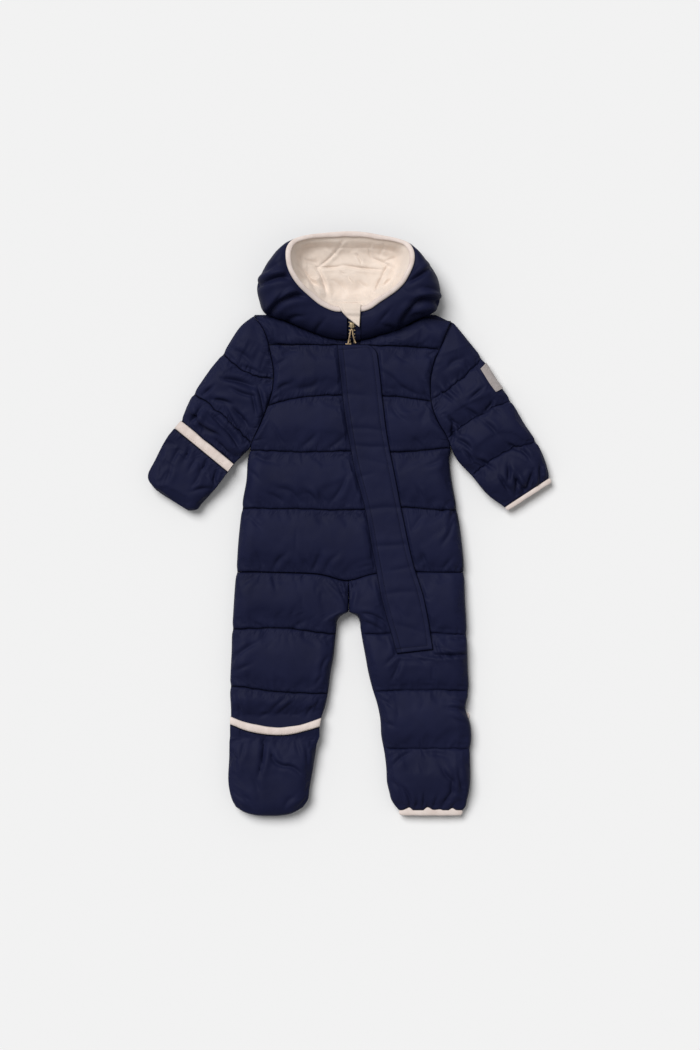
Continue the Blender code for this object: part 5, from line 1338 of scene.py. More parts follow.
def wander(grid, sewn, seed, most):
    """Moves the quilt lines a little off their course, as cloth that is eased in under the needle does."""
    ahead = unit(np.gradient(grid, axis=0))
    run = run_along(grid)
    inside = ease(run, 0, 14) * ease(run[:, -1:] - run, 0, 14)
    for row in (row for row in sewn if 0 < row < len(grid) - 1):
        near = bell(np.arange(len(grid)) - row, 6.0)[:, None]
        by = hills(run, 13.0 * row, 8, seed) + 0.6 * hills(run, 0, 4, seed + row)
        grid = grid + ahead * (most * by * near * inside)[..., None]
    return grid


def hem_wave(x):
    """How far the gathers of the open hem bulge up over its binding."""
    return HEM_BULGE * np.clip(hills(x, 0, 8.0, 187) + 0.2, 0, 1) * ease(x, 68, 78) * ease(-x, -144, -134)


def quilted_front(name, panel, height, seed, creases, at, quiet=None, armhole=None):
    """A front layer: a quilted top over a flat underside that lies on the back layer."""
    levels, sewn = panel.levels(at[0])
    x, y = panel.grid(levels, panel.columns(at[1]))
    grid = join(x, y, height(x, y))
    flat = np.maximum(under_placket(x, y), 0 if quiet is None else quiet(x, y))
    if panel is leg_left:
        grid[..., 1] += hem_wave(x) * ease(-y, 358, 371.5)
    grid = wander(filled(grid, sewn, flat > 0.35), sewn, seed, 0.5)
    columns = grid.shape[1] - 1
    sides = []
    if armhole is not None:
        edge = columns * armhole
        sides.append((edge, ease(grid[:, edge, 1], ARMHOLE_FOOT_Y - 4, ARMHOLE_FOOT_Y + 12), 0))
    if panel in (front_left, leg_left):  # the left side's seam is rolled to the front
        shown = ease(grid[:, -1, 1], -235, -205) * ease(-grid[:, -1, 1], -80, -50)
        sides.append((columns, shown, SIDE_SEAM_ROLL))
    relief = relief_on(grid, sewn, seed, creases, 1.25, sides) * sewn_in(grid) * (1 - flat)
    top = grid + outward(grid) * relief[..., None]
    top[..., 2] = np.maximum(top[..., 2], FRONT_BASE + 0.6)
    skin = Skin()
    rows = skin.rows(top)
    skin.cloth(rows)
    rim = rim_of(rows)
    base = skin.below(rim, FRONT_BASE)
    skin.strip(rim, base, closed=True)
    skin.face(*base)
    piece = skin.finish(name, NYLON)
    mark_sewing(piece, rows, grid, sewn, sides)
    QUILT_ROWS.extend(top[row] for row in sewn[1:-1])
    return piece


right_front = quilted_front(
    "front_right_quilted", front_right, pressed(front_right), 11, BODY_CREASES, (-70.0, 60.0), armhole=0)
left_front = quilted_front(
    "front_left_quilted", front_left, pressed(front_left), 31, BODY_CREASES, (90.0, 60.0), armhole=1)
stand_padded(0.7, (right_front, "front_right"), (left_front, "front_left"))

# %% [markdown]
# The legs are the same work. The right one is quiet below the mouth of its foot cover, which hides it,
# and the left one has a slot for the zip's lower end, cut with a Boolean while the mesh is still plain
# enough for one.

# %% The quilted legs
def solid_between(outline, low, high):
    """A closed upright block with this outline, for cutting."""
    return lofted("block", [at_height(np.array(outline), z) for z in (low, high)], NYLON)


def down_edge(edge, y):
    """Points in x and y down an edge."""
    return np.stack([edge(y), y], 1)


def zip_slot_outline():
    y = np.linspace(-50, ZIP_SLOT[0][0], 14)
    return [*down_edge(shifted(slot_right, -GAP), y), *down_edge(shifted(slot_left, GAP), y[::-1])]


def inside_foot_cover(x, y):
    return 1 - ease(y, -258.0, -240.0)


right_leg = quilted_front(
    "leg_front_right_quilted", leg_right, leg_right.height, 51, LEG_CREASES, (-90.0, -160.0),
    inside_foot_cover)
left_leg = quilted_front(
    "leg_front_left_quilted", leg_left, pressed(leg_left), 71, LEG_CREASES, (110.0, -160.0))
carve(left_leg, solid_between(zip_slot_outline(), BACK_TOP - 2, 2 * LEG_CREST))
stand_padded(0.65, (right_leg, "leg_front_right"), (left_leg, "leg_front_left"))

# %% [markdown]
# The back layer lies on the floor, so it is flat beneath, and only its rounded lower edge shows from
# the side. That edge is drawn in where a quilt line reaches it, as the front's is, which gives the
# outline its scallops from low down too.

# %% The back layer
EDGE_STEP = 2.0
LOWER_EDGE = ((9.6, 0.15), (7.0, 0.8), (4.7, 2.0), (2.6, 3.8), (1.0, 6.2), (0.0, 8.5))  # height, inset
EDGE_PULL = 1.6  # how far a quilt line draws the lower edge in


def inset_of(outline):
    """A unit vector to the inside at each corner of a closed outline in x and y."""
    ahead = unit(np.roll(outline, -1, 0) - outline)
    along = ahead + np.roll(ahead, 1, 0)
    normal = unit(np.stack([-along[:, 1], along[:, 0]], 1))
    x, y = outline.T
    return normal if (x * np.roll(y, -1) - y * np.roll(x, -1)).sum() > 0 else -normal


def room_inside(outline):
    """How far each corner of a closed outline can move inside before its neighbours cross."""
    ahead = np.roll(outline, -1, 0) - outline
    step = np.maximum(length(ahead), 1e-6)
    ahead /= step[:, None]
    turn = np.arccos(np.clip((ahead * np.roll(ahead, 1, 0)).sum(1), -1, 1))
    room = 0.7 * np.minimum(step, np.roll(step, 1)) / np.maximum(turn, 1e-3)
    for _ in range(3):
        for i in [*range(len(room)), *range(len(room) - 1, -1, -1)]:
            after = (i + 1) % len(room)
            room[i] = min(room[i], room[i - 1] + 0.45 * step[i - 1], room[after] + 0.45 * step[i])
    return room


def even_outline(outline):
    """The same closed outline with corners at an even spacing."""
    closed = np.array([*outline, outline[0]], float)
    run = run_along(closed)[-1]
    return points_at(closed, np.linspace(0, run, int(run / EDGE_STEP) + 1)[:-1])


def flat_layer(name, outline, edge, material, lines=()):
    """A layer that lies flat, drawn in at each height of its edge, and more where a quilt line ends.

    One without quilt lines is a folded cover or a tape, and gets a UV map.
    """
    spots = even_outline(outline)
    inward, room = inset_of(spots), room_inside(spots)
    pull = EDGE_PULL * sum(bell(spots[:, 1] - line(spots[:, 0]), 4.5) for line in lines)
    rings = []
    for height, inset in edge:
        bulge = math.sin(math.pi * height / BACK_TOP)
        rings.append(at_height(spots + inward * np.minimum(inset + pull * bulge, room)[:, None], height))
    grid = np.array(rings)
    return lofted(name, grid, material, *(() if lines else (grid[..., 0], grid[..., 1])))


def leg_outline(panel, end_y):
    """Outline of a leg's back layer, from its seam to the body down and round."""
    places = np.linspace(0, len(panel.guides) - 1, 30)
    x, y = (value[0] for value in panel.grid(np.array([0.0]), places))
    right_y, left_y = (np.linspace(start, end_y, 60)[1:] for start in (y[-1], y[0]))
    return [*zip(x, y - SEAM / 2), *down_edge(panel.right, right_y), *down_edge(panel.left, left_y[::-1])]


def body_back_outline():
    seam_x = np.linspace(float(right_edge(-62.0)), float(left_edge(-62.7)), 60)
    right_top = float(curve(BODY_RIGHT_EDGE)(BACK_NECK_Y))
    return [
        *zip(seam_x, leg_seam(seam_x) + SEAM / 2),
        *down_edge(shifted(left_edge, -SEAM / 2), np.linspace(-56, BODY_LEFT_EDGE[-1][0], 80)),
        (112, BACK_NECK_Y), (right_top + 24, BACK_NECK_Y),
        *down_edge(shifted(right_edge, SEAM / 2), np.linspace(-56, BACK_NECK_Y, 80)[::-1]),
    ]


def back_layer(name, outline, lines):
    return flat_layer(name, outline, ((BACK_TOP, 0.0), *LOWER_EDGE), NYLON, lines)


body_back = back_layer("back_quilted", body_back_outline(), body_lines[3:5])
right_leg_back, left_leg_back = (
    back_layer(name, leg_outline(panel, table[-1][0]), lines[1:3])
    for name, panel, table, lines in (
        ("leg_back_right_quilted", leg_right, RIGHT_LEG_LINES, right_leg_lines),
        ("leg_back_left_quilted", leg_left, LEFT_LEG_LINES, left_leg_lines),
    )
)
behind = [(0, FOLDED_FOOT_Y + 1), (0, -400), (200, -400), (200, FOLDED_FOOT_Y + 1)]
carve(left_leg_back, solid_between(behind, -5, COVER_CLEARANCE))
stand_padded(0.5, (body_back, "back"), (right_leg_back, "leg_back_right"), (left_leg_back, "leg_back_left"))

# %% [markdown]
# A sleeve is one piece, folded along its outer edge and joined under the arm. Its mesh is a pile of
# closed cross-sections: over the padded top from the fold to the seam, a small groove for the seam,
# then back along the flat underside. Its creases are its own, for an arm bends more than a chest.

# %% Creases on the sleeves
ARM_FOLD = 1.7  # an arm's creases are this much deeper than the depths in its tables
RIGHT_SLEEVE_CREASES = (
    (-194, 150, -210, 131, 2, 4, 2), (-196, 131, -173, 117, 1.9, 3.6, -2),
    (-163, 127, -144, 101, 1.9, 3.8, 2), (-176, 161, -156, 157, 1.6, 3.4, 1),
    (-163, 188, -128, 180, 1.8, 4, 2), (-152, 176, -122, 166, 1.3, 3.4, -2),
    (-150, 148, -132, 128, 1.6, 3.4, 1), (-160, 150, -146, 124, 1.2, 3, -1),
    (-118, 176, -112, 150, 1.5, 3, 1), (-126, 168, -121, 144, 1.3, 2.8, 0),
    (-180, 143, -166, 128, 1.4, 3.4, 1), (-190, 168, -178, 178, 1.2, 3.4, 0),
    (-150, 226, -128, 210, 1.1, 5, 2), (-138, 204, -118, 196, 1.2, 4, 1),
    (-206, 142, -190, 122, 1.2, 3.2, 1), (-172, 106, -158, 92, 1.4, 3.2, 0),
)
LEFT_SLEEVE_CREASES = (
    (134, 131, 134, 113, 1.6, 3, 0), (142, 128, 128, 140, 1.4, 3, 1), (118, 172, 134, 160, 1.4, 3.6, 1),
    (126, 186, 140, 168, 1.2, 4, -2), (150, 150, 168, 138, 1.2, 3.6, 1), (158, 164, 172, 176, 1.1, 3.4, 0),
    (140, 110, 158, 96, 1.7, 3.6, 2), (148, 96, 160, 80, 1.5, 3.2, 1), (176, 132, 190, 118, 1.3, 3.6, 1),
    (166, 84, 184, 74, 1.4, 3.4, 1), (206, 76, 206, 57, 1.9, 3.4, 1), (213, 66, 227, 45, 1.9, 3.4, -2),
    (238, 68, 229, 46, 1.8, 3.4, 1), (248, 76, 248, 59, 1.7, 3.2, 0), (196, 60, 206, 44, 1.5, 3.2, 0),
    (222, 98, 234, 84, 1.4, 3.6, 1), (206, 104, 220, 96, 1.1, 3.4, 0), (186, 160, 176, 146, 1, 3.6, 1),
    (218, 60, 216, 40, 1.3, 2.8, 0), (240, 60, 238, 46, 1.2, 2.8, 0), (144, 214, 128, 204, 1.1, 5, -2),
    (160, 200, 150, 214, 1, 4.5, 1),
)
print("creases on the sleeves", len(RIGHT_SLEEVE_CREASES) + len(LEFT_SLEEVE_CREASES))

# %% [markdown]
# Each row of a sleeve is one closed ring, so the whole sleeve is a loft. The outer edge is held low,
# where the cloth folds to the back, and the inner edge is high where it is sewn to the body and low
# below the armpit, where it is open.

# %% A folded, quilted sleeve
SLEEVE_COLUMNS = 89  # an odd count, so that every second one ends at the seam
SEAM_GROOVE = 1.3
SLEEVE_PINCH = 1.5  # how far a stitch line draws the outer edge in
LABEL_ROW = 2.83  # the label's middle, in rows of the left sleeve's table
sleeve_side = joined_side(ARMHOLE_FOOT_Y - 14, ARMHOLE_FOOT_Y + 8)


def edge_shares(count, crowd=0.55):
    """Shares from 0 to 1, closer together near both ends."""
    even = np.linspace(0, 1, count)
    return even * (1 - crowd) + (1 - np.cos(np.pi * even)) / 2 * crowd


def sleeve_top(width, stitched, crest, share, edge, rounding):
    """Distances in from the fold and heights, over the padded top of a sleeve."""
    small = min(1.0, width / 45.0)
    distance = edge_shares(SLEEVE_COLUMNS) * width
    top = stitched + (crest - stitched) * puff(share) * small
    top = FOLD_HEIGHT + (top - FOLD_HEIGHT) * rise(distance / (SIDE_ROUNDING * small))
    top = edge + (top - edge) * rise((width - distance) / (rounding * small))
    top[1:] = np.maximum(top[1:], FRONT_BASE + 0.4)
    top[0] = FOLD_HEIGHT
    return distance, top


def sleeve_underside(width):
    """The same round the seam, under the sleeve and up to the fold again."""
    small = min(1.0, width / 45.0)
    seam = [(width, FRONT_BASE), (width - min(SEAM_GROOVE, 0.3 * width), FOLD_HEIGHT), (width, BACK_TOP)]
    inner = [(width - inset * small, height) for height, inset in LOWER_EDGE]
    floor = [(width * s, 0.0) for s in (0.75, 0.5, 0.25)]
    outer = [(inset * small, height) for height, inset in LOWER_EDGE[::-1]]
    return np.array([*seam, *inner, *floor, *outer])


def sleeve_rows(table, levels):
    values = smooth(range(len(table)), table, levels)
    return values[:, 0:2], values[:, 2:4], values[:, 4], values[:, 5]


def to_hand(along):
    """The unit vector square to a sleeve's row that points to the hand."""
    ahead = np.array((along[1], -along[0]))
    return -ahead if ahead[1] > 0 else ahead


def placed(outer, inner, bow, distance, height):
    """World corners of a cross-section that runs from the outer edge to the inner edge."""
    along, share = unit(inner - outer), distance / length(inner - outer)
    spots = outer + np.outer(distance, along) + np.outer(bow * 4 * share * (1 - share), to_hand(along))
    return at_height(spots, height)


def sleeve_levels(table):
    """Places of the cross rows, two table rows to a channel, and the sewn ones."""
    places, sewn = [0.0], []
    outer = np.array([row[0:2] for row in table])
    for start in range(0, len(table) - 1, 2):
        end = min(start + 2, len(table) - 1)
        count = even_count(1.5 * length(outer[end] - outer[start]))
        places += [start + (end - start) * (k + 1) / count for k in range(count)]
        sewn.append(len(places) - 1)
    return np.array(places), sewn


def sleeve_section(level, outer, inner, bow, stitch, armhole, side, crest):
    """One row: its top and its underside. It first settles where the row's two ends lie."""
    clear = float(armhole(inner[1])) + side * SEAM / 2
    joined = float(ease(inner[1], ARMHOLE_FOOT_Y, ARMHOLE_FOOT_Y + 12))
    inner[0] = clear + side * max(side * (inner[0] - clear), 0.0) * (1 - joined)
    outer[0] += (float(armhole(outer[1])) + side * SEAM / 2 - outer[0]) * (1 - ease(level, 0.0, 0.12))
    nearest = 2 * max(round(level / 2), 1)
    outer += unit(inner - outer) * SLEEVE_PINCH * bell(level - nearest, 0.14)
    width = float(length(inner - outer))
    top = sleeve_top(width, stitch, crest, (level / 2) % 1, *sleeve_side(inner[1]))
    return placed(outer, inner, bow, *top), placed(outer, inner, bow, *sleeve_underside(width).T)


def quilted_sleeve(name, table, armhole, side, crest_of, seed, creases, quiet_after):
    levels, sewn = sleeve_levels(table)
    sections = [
        sleeve_section(level, *row, armhole, side, crest_of(level))
        for level, *row in zip(levels, *sleeve_rows(table, levels))
    ]
    grid = np.array([top for top, _ in sections])
    distance = length(grid - grid[:, :1])
    by_label = np.abs(levels - LABEL_ROW)[:, None]
    labelled = (side > 0) & (by_label < 0.8) & (distance < 14)
    grid = wander(filled(grid, sewn, (levels < 1.2)[:, None] | labelled), sewn, seed, 1.5)
    quiet = ease(levels, quiet_after - 0.4, quiet_after)[:, None]
    free = sewn_in(grid, 5.0) * (1 - quiet) * ease(levels, 0.4, 1.6)[:, None]
    free = free * np.where((side > 0) & (by_label < 0.75), ease(distance, 11, 15), 1.0)
    sides = [(SLEEVE_COLUMNS - 1, ease(grid[:, -1, 1], ARMHOLE_FOOT_Y - 10, ARMHOLE_FOOT_Y + 6), 0)]
    deeper = [(*ends, ARM_FOLD * depth, half, bow) for *ends, depth, half, bow in creases]
    top = grid + outward(grid) * (relief_on(grid, sewn, seed, deeper, 1.9, sides) * free)[..., None]
    skin = Skin()
    rows = skin.loft([np.concatenate([row, under]) for row, (_, under) in zip(top, sections)])
    QUILT_ROWS.extend(top[row] for row in sewn[:-1])
    piece = skin.finish(name, NYLON)
    mark_sewing(piece, [row[:SLEEVE_COLUMNS] for row in rows], grid, sewn, sides)
    return piece


def right_sleeve_crest(level):
    return SLEEVE_CREST + (COVERED_CREST - SLEEVE_CREST) * ease(level, 4.9, 5.9)


def left_sleeve_crest(level):
    return SLEEVE_CREST - 5.0 * ease(level, 6.5, 8.0)


def folded_mitten_outline(inset, past=0.0):
    """Outline of the left hand's cover, folded behind the sleeve, grown past the cuff to cut room."""
    levels = np.linspace(FOLDED_MITTEN_STATION, len(SLEEVE_LEFT) - 1, 7)
    outers, inners, _, _ = sleeve_rows(SLEEVE_LEFT, levels)
    along, ahead = unit(inners - outers), unit(outers[-1] - outers[-2])
    outer, inner = outers + along * (inset - past), inners - along * (inset - past)
    far = [outer[-1] + ahead * past, inner[-1] + ahead * past] if past else []
    if past:
        outer[0] -= ahead
        inner[0] -= ahead
    return [*outer, *far, *inner[::-1]]


right_sleeve = quilted_sleeve(
    "sleeve_right_quilted", SLEEVE_RIGHT, right_edge, -1, right_sleeve_crest, 91, RIGHT_SLEEVE_CREASES, 5.9)
left_sleeve = quilted_sleeve(
    "sleeve_left_quilted", SLEEVE_LEFT, left_edge, 1, left_sleeve_crest, 111, LEFT_SLEEVE_CREASES, 9.0)
carve(left_sleeve, solid_between(folded_mitten_outline(-1.0, 30.0), -5, COVER_CLEARANCE))
stand_padded(0.65, (right_sleeve, "sleeve_right"), (left_sleeve, "sleeve_left"))

# %% [markdown]
# A fold-over cover is a pocket of the same cloth. Worn over the foot or the hand it has a lip that lies
# on the limb, with a pale binding, and a rounded closed end. Its mouth is gathered onto the binding,
# so short folds run down from it.

# %% The foot and hand covers
COVER_ACROSS = 65
LIP_ROWS, BLEND_ROWS, END_ROWS = 9, 13, 57
LIP = LIP_ROWS - 1  # the lip's last row
FOOT_LIP, FOOT_FIRST = 0.091, 0.28  # shares of the way from mouth to toe
MITTEN_LIP, MITTEN_STEP, MITTEN_FIRST = 1.06, 1.53, 2.2  # rows of the mitten's table
COVER_BLEND = 26.0
FOOT_CREASES = (
    (-110, -277, -118, -326, 2.6, 3.4, 2), (-101, -294, -94, -310, 2.4, 3.4, -2),
    (-95, -309, -77, -314, 2.4, 3.2, -1), (-78, -313, -63, -324, 2.2, 3.4, 1),
    (-136, -284, -141, -304, 1.2, 3, 0), (-70, -282, -64, -300, 1.2, 3, 0),
    (-140, -352, -126, -364, 1.3, 5, 2), (-72, -352, -84, -366, 1.3, 5, -2),
    (-124, -330, -118, -346, 1, 4, 1), (-56, -290, -54, -312, 1.2, 3, 0),
    (-148, -300, -146, -322, 1.1, 3, 0),
)
HAND_CREASES = (
    (-185, 84, -193, 69, 2, 3, 1), (-171, 72, -176, 54, 2.2, 3, -1), (-203, 43, -180, 46, 1.8, 3.2, 2),
    (-208, 100, -214, 84, 1.8, 3, 1), (-222, 96, -230, 80, 1.5, 3, 0), (-200, 84, -208, 70, 1.4, 3, 0),
    (-196, 62, -204, 50, 1.4, 3.2, 1), (-232, 72, -238, 56, 1.3, 3.4, 1), (-244, 92, -250, 78, 1.2, 3, 0),
    (-178, 40, -188, 30, 1.2, 3, 0),
)


def foot_grid(levels, across):
    """x and y over the right foot's cover: level 0 is its mouth, 1 its end."""
    mouth, toe = curve(FOOT_MOUTH), curve(FOOT_TOE)
    outer, inner = curve(FOOT, 1), curve(FOOT, 2)
    level = np.asarray(levels)[:, None]
    x = np.zeros((len(levels), len(across)))
    for _ in range(12):
        y = mix(mouth(x), toe(x), level)
        x = mix(outer(y), inner(y), across)
    return np.stack([x, y], -1)


def mitten_grid(levels, across):
    values = smooth(range(len(MITTEN)), MITTEN, np.asarray(levels))
    return mix(values[:, None, 0:2], values[:, None, 2:4], across[:, None])


def rows_between(first, last, count):
    return mix(first, last, np.linspace(0, 1, count)[:, None, None])


def cover_heights(grid, under, crest):
    """Top of a cover: its own cloth over the limb, then a rounded pillow."""
    edge = SIDE_SEAM_HEIGHT
    to_left, to_right, to_end = (
        rise(length(grid - line) / SIDE_ROUNDING) for line in (grid[:, :1], grid[:, -1:], grid[-1:]))
    pillow = edge + (crest - edge) * to_left * to_right
    pillow = edge + (pillow - edge) * to_end
    share = ease(length(grid - grid[LIP]), 0, COVER_BLEND)
    share[:LIP_ROWS] = 0
    level = np.broadcast_to(under[-1] + COVER_CLOTH, grid.shape[:2]).copy()
    level[:LIP_ROWS] = under + COVER_CLOTH
    return mix(level, pillow, share)


def fold_over_cover(name, mouth, step, end, height_under, crest, seed, creases):
    """A pocket: a lip that lies on the limb, then a closed end that stands on the floor."""
    on_limb, blend = rows_between(mouth, step, LIP_ROWS), rows_between(step, end[:1], BLEND_ROWS)
    grid = np.concatenate([on_limb, blend[1:-1], end])
    lip = grid[:LIP_ROWS]
    under = height_under(lip[..., 0], lip[..., 1])
    top = at_height(grid, cover_heights(grid, under, crest))
    held = np.zeros(top.shape[:2], bool)
    held[: LIP + 3] = True
    top = filled(top, [], held, spare=0.06)
    relief = unevenness(grid, creases, seed, 0.5, 24, 0.25, 9) - 1.2 * puckers(top, 0, seed, 1.0, 9.0)
    free = ease(length(grid - grid[-1:]), 0, 5) * sewn_in(top, 4.0) * ease(length(grid - grid[:1]), 0, 4)
    top = top + outward(top) * (relief * free)[..., None]
    skin = Skin()
    upper, beneath = skin.rows(top), skin.rows(at_height(lip, under))
    skin.cloth(upper)
    skin.cloth(beneath)
    skin.strip(upper[0], beneath[0])
    for j in (0, -1):
        skin.strip([row[j] for row in upper[:LIP_ROWS]], [row[j] for row in beneath])
    path = [row[-1] for row in upper[LIP:]] + upper[-1][-2:0:-1] + [row[0] for row in upper[LIP:]][::-1]
    spots = skin.places(path)
    inward, room = inset_of(spots), room_inside(spots)
    room[[0, -1]] = 0.0
    room[[1, 2, -2, -3]] = np.minimum(room[[1, 2, -2, -3]], 1.5)
    last_under = beneath[-1]
    rings = [
        skin.row(at_height(spots + inward * np.minimum(inset, room)[:, None], height))
        for height, inset in LOWER_EDGE
    ]
    skin.face(path[0], last_under[-1], *rings[0][:2], path[1])
    skin.face(path[-1], path[-2], *rings[0][-2:], last_under[0])
    skin.strip(path[1:-1], rings[0][1:-1])
    skin.cloth(rings)
    floor = skin.below(last_under[1:-1], 0.0)
    skin.face(*last_under[:2], floor[0], *(ring[-1] for ring in rings[::-1]))
    skin.strip(last_under[1:-1], floor)
    skin.face(*last_under[-2:], *(ring[0] for ring in rings), floor[-1])
    skin.face(*rings[-1], *floor)
    piece = skin.finish(name, NYLON)
    mark_sewing(piece, upper, top, [0])
    return piece


def over_right_leg(x, y):
    return np.maximum(leg_right.height(x, y), SIDE_SEAM_HEIGHT) + COVER_GAP


def over_right_hand(x, y):
    return np.full(x.shape, COVERED_CREST + LIP_CLEARANCE)


def make_foot_cover():
    across = edge_shares(COVER_ACROSS)
    mouth = foot_grid([FOOT_LIP], across)
    step = np.stack([mouth[..., 0], np.full((1, COVER_ACROSS), RIGHT_LEG_LINES[-1][0] - GAP)], -1)
    end = foot_grid(np.linspace(FOOT_FIRST, 1, END_ROWS), across)
    return fold_over_cover(
        "foot_cover_right_cloth", mouth, step, end, over_right_leg, FOOT_CREST, 131, FOOT_CREASES)


def make_mitten_cover():
    across = edge_shares(COVER_ACROSS)
    mouth, step = mitten_grid([MITTEN_LIP], across), mitten_grid([MITTEN_STEP], across)
    outer, inner = np.array(SLEEVE_RIGHT[-1][0:2]), np.array(SLEEVE_RIGHT[-1][2:4])
    ahead = to_hand(unit(inner - outer))
    step = step - (((step - outer) @ ahead - GAP)[..., None] * ahead)
    end = mitten_grid(np.linspace(MITTEN_FIRST, len(MITTEN) - 1, END_ROWS), across)
    return fold_over_cover(
        "mitten_cover_right_cloth", mouth, step, end, over_right_hand, MITTEN_CREST, 151, HAND_CREASES)


foot_cover, mitten_cover = make_foot_cover(), make_mitten_cover()
stand_padded(0.45, (foot_cover, "foot_cover_right"), (mitten_cover, "mitten_cover_right"))

# %% [markdown]
# The covers' bindings are a stretch tape folded over the gathered edge. One closed cross-section is
# swept across the limb, and the tape rises and falls a little, as rib does where it is stretched over
# gathers. The UV map counts millimetres along and across the tape, for the ribs of its finish.

# %% Bindings at the covers' mouths
TAPE_SECTION = (  # share across the tape, height in shares of its thickness
    (0, 0.06), (-0.02, 0.4), (0, 0.72), (0.08, 0.9), (0.24, 1), (0.5, 1.02), (0.76, 1), (0.93, 0.9),
    (1, 0.74), (1, 0.3), (1, 0.02), (0.75, 0), (0.4, 0), (0.12, 0),
)
BAND_THICKNESS = COVER_CLOTH + BINDING_PROUD


def swept_tape(name, band, base, seed):
    """A tape between two lines in x and y; base is its underside at both lines."""
    share, up = np.array(TAPE_SECTION).T
    first, last = band
    along = run_along(first)[:, None]
    sway = 0.5 * hills(along, 0, 14, seed) * (share < 0.6)
    swell = 1 + 0.06 * hills(along, 0, 6, seed + 1)
    spots = mix(first[:, None], last[:, None], share[:, None]) + unit(last - first)[:, None] * sway[..., None]
    low = mix(base[0][:, None], base[1][:, None], share)
    rings = at_height(spots, low + up * BAND_THICKNESS * swell)
    return lofted(name, rings, RIBBING, along, share * BINDING_WIDTH)


def make_cover_bindings():
    across = np.linspace(0, 1, 161)
    foot, hand = foot_grid((0.0, 0.086), across), mitten_grid((0.0, 1.02), across)
    over_foot = leg_right.height(foot[..., 0], foot[..., 1]) + COVER_GAP
    foot_tape = swept_tape("foot_binding_right_tape", foot, over_foot, 171)
    stand_for(foot_tape, "binding", "foot_binding_right")
    hand_tape = swept_tape("mitten_binding_right_tape", hand, over_right_hand(hand[..., 0], 0), 173)
    stand_for(hand_tape, "binding", "mitten_binding_right")
    return foot_tape, hand_tape


foot_binding, hand_binding = make_cover_bindings()

# %% [markdown]
# On the other side both covers are folded away behind the limb, flat on the floor, and only a corner of
# one binding looks out. The open cuff and the open hem end in a ring of binding that is pressed flat,
# with its mouth a slot.

# %% Folded covers and open ends
FLAT_EDGE = (
    (4, 2), (3.7, 0.9), (3, 0.2), (2, 0), (1, 0.2), (0.3, 0.9), (0, 2),
)
RING_PROFILE = (  # in from the edge, in from the top, share forward
    (5, None, 0), (2, 0.6, 0), (0.6, 0.15, 0.04), (0, 0, 0.2), (0, 0, 0.5), (0.5, 0.25, 0.75),
    (1.4, 0.9, 0.92), (2.6, 1.7, 1), (4, None, 1),
)
RING_MOUTH = 2.4
CUFF_RING, HEM_RING = 6.2, 6.8
CUFF_TOP, HEM_TOP = 15.0, 15.4
PEEK = 4.4


def make_folded_covers():
    hand = flat_layer("mitten_cover_left_cloth", folded_mitten_outline(3.0), FLAT_EDGE, NYLON)
    y = np.linspace(FOLDED_FOOT_Y - BINDING_WIDTH - GAP, LEFT_LEG_LINES[-1][0] + 1, 40)
    sides = [*down_edge(shifted(left_leg_outer, -2.5), y), *down_edge(shifted(left_leg_inner, 2.5), y[::-1])]
    foot = flat_layer("foot_cover_left_cloth", sides, FLAT_EDGE, NYLON)
    peek_x = float(left_leg_outer(FOLDED_FOOT_Y)) + PEEK
    hidden_x = float(left_leg_inner(FOLDED_FOOT_Y)) + 3
    low = FOLDED_FOOT_Y - BINDING_WIDTH
    band = flat_layer("foot_binding_left_tape", [
        (hidden_x, FOLDED_FOOT_Y), (peek_x - 2.6, FOLDED_FOOT_Y), (peek_x - 0.9, FOLDED_FOOT_Y - 0.8),
        (peek_x, FOLDED_FOOT_Y - 2.4), (peek_x, low + 2.0), (peek_x - 0.8, low + 0.5), (peek_x - 2.4, low),
        (hidden_x, low),
    ], FLAT_EDGE, RIBBING)
    stand_for(hand, "shell", "mitten_cover_left")
    stand_for(foot, "shell", "foot_cover_left")
    stand_for(band, "binding", "foot_binding_left")
    return hand, foot, band


def make_ring(name, outer, inner, long, top, seed, bulge=None):
    """A flattened cuff binding: a ring whose mouth is pressed to a slot. Its top follows the bulges."""
    outer, inner = np.array(outer), np.array(inner)
    half, along = length(inner - outer) / 2, unit(inner - outer)
    turns = np.linspace(0, 2 * np.pi, 300, endpoint=False)
    share_x = np.sign(np.cos(turns)) * np.abs(np.cos(turns)) ** 0.8
    share_z = np.sign(np.sin(turns)) * np.abs(np.sin(turns)) ** 0.5
    middle, base = (outer + inner) / 2, COVER_CLEARANCE
    skin, rings, runs = Skin(), [], []
    for in_x, in_z, forward in RING_PROFILE:
        tall = RING_MOUTH / 2 if in_z is None else (top - base) / 2 - in_z
        spots = middle + np.outer((half - in_x) * share_x, along)
        wave = 0.5 * hills(spots @ along, share_z * 3, 9, seed) * forward
        if bulge is not None:
            wave = wave - bulge(spots[:, 0]) * ease(share_z, 0.25, 0.6) * (1 - forward)
        lie = to_hand(along) * (GAP + forward * long + wave)[:, None]
        rings.append(skin.row(at_height(spots + lie, (base + top) / 2 + tall * share_z)))
        runs.append(run_along(spots))
    skin.cloth([*rings, rings[0]], closed=True)
    return skin.finish(name, RIBBING, np.array(runs), np.array(RING_PROFILE, float)[:, 2:] * long)


def make_rings():
    cuff = SLEEVE_LEFT[-1]
    at_cuff = make_ring("cuff_binding_left_ring", cuff[0:2], cuff[2:4], CUFF_RING, CUFF_TOP, 181)
    hem_y = LEFT_LEG_LINES[-1][0]
    outer, inner = (float(left_leg_outer(hem_y)), hem_y), (float(left_leg_inner(hem_y)), hem_y)
    at_hem = make_ring("hem_binding_left_ring", outer, inner, HEM_RING, HEM_TOP, 183, hem_wave)
    stand_for(at_cuff, "binding", "cuff_binding_left")
    stand_for(at_hem, "binding", "hem_binding_left")
    return at_cuff, at_hem


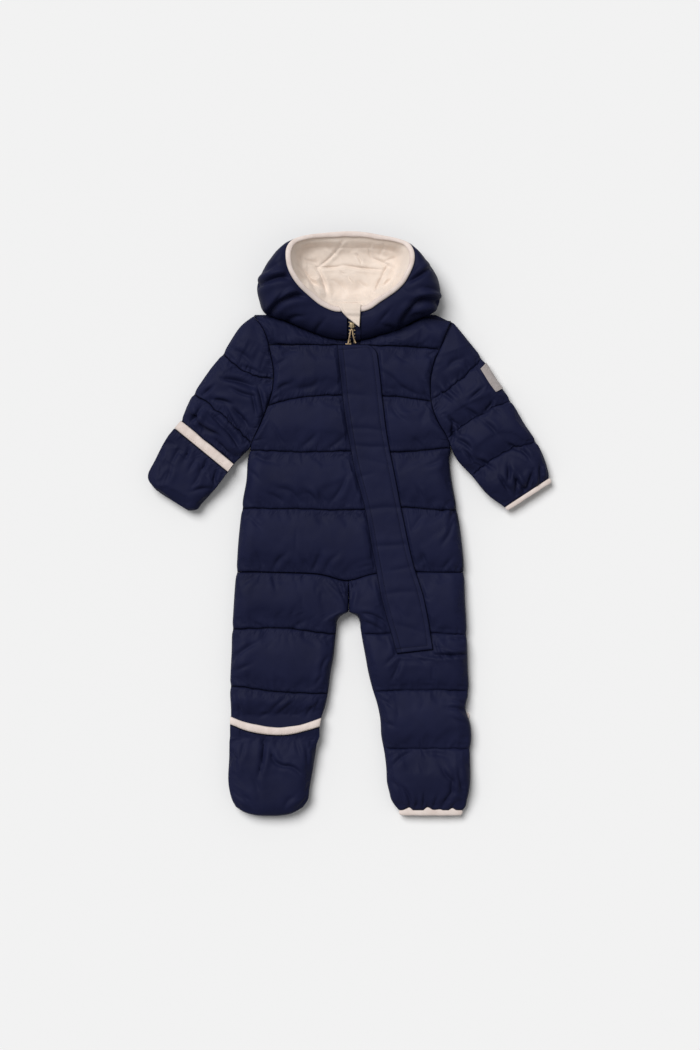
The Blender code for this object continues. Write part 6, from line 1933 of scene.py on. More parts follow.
folded_hand, folded_foot, folded_band = make_folded_covers()
cuff_ring, hem_ring = make_rings()

# %% [markdown]
# The hood's shell is a wall of padding that stands round the opening. Its cross-section goes over the
# outside from the rim to the floor and up again inside, and is swept from station to station. The
# outer arc is a smooth curve through the section's own knots, and folds are laid on it like creases.

# %% The hood's shell
HOOD_STEP, STATION_TRIM = 1 / 20, 0.012
ARC_POINTS = 56
SHELL_ARC = ((0.28, 0.0), (0.55, 0.07), (0.77, 0.26), (0.93, 0.58))  # shares of the reach, of the drop
HOOD_CREASES = (
    (-120, 308, -70, 319, 4.6, 4.2, 3), (-104, 272, -50, 296, 5, 4.2, 7), (-96, 286, -84, 300, 1.6, 4, 0),
    (-84, 262, -62, 268, 1.8, 4, 2), (-46, 248, -34, 262, 1.2, 4, 0), (-108, 326, -92, 336, 1.2, 4.5, 1),
    (66, 256, 90, 284, 3.8, 4.2, 4), (84, 285, 118, 287, 7, 4.6, 3), (66, 311, 104, 330, 3.8, 4.2, -3),
    (96, 304, 114, 300, 1.8, 4, 1), (46, 256, 62, 250, 1.6, 4, 1), (40, 262, 52, 276, 1.2, 4, 0),
    (80, 268, 96, 272, 1.8, 4, 1),
)


def inside_rim(at, section):
    """Corners of a section at a station, from distances in from the rim and heights."""
    rim, _, _, inward, _ = hood_station(at)
    return [(*(rim + inward * distance), z) for distance, z in section]


def hood_knots(at, sink=0.0):
    """The knots of the shell's outer arc and the rest of its closed section."""
    rim, height, out, _, reach = hood_station(at)
    wide = max(reach, 0.0)
    low_y = (rim + out * reach)[1]
    belly = COLLAR_FOOT_HEIGHT + (BELLY_HEIGHT - COLLAR_FOOT_HEIGHT) * ease(low_y, 268, 285)
    crest = height + CREST_LIFT * wide / 50
    arc = [(share * reach, crest + (belly - crest) * drop - sink) for share, drop in SHELL_ARC]
    arc.append((reach, max(belly - sink, FRONT_BASE + 0.5)))
    if low_y < BACK_NECK_Y + 0.8:
        corner = (rim[1] - BACK_NECK_Y - 0.8) / -out[1]
        foot = [(reach, FRONT_BASE), (corner, FRONT_BASE), (corner, 0.0)]
    else:
        inset = 3 + 0.14 * wide
        tucked = FRONT_BASE + (4.5 - FRONT_BASE) * ease(low_y, 276, 292)
        foot = [(reach - 0.25 * inset, FRONT_BASE), (reach - 0.55 * inset, tucked), (reach - inset, 0.0)]
    arc, foot = ([(*(rim + out * distance), z) for distance, z in part] for part in (arc, foot))
    first, *inside = inside_rim(at, (
        (RIM_INSET[0], height), (WALL_FOOT, 0.0), (WALL_FOOT, FLOOR_TOP), (8.5, 0.55 * height),
        (RIM_INSET[1], height),
    ))
    return np.array([first, *arc]), np.array([*foot, *inside])


def stations(start, end):
    return np.linspace(start + STATION_TRIM, end - STATION_TRIM, int(round((end - start) / HOOD_STEP)) + 1)


def hood_wall(name, start, end, seed, sink=0.0):
    sections = [hood_knots(at, sink) for at in stations(start, end)]
    grid = np.array([
        faired(run_along(arc) + 0.01 * np.arange(len(arc)), arc, ARC_POINTS) for arc, _ in sections])
    run = run_along(grid)
    relief = unevenness(grid, HOOD_CREASES, seed, 0.9, 30, 0.35, 11)
    for row in (0, len(grid) - 1):
        relief -= 0.8 * puckers(grid, row, seed + row)
    relief -= 0.55 * side_puckers(grid, 0, seed + 7, 1.0, 11.0)
    relief -= 0.3 * side_puckers(grid, ARC_POINTS - 1, seed + 8, 1.0, 13.0)
    free = ease(run, 2.0, 9.0) * ease(run[:, -1:] - run, 0.5, 5.0) * ease(run[:, -1:], 12.0, 26.0)
    grid = grid + outward(grid, BOWL) * (relief * free * (sink == 0))[..., None]
    grid[..., 2] = np.maximum(grid[..., 2], FRONT_BASE + 0.4)
    return lofted(name, [np.concatenate([arc, rest]) for arc, (_, rest) in zip(grid, sections)], NYLON)


def hood_centre_panel():
    """The hood's middle panel: its brim stands, and the rest lies on the floor."""
    skin, rows = Skin(), []
    for at in stations(BRIM_START, BRIM_END):
        height = hood_station(at)[1]
        rows.append(skin.row(inside_rim(at, (
            (WALL_FOOT, 0.0), (WALL_FOOT, FLOOR_TOP), (8.5, 0.55 * height), (RIM_INSET[1], height),
            (RIM_INSET[0], height), (0.5, 0.8 * height), (0.5, 0.6 * height), (0.8, 0.4 * height),
            (1.0, 0.25 * height), (1.6, 5.0), (2.4, 2.0), (3.6, 0.0),
        ))))
    skin.cloth([row[1:] for row in rows])
    skin.face(*rows[0])
    skin.face(*rows[-1])
    around = [*np.arange(BRIM_END + 0.4, ZIP_RIGHT, 0.4), *np.arange(0, BRIM_START - 0.2, 0.4)]
    low, high = (
        skin.row([inside_rim(at, ((WALL_FOOT + 0.5, z),))[0] for at in around]) for z in (0.0, FLOOR_TOP))
    skin.strip([rows[-1][0], *low, rows[0][0]], [rows[-1][1], *high, rows[0][1]])
    skin.face(*(row[1] for row in rows), *high)
    skin.face(*(row[-1] for row in rows), rows[-1][0], *low, rows[0][0])
    return skin.finish("hood_centre_padded", NYLON)


hood_right = hood_wall("hood_side_right_padded", 0, BRIM_START, 201)
hood_left = hood_wall("hood_side_left_padded", BRIM_END, ZIP_LEFT, 211)
hood_middle = hood_centre_panel()
zip_facing = hood_wall("zip_underlap_padded", ZIP_LEFT, ZIP_RIGHT, 221, sink=6.0)
stand_padded(
    0.5, (hood_right, "hood_side_right"), (hood_left, "hood_side_left"), (hood_middle, "hood_centre"),
    (zip_facing, "zip_underlap"),
)

# %% [markdown]
# The lining is a second bowl inside the first: a slack sheet of fleece, sewn only at the rim and at the
# neck, so it lies in long soft folds on the floor of the hood. It is a round grid, spokes from the rim
# to the middle, and its folds are ridges and troughs laid where fleece bunches up.

# %% The fleece lining
LINING_FOLDS = (  # start x, y; end x, y; height; half width
    (-38, 324, 40, 322, 4.2, 11), (-50, 330, -32, 292, 5, 6.5), (-10, 328, 6, 314, 2, 7),
    (54, 326, 38, 294, 5.2, 6.5), (7, 352, 14, 338, 2.6, 6), (-30, 352, -50, 346, 2.6, 8),
    (20, 366, 60, 352, 3, 6), (-64, 346, -46, 322, 3, 6),
)
LINING_CREASES = (  # start x, y; end x, y; depth; half width; bow
    (-6, 372, -40, 335, 1.8, 2.2, 3), (-9, 336, -41, 334, 2, 2.2, 1), (42, 331, -8, 337, 2.1, 2.2, 1),
    (-42, 332, -29, 290, 2.6, 3, 3), (-62, 330, -42, 298, 2.4, 3.2, 2), (-12, 328, 2, 316, 1.6, 2.6, 1),
    (46, 326, 32, 293, 2.6, 3, -2), (30, 346, 57, 332, 1.9, 2.6, 1), (8, 352, 16, 338, 1.8, 2.4, 1),
    (62, 328, 46, 298, 2.2, 3.2, -1), (50, 336, 44, 326, 2.6, 3.2, 0), (-29, 287, 33, 287, 1.5, 1.8, -1),
    (-60, 344, -44, 340, 1.2, 3, 0), (58, 346, 46, 342, 1.2, 3, 0), (-24, 318, -4, 302, 1, 3.6, 2),
    (10, 318, 30, 306, 1, 3.6, -2), (-16, 350, -30, 362, 1, 3, 0), (24, 358, 30, 346, 1.2, 2.6, 0),
    (44, 362, 40, 350, 1, 2.6, 0), (-70, 336, -62, 326, 2, 4, 0), (56, 330, 48, 320, 2, 4, 0),
    (18, 300, 26, 290, 1.2, 2.6, 0), (-20, 300, -26, 290, 1.2, 2.6, 0),
)
AROUND_STEP = 1 / 9
FLOOR_SHARES = (0.2, 0.42, 0.64, 0.85)
LINING_ROWS = 78
MOST_FLOOR = 18.4  # the hood stays hollow above this height
SOFT_FLOOR = 6.0  # the folds fade within this much of the floor's edge
SOFT_TOP = 1.2  # and round off this much below the hollow's floor
FLOOR_FOOT = WALL_FOOT + 6  # the lining's floor starts this far in
HOLLOWS = ((27.0, 329.0, 30.0), (55.0, 336.0, 15.0))  # half width, middle y and half length


def lining_fold(x, y):
    """How far the slack lining stands up in soft ridges."""
    total = 0.0
    for *ends, height, half in LINING_FOLDS:
        span, run, off = beside(x, y, *ends)
        total = total + height * bell(np.hypot(off, run - np.clip(run, 0, span)), half)
    return total


def lining_spoke(at):
    """Hidden outside points and the inside curve of one spoke, from the rim to near the middle."""
    rim, height, *_ = hood_station(at)
    way = float(length(BOWL - rim)) - FLOOR_FOOT
    outside = inside_rim(at, (
        (WALL_FOOT + 0.8, FLOOR_TOP + 0.5), (8.9, 0.55 * height + 0.3), (RIM_INSET[1] + GAP, height - 0.2)))
    floor = [(FLOOR_FOOT + way * s, FLOOR_TOP + GAP + LINING + 5.0 * (1 - s) ** 2) for s in FLOOR_SHARES]
    inside = np.array(inside_rim(at, (
        (RIM_INSET[1] + GAP + LINING, height - 0.2), (12.5, 0.55 * height + 10.5),
        (FLOOR_FOOT, FLOOR_TOP + 10.5), *floor,
    )))
    return outside, faired(run_along(inside), inside, LINING_ROWS)


def make_lining():
    spokes = [lining_spoke(at) for at in np.arange(0, ZIP_RIGHT, AROUND_STEP)]
    outside, inside = (np.array(part).transpose(1, 0, 2) for part in zip(*spokes))
    x, y, z = (inside[..., i] for i in range(3))
    free = ease(length(inside - inside[:1]), 1.0, 9.0)
    standing = lining_fold(x, y) * ease(FLOOR_TOP + 12 - z, 0, SOFT_FLOOR)
    uneven = unevenness(inside, LINING_CREASES, 231, 0.7, 17, 0, 7) * free
    z += standing + uneven + 0.4 * hills(x, y, 7, 233) * free
    clear = [
        np.hypot(np.maximum(np.abs(x - 0.5) - wide, 0), np.maximum(np.abs(y - middle) - tall, 0))
        for wide, middle, tall in HOLLOWS
    ]
    hollow = MOST_FLOOR + 1.6 * np.minimum(*clear)
    z[:] = np.maximum(-SOFT_TOP * np.logaddexp(-z / SOFT_TOP, -hollow / SOFT_TOP), FLOOR_TOP + 0.9)
    skin = Skin()
    rows = [*skin.rows(outside), *skin.rows(inside)]
    skin.cloth(rows, closed=True)
    centre = skin.row([(*BOWL, FLOOR_TOP + GAP + LINING + float(lining_fold(*BOWL)))])[0]
    for corner, after in zip(rows[-1], [*rows[-1][1:], rows[-1][0]]):
        skin.face(corner, after, centre)
    skin.face(*rows[0])
    return skin.finish("hood_lining_fleece", FLEECE)


lining = stand_for(make_lining(), "fleece", "hood_lining")

# %% [markdown]
# The rim of the hood is bound with the same ribbed tape as the covers, and the corner of fleece over
# the top of the zip keeps it off the chin. The corner's long edge is rolled, so a soft ridge runs
# along it down to the tip.

# %% Hood binding and chin guard
RIM_SECTION = (
    (0.0, 1.2), (0.15, 2.1), (0.7, 3.0), (1.9, 3.6), (3.6, 3.9), (5.3, 3.6), (6.5, 3.0), (7.1, 2.1),
    (HOOD_BINDING_WIDTH, 1.2), (7.2, 0.7), (6.9, GAP), (3.6, GAP), (0.4, GAP), (0.1, 0.7),
)
CHIN_RIGHT = ((285.0, -14.6), (280.0, -12.9), (275.0, -10.4), (267.0, -3.0), (261.0, 4.2), (255.0, 12.0))
CHIN_LEFT = ((285.0, 14.6), (275.0, 14.2), (262.0, 13.4), (255.0, 12.9))
CHIN_OVER_RIM = ((264.0, 0.0), (270.0, 39.9), (275.0, 41.3), (279.0, 41.6), (282.0, 40.4), (285.0, 35.0))
CHIN_THICKNESS, CHIN_ROLL = 2.2, 1.0
CHIN_ROWS, CHIN_COLUMNS, CHIN_SOFTEN = 61, 31, 19


def make_hood_binding():
    stops = [hood_station(at) for at in np.linspace(0.5, ZIP_LEFT, 520)]
    run = run_along(np.array([stop[0] for stop in stops]))
    sway = 0.35 * hills(run, 0, 12, 241)
    off, up = np.array(RIM_SECTION).T
    rings = [
        at_height(rim + np.outer(off + by * (off > 3), inward), height + up)
        for (rim, height, _, inward, _), by in zip(stops, sway)
    ]
    return lofted("hood_binding_tape", rings, RIBBING, run[:, None], off)


def moved_out(path, off):
    """A path in (y, z) moved to its left by a distance, or by one distance for each column."""
    ahead = unit(np.diff(path, axis=0))
    along = unit(np.concatenate([ahead[:1], ahead[:-1] + ahead[1:], ahead[-1:]]))
    mitre = 1 / np.maximum((along * np.concatenate([ahead[:1], ahead])).sum(1), 0.6)
    normal = np.stack([-along[:, 1], along[:, 0]], 1) * mitre[:, None]
    return path[:, None] + normal[:, None] * np.atleast_1d(off)[:, None]


def collar_path(sink, off):
    """The collar's outside at the zip as (y, z), from its foot up, moved out by a distance."""
    arc, _ = hood_knots((ZIP_LEFT + ZIP_RIGHT) / 2, sink)
    return moved_out(arc[::-1, 1:], off)[:, 0]


def collar_top(y, sink=0.0, off=0.0):
    """Height of the collar's outside at the front, under the chin."""
    return np.interp(y, *collar_path(sink, off).T)


def make_chin_guard():
    y = np.linspace(285.0, 255.0, CHIN_ROWS)
    first, last = curve(CHIN_RIGHT)(y)[:, None], curve(CHIN_LEFT)(y)[:, None]
    x = mix(first, last, edge_shares(CHIN_COLUMNS))
    off = x - first
    base = np.maximum(collar_top(y) + 0.9, curve(CHIN_OVER_RIM)(y))
    window = np.hanning(CHIN_SOFTEN)[1:-1] / np.hanning(CHIN_SOFTEN).sum()
    base = (np.convolve(np.pad(base, len(window) // 2, "edge"), window, "valid") + 0.5)[:, None]
    roll = CHIN_ROLL * bell(off - 1.6, 1.5) - 0.5 * bell(off - 4.2, 1.0)
    rim = np.minimum(off, last - x)
    thin = ease(285.0 - y, -1.0, 9.0)[:, None]
    top = base + 0.5 + ((CHIN_THICKNESS - 0.5) * rise(rim / 1.4) + roll * ease(rim, 0.0, 0.8)) * thin
    return slab("chin_guard_fleece", join(x, y[:, None], top), join(x, y[:, None], base), FLEECE)


hood_edge = stand_for(make_hood_binding(), "binding", "hood_binding")
chin_guard = stand_for(make_chin_guard(), "fleece", "chin_guard")

# %% [markdown]
# The zip runs up the slot between the fronts and over the collar. Its tape is a thin strip that follows
# that path. Its teeth repeat, so they are one small shape set along a line by Geometry Nodes, one line
# for each side and half a pitch apart. The same tree sets every stitch on the suit.

# %% Zip tape
ZIP_SINK = 6.0  # the facing behind the zip lies this far below the collar's outside
ZIP_LIFT, ZIP_TAPE = 0.7, 1.6
CHAIN_LIFT = 0.9  # the teeth's middle line over the tape


def resampled(line, count, start=0.0):
    """A line of points resampled evenly from a distance along it."""
    return points_at(line, np.linspace(start, run_along(line)[-1], count))


def zip_path():
    """The zip's run as (y, z): along the body in its slot, then up the collar."""
    low_y = np.linspace(ZIP_SLOT[0][0] + 1.5, 232, 170)
    up = collar_path(ZIP_SINK, ZIP_LIFT)[:-1]
    up[0] = (up[0, 0], FRONT_BASE + GAP)
    return np.array([*((y, FRONT_BASE + GAP) for y in low_y), *resampled(up, 40)])


def zip_middle(y):
    """x of the chain's middle."""
    return (slot_right(y) + slot_left(y)) / 2 - 3.0 * ease(y, 226, 240)


def make_tape(path):
    y = path[:, 0]
    right, left, middle = slot_right(y) + GAP, slot_left(y) - GAP, zip_middle(y)
    half = 1.6 + 1.4 * ease(y, 226, 240)
    near, far = middle - half, middle + half
    chain = (near, near + 0.4, far - 0.4, far)
    x = np.stack([right, mix(right, near, 0.5), *chain, mix(left, far, 0.5), left], -1)
    side = (1.0, ZIP_TAPE * 0.8, ZIP_TAPE, ZIP_TAPE + 0.5)
    raised = moved_out(path, np.array((*side, *side[::-1])))
    upper, lower = join(x, raised[..., 0], raised[..., 1]), join(x, y[:, None], path[:, 1:])
    return slab("zip_tape_woven", upper, lower, TAPE_CLOTH)


zip_line = zip_path()
zip_tape = stand_for(make_tape(zip_line), "shell", "zip_tape")

# %% [markdown]
# One tree serves all that repeats along a line. It resamples the line to the pitch, sets the shape at
# each point with its x along the line, turns each a little by a seeded random amount, and ends in real
# geometry with a finish. The result is baked to a plain mesh and the modifier taken off.

# %% A tree that repeats a shape along a line
TREE_INPUTS = (
    ("Line", "Geometry"), ("Shape", "Object"), ("Pitch", "Float"), ("Turn", "Float"), ("Seed", "Int"),
    ("Finish", "Material"),
)


def repeating_tree():
    tree = bpy.data.node_groups.new("repeat along a line", "GeometryNodeTree")
    for label, kind in TREE_INPUTS:
        tree.interface.new_socket(label, in_out="INPUT", socket_type="NodeSocket" + kind)
    tree.interface.new_socket("Result", in_out="OUTPUT", socket_type="NodeSocketGeometry")

    def add(kind, inputs=None, **settings):
        return add_node(tree, kind, inputs, **settings)

    given, result = tree.nodes.new("NodeGroupInput").outputs, tree.nodes.new("NodeGroupOutput")
    line = add("GeometryNodeMeshToCurve", {0: given["Line"]})
    points = add("GeometryNodeResampleCurve", {"Curve": line, "Length": given["Pitch"]}, mode="LENGTH")
    shape = add("GeometryNodeObjectInfo", {"Object": given["Shape"]}, result="Geometry")
    facing = add("FunctionNodeAlignRotationToVector", {"Vector": add("GeometryNodeInputTangent")}, axis="X")
    least = add("ShaderNodeMath", {0: given["Turn"], 1: -1.0}, operation="MULTIPLY")
    limits = {"Min": least, "Max": given["Turn"], "Seed": given["Seed"]}
    chance = add("FunctionNodeRandomValue", limits, data_type="FLOAT")
    turn = add("FunctionNodeEulerToRotation", {0: add("ShaderNodeCombineXYZ", {"Z": chance})})
    spin = add("FunctionNodeRotateRotation", {"Rotation": facing, "Rotate By": turn}, rotation_space="LOCAL")
    placed_shapes = {"Points": points, "Instance": shape, "Rotation": spin}
    real = add("GeometryNodeRealizeInstances", {0: add("GeometryNodeInstanceOnPoints", placed_shapes)})
    finished = add("GeometryNodeSetMaterial", {"Geometry": real, "Material": given["Finish"]})
    tree.links.new(finished, result.inputs[0])
    return tree


REPEAT = repeating_tree()


def bar(name, profile, long, wide, tall, sides, material, across=False):
    """A short bar lofted from rings, at places and with shares of its size, along x or across it."""
    turn = np.linspace(0, 2 * np.pi, sides, endpoint=False)
    rings = [
        join(place * long, np.cos(turn) * wide / 2 * share, np.sin(turn) * tall / 2 * share)
        for place, share in profile
    ]
    return lofted(name, [ring[:, (1, 0, 2)] for ring in rings] if across else rings, material)


def repeat_along(name, lines, shape, pitch, turn, seed, finish, slot):
    """Sets a shape along lines of points with the tree and keeps the result as a plain mesh."""
    mesh = bpy.data.meshes.new(name)
    points, edges = [], []
    for line in lines:
        start = len(points)
        points += (np.asarray(line) * MM).tolist()
        edges += [(i, i + 1) for i in range(start, len(points) - 1)]
    mesh.from_pydata(points, edges, [])
    piece = put(name, mesh)
    modifier = piece.modifiers.new("repeat", "NODES")
    modifier.node_group = REPEAT
    names = {item.name: item.identifier for item in REPEAT.interface.items_tree if item.in_out == "INPUT"}
    values = {"Shape": shape, "Pitch": pitch * MM, "Turn": turn, "Seed": seed, "Finish": finish}
    for label, value in values.items():
        modifier[names[label]] = value
    settle(piece)
    bpy.data.objects.remove(shape, do_unlink=True)
    return stand_for(piece, slot)


print("tree nodes", len(REPEAT.nodes))

# %% [markdown]
# The teeth are coarse, as on a child's coat, and stand on the tape's inner edges, each side reaching
# over the middle so that the two lock. Above the placket, where they show, the chain is a little wider
# than down in the narrow slot.

# %% Zip teeth
TOOTH_PITCH = 5.2
CHAIN_WIDE, CHAIN_NARROW = 2.7, 1.75  # how far a tooth's middle lies from the chain's, up and down
TOOTH = ((-0.5, 0.5), (-0.42, 0.8), (-0.1, 0.72), (0.2, 0.9), (0.42, 1.0), (0.5, 0.6))  # place, share
TOOTH_SIZE = (3.4, 1.7, 1.4)  # across the tape, along it and tall; it has a thicker head


def tooth_line(side, start):
    path = zip_line[(zip_line[:, 0] > -160) & (zip_line[:, 0] < 262)]
    y, z = resampled(moved_out(path, ZIP_TAPE + CHAIN_LIFT)[:, 0], 400, start).T
    off = CHAIN_NARROW + (CHAIN_WIDE - CHAIN_NARROW) * ease(y, 226, 240)
    return join(zip_middle(y) + side * off, y, z)


for side, start, name in ((-1, 0.0, "teeth_right"), (1, TOOTH_PITCH / 2, "teeth_left")):
    tooth = bar("tooth", TOOTH, *TOOTH_SIZE, 8, METAL, across=True)
    repeat_along(name, [tooth_line(side, start)], tooth, TOOTH_PITCH, 0.04, 5, METAL, "zip_metal")

# %% [markdown]
# The slider is a small casting: a body that narrows to the closed side, flanges, and a bridge over the
# top that the cord passes through. It is lofted from rings and its bridge is joined on by a Boolean,
# so the piece stays one closed skin.

# %% Slider
SLIDER_Y = 257.0
CHAIN_TOP = ZIP_LIFT + ZIP_TAPE + 1.4
SLIDER = (6.6, 7.6, 3.6)  # across, along and thick
SLIDER_SECTION = (  # shares of the half width and of the thickness
    (-1.0, 0.0), (1.0, 0.0), (1.0, 0.32), (0.93, 0.42), (0.97, 0.55), (0.86, 0.72), (0.6, 0.86), (0.25, 0.93),
    (-0.25, 0.93), (-0.6, 0.86), (-0.86, 0.72), (-0.97, 0.55), (-0.93, 0.42), (-1.0, 0.32),
)
BAR_X, BAR_Y, BAR_Z = (-5.3, 1.9), 233.95, 21.9  # the cord's end is tied round this bar
THIN_ROD = 0.55


def make_slider():
    wide, long, thick = SLIDER
    x = float(zip_middle(SLIDER_Y))
    rings = []
    for share in np.linspace(-0.5, 0.5, 19):
        taper = np.interp(share, (-0.5, -0.42, -0.3, 0.2, 0.42, 0.5), (0.5, 0.68, 0.85, 1.0, 0.92, 0.7))
        y = SLIDER_Y + share * long
        z = float(collar_top(y, ZIP_SINK, CHAIN_TOP + 0.7))
        up = np.interp(abs(share), (0.0, 0.38, 0.5), (1.0, 0.94, 0.6))
        rings.append([(x + a * wide / 2 * taper, y, z + h * thick * 0.8 * up) for a, h in SLIDER_SECTION])
    body = lofted("zip_slider_body", rings, METAL)
    turn = np.linspace(0, np.pi, 19)
    y = SLIDER_Y + 2.7 * np.cos(turn)
    z = collar_top(y, ZIP_SINK, CHAIN_TOP + 0.7) + thick * 0.62 + 1.3 * np.sin(turn)
    carve(body, tube("bridge", join(x, y, z), np.full(19, THIN_ROD), METAL, 10), "UNION")
    return body


stand_for(make_slider(), "zip_metal", "zip_slider")
bar_line = join(np.linspace(*BAR_X, 13), BAR_Y, BAR_Z)
stand_for(tube("puller_end_bar", bar_line, np.full(13, THIN_ROD), CORD_COVER), "cord")

# %% [markdown]
# The placket is a flat, lightly padded flap that covers the zip. It is topstitched round its edges, and
# the thread draws a shallow groove with small dimples. Its long left edge is where it is sewn on, with
# a second row of stitches beside the first, and a few faint creases cross it where the body bends.

# %% Placket
PLACKET_ROWS, PLACKET_COLUMNS = 261, 41
TOPSTITCH = 6.5  # the stitch line lies this far in from the free edges
SECOND_ROW = 7.0
PLACKET_RIM = 1.4  # thickness at its very edge
PLACKET_CREASES = (
    (-4, 124, 46, 120, 0.7, 4.5, 2), (0, 104, 52, 101, 0.8, 4, -2), (18, 18, 66, 21, 0.9, 5, 2),
    (28, -28, 78, -25, 0.8, 4.5, -1), (-8, 170, 20, 166, 0.5, 5, 0), (40, -92, 90, -88, 0.6, 5, 2),
    (8, 60, 30, 66, 0.5, 4, 0), (60, -130, 92, -140, 0.6, 4.5, 1), (-10, 205, 14, 198, 0.5, 5, 1),
    (52, -60, 80, -54, 0.5, 4, -1), (20, 84, 54, 76, 0.5, 5, 0), (60, -106, 72, -122, 0.6, 4, 0),
)


def placket_grid():
    y = np.linspace(PLACKET[0][0], PLACKET_TOP_Y, PLACKET_ROWS)
    y = y - 1e-6 * (y - y[0])
    above = np.clip((y - (PLACKET_TOP_Y - PLACKET_CORNER)) / PLACKET_CORNER, 0, 1)
    free = placket_free(y) - PLACKET_CORNER * (1 - np.sqrt(1 - np.minimum(above, 0.985) ** 2))
    across = edge_shares(PLACKET_COLUMNS, 0.35)
    slanted = y[:, None] + PLACKET_FOOT_SLANT * across * (1 - ease(y, y[0], y[0] + 60))[:, None]
    return np.stack([mix(placket_sewn(y)[:, None], free[:, None], across), slanted], -1)


def stitch_groove(off, seed, run):
    """A shallow groove at a stitch line, deeper and shallower along its run."""
    return (0.55 + 0.2 * hills(run, 0, 5, seed)) * bell(off, 1.1)


def make_placket():
    grid = placket_grid()
    x, y = grid[..., 0], grid[..., 1]
    base = np.maximum(front_height(x, y), PLACKET_BED) + PLACKET_LIFT
    edges = (grid[:, :1], grid[:, -1:], grid[:1], grid[-1:])
    sewn, free, foot, head = (length(grid - line) for line in edges)
    loose = np.minimum(free, np.minimum(foot, head))
    rim = np.minimum(sewn, loose)
    top = base + PLACKET_RIM + (PLACKET_THICKNESS - PLACKET_RIM) * rise(rim / 2.6)
    relief = unevenness(grid, PLACKET_CREASES, 251, 0.3, 26, 0.22, 8)
    relief -= stitch_groove(loose - TOPSTITCH, 253, x + y) + stitch_groove(sewn - SECOND_ROW, 254, y)
    relief -= 0.4 * puckers(at_height(grid, base), 0, 255, 1.0, 8.0)
    surface = at_height(grid, np.maximum(top + relief * ease(rim, 0.6, 3.0), base + 1.2))
    piece = slab("placket_padded", surface, at_height(grid, base), NYLON)
    # painted shade along the stitch rows: the small last number still turns on the finish's seam darkening
    off = np.minimum(np.abs(loose - TOPSTITCH), np.abs(sewn - SECOND_ROW))
    mark_line(piece, y, 0.4 + np.minimum(1.6 * off, rim), 0.02)
    return piece, surface, sewn, loose


placket, placket_top, from_sewn, from_loose = make_placket()
stand_for(placket, "shell", "placket")


def line_at(values, level, surface, trim, end_trim, lift=0.12):
    """Points on each row of a surface, but for some at its ends, where a value first reaches a level."""
    line = []
    for row_values, row in list(zip(values, surface))[trim:-end_trim]:
        over = np.flatnonzero(row_values >= level)
        if len(over) and over[0] > 0:
            i = over[0]
            share = (level - row_values[i - 1]) / (row_values[i] - row_values[i - 1])
            line.append(mix(row[i - 1], row[i], share) + (0, 0, lift))
    return np.array(line)


placket_rows = [
    line_at(from_sewn, 1.2, placket_top, 2, 2),
    line_at(from_sewn, SECOND_ROW, placket_top, 5, 5),
    line_at(from_loose[:, ::-1], TOPSTITCH, placket_top[:, ::-1], 10, 10),
]
for turned in (placket_top.transpose(1, 0, 2), placket_top[::-1].transpose(1, 0, 2)):
    placket_rows.append(line_at(length(turned - turned[:, :1]), TOPSTITCH, turned, 4, 7))
print("placket stitch rows", len(placket_rows))

# %% [markdown]
# The patch on the sleeve is a plain woven label, folded round the sleeve's outer edge. It follows the
# sleeve's own cross-section, a hair above it, and is stitched down near its edge.

# %% Sleeve label
LABEL_STATIONS = (2.25, 3.42)
LABEL_PATH = (10.4, 9.0, 7.5, 6.0, 5.0, 3.8, 2.6, 1.7, 0.9, 0.4, 0.0)
LABEL_THICKNESS = 0.9
LABEL_UNDER = 0.7  # the patch lies this far over the sleeve


def make_label():
    low, high = [], []
    levels = np.linspace(*LABEL_STATIONS, 41)
    for level, outer, inner, bow, stitch in zip(levels, *sleeve_rows(SLEEVE_LEFT, levels)):
        width, crest = float(length(inner - outer)), left_sleeve_crest(level)
        distance, height = sleeve_top(
            width, stitch, crest, (level / 2) % 1, JOINED_SEAM_HEIGHT, SEAM_ROUNDING)
        path = [(d, float(np.interp(d, distance, height))) for d in LABEL_PATH]
        path = np.array([*path, *((inset, up) for up, inset in LOWER_EDGE[:3])])
        along = np.gradient(path, axis=0)
        normal = unit(np.stack([-along[:, 1], along[:, 0]], 1))
        normal *= np.where(normal[:1, 1] > 0, 1, -1)
        for side, up in ((low, LABEL_UNDER), (high, LABEL_UNDER + LABEL_THICKNESS)):
            side.append(placed(outer, inner, bow, *(path + normal * up).T))
    return slab("sleeve_label_patch", high, low, LABEL_CLOTH), np.array(high)


label, label_top = make_label()
stand_for(label, "label", "sleeve_label")

# %% [markdown]
# Every row of thread is the same work: a short rounded stitch, set along the row by the tree. Navy
# thread runs along the quilt lines and round the placket, pale thread along the bindings and the label.
# A stitch is longer than it is wide and half sunk, so it reads as thread and not as beads.

# %% Stitches
STITCH_PITCH = 3.4
STITCH = ((-0.5, 0.35), (-0.36, 0.85), (0.0, 1.0), (0.36, 0.85), (0.5, 0.35))  # place, share
FOOT_STITCH, MITTEN_STITCH = 0.070, 0.82  # where the stitches cross the covers, as levels of their grids
RIM_STITCH_IN, RIM_STITCH_UP = 6.2, 3.2  # in from the hood's rim and over it
THREAD_LIFT = 0.05  # a thread's middle over the tape or the patch


def lifted(line, up):
    return np.asarray(line) + (0.0, 0.0, up)


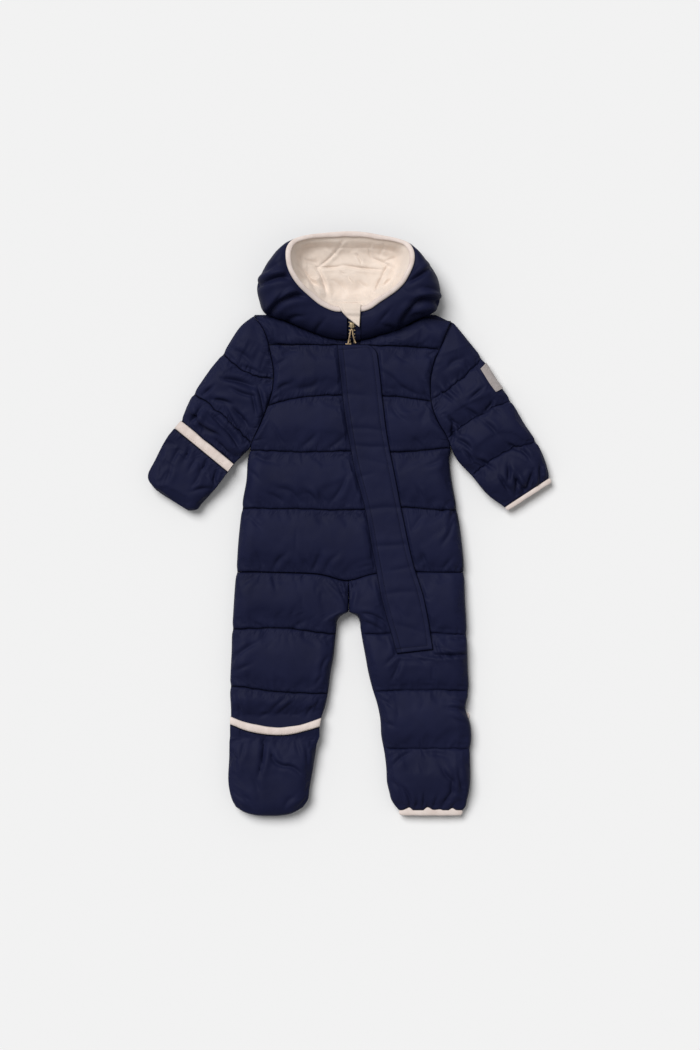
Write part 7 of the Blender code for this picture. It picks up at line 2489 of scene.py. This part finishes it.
def stitches(name, lines, finish, slot, seed, long=2.4, width=0.55):
    thread = bar("stitch", STITCH, long, width, width * 0.8, 6, NYLON)
    long_enough = [line for line in lines if len(line) > 2]
    repeat_along(name, long_enough, thread, STITCH_PITCH, 0.08, seed, finish, slot)


def tape_stitches():
    """Lines just inside the lower edge of each sewn tape, on top of it."""
    across = np.linspace(0.02, 0.98, 90)
    foot, hand = foot_grid((FOOT_STITCH,), across)[0], mitten_grid((MITTEN_STITCH,), across)[0]
    over = BAND_THICKNESS + THREAD_LIFT
    around = np.linspace(0.6, ZIP_LEFT - 0.1, 400)
    rim = [inside_rim(at, ((RIM_STITCH_IN, hood_station(at)[1] + RIM_STITCH_UP),))[0] for at in around]
    return [
        at_height(foot, leg_right.height(*foot.T) + COVER_GAP + over),
        at_height(hand, COVERED_CREST + LIP_CLEARANCE + over), np.array(rim),
    ]


stitches("stitches_quilting", [lifted(row[2:-2], -0.15) for row in QUILT_ROWS], NAVY_THREAD, "shell", 1)
stitches("stitches_placket", placket_rows, NAVY_THREAD, "shell", 2)
stitches("stitches_bindings", tape_stitches(), PALE_THREAD, "binding", 3)
edge = label_top[2:-2, 1:-1]
label_edge = [lifted(line, THREAD_LIFT) for line in (edge[:, 0], edge[0, :8], edge[-1, :8])]
stitches("stitches_label", label_edge, GREY_THREAD, "label", 4, 1.8, 0.45)

# %% [markdown]
# Each sheet that shows has its cut printed, as a pattern piece on the table, twice a tape's width
# because a binding is folded over its edge, next to half its surface.

# %% Sheets and their cuts
def cut(piece, width, length):
    surface = sum(face.area for face in piece.data.polygons) * 1e6
    print(f"{piece.name:28s} cut {width:.0f} x {length:.0f} mm, surface / 2 {surface / 2:.0f} mm2")


cut(lining, 165, 140)
cut(foot_binding, 118, 14)
cut(hand_binding, 98, 15)
cut(folded_hand, 82, 47)
cut(folded_foot, 125, 102)
cut(folded_band, 118, 11)
cut(cuff_ring, 140, 10)
cut(hem_ring, 190, 10)
cut(hood_edge, 430, 10)
cut(chin_guard, 28, 34)
cut(zip_tape, 450, 10)
cut(placket, 410, 56)
cut(label, 38, 25)
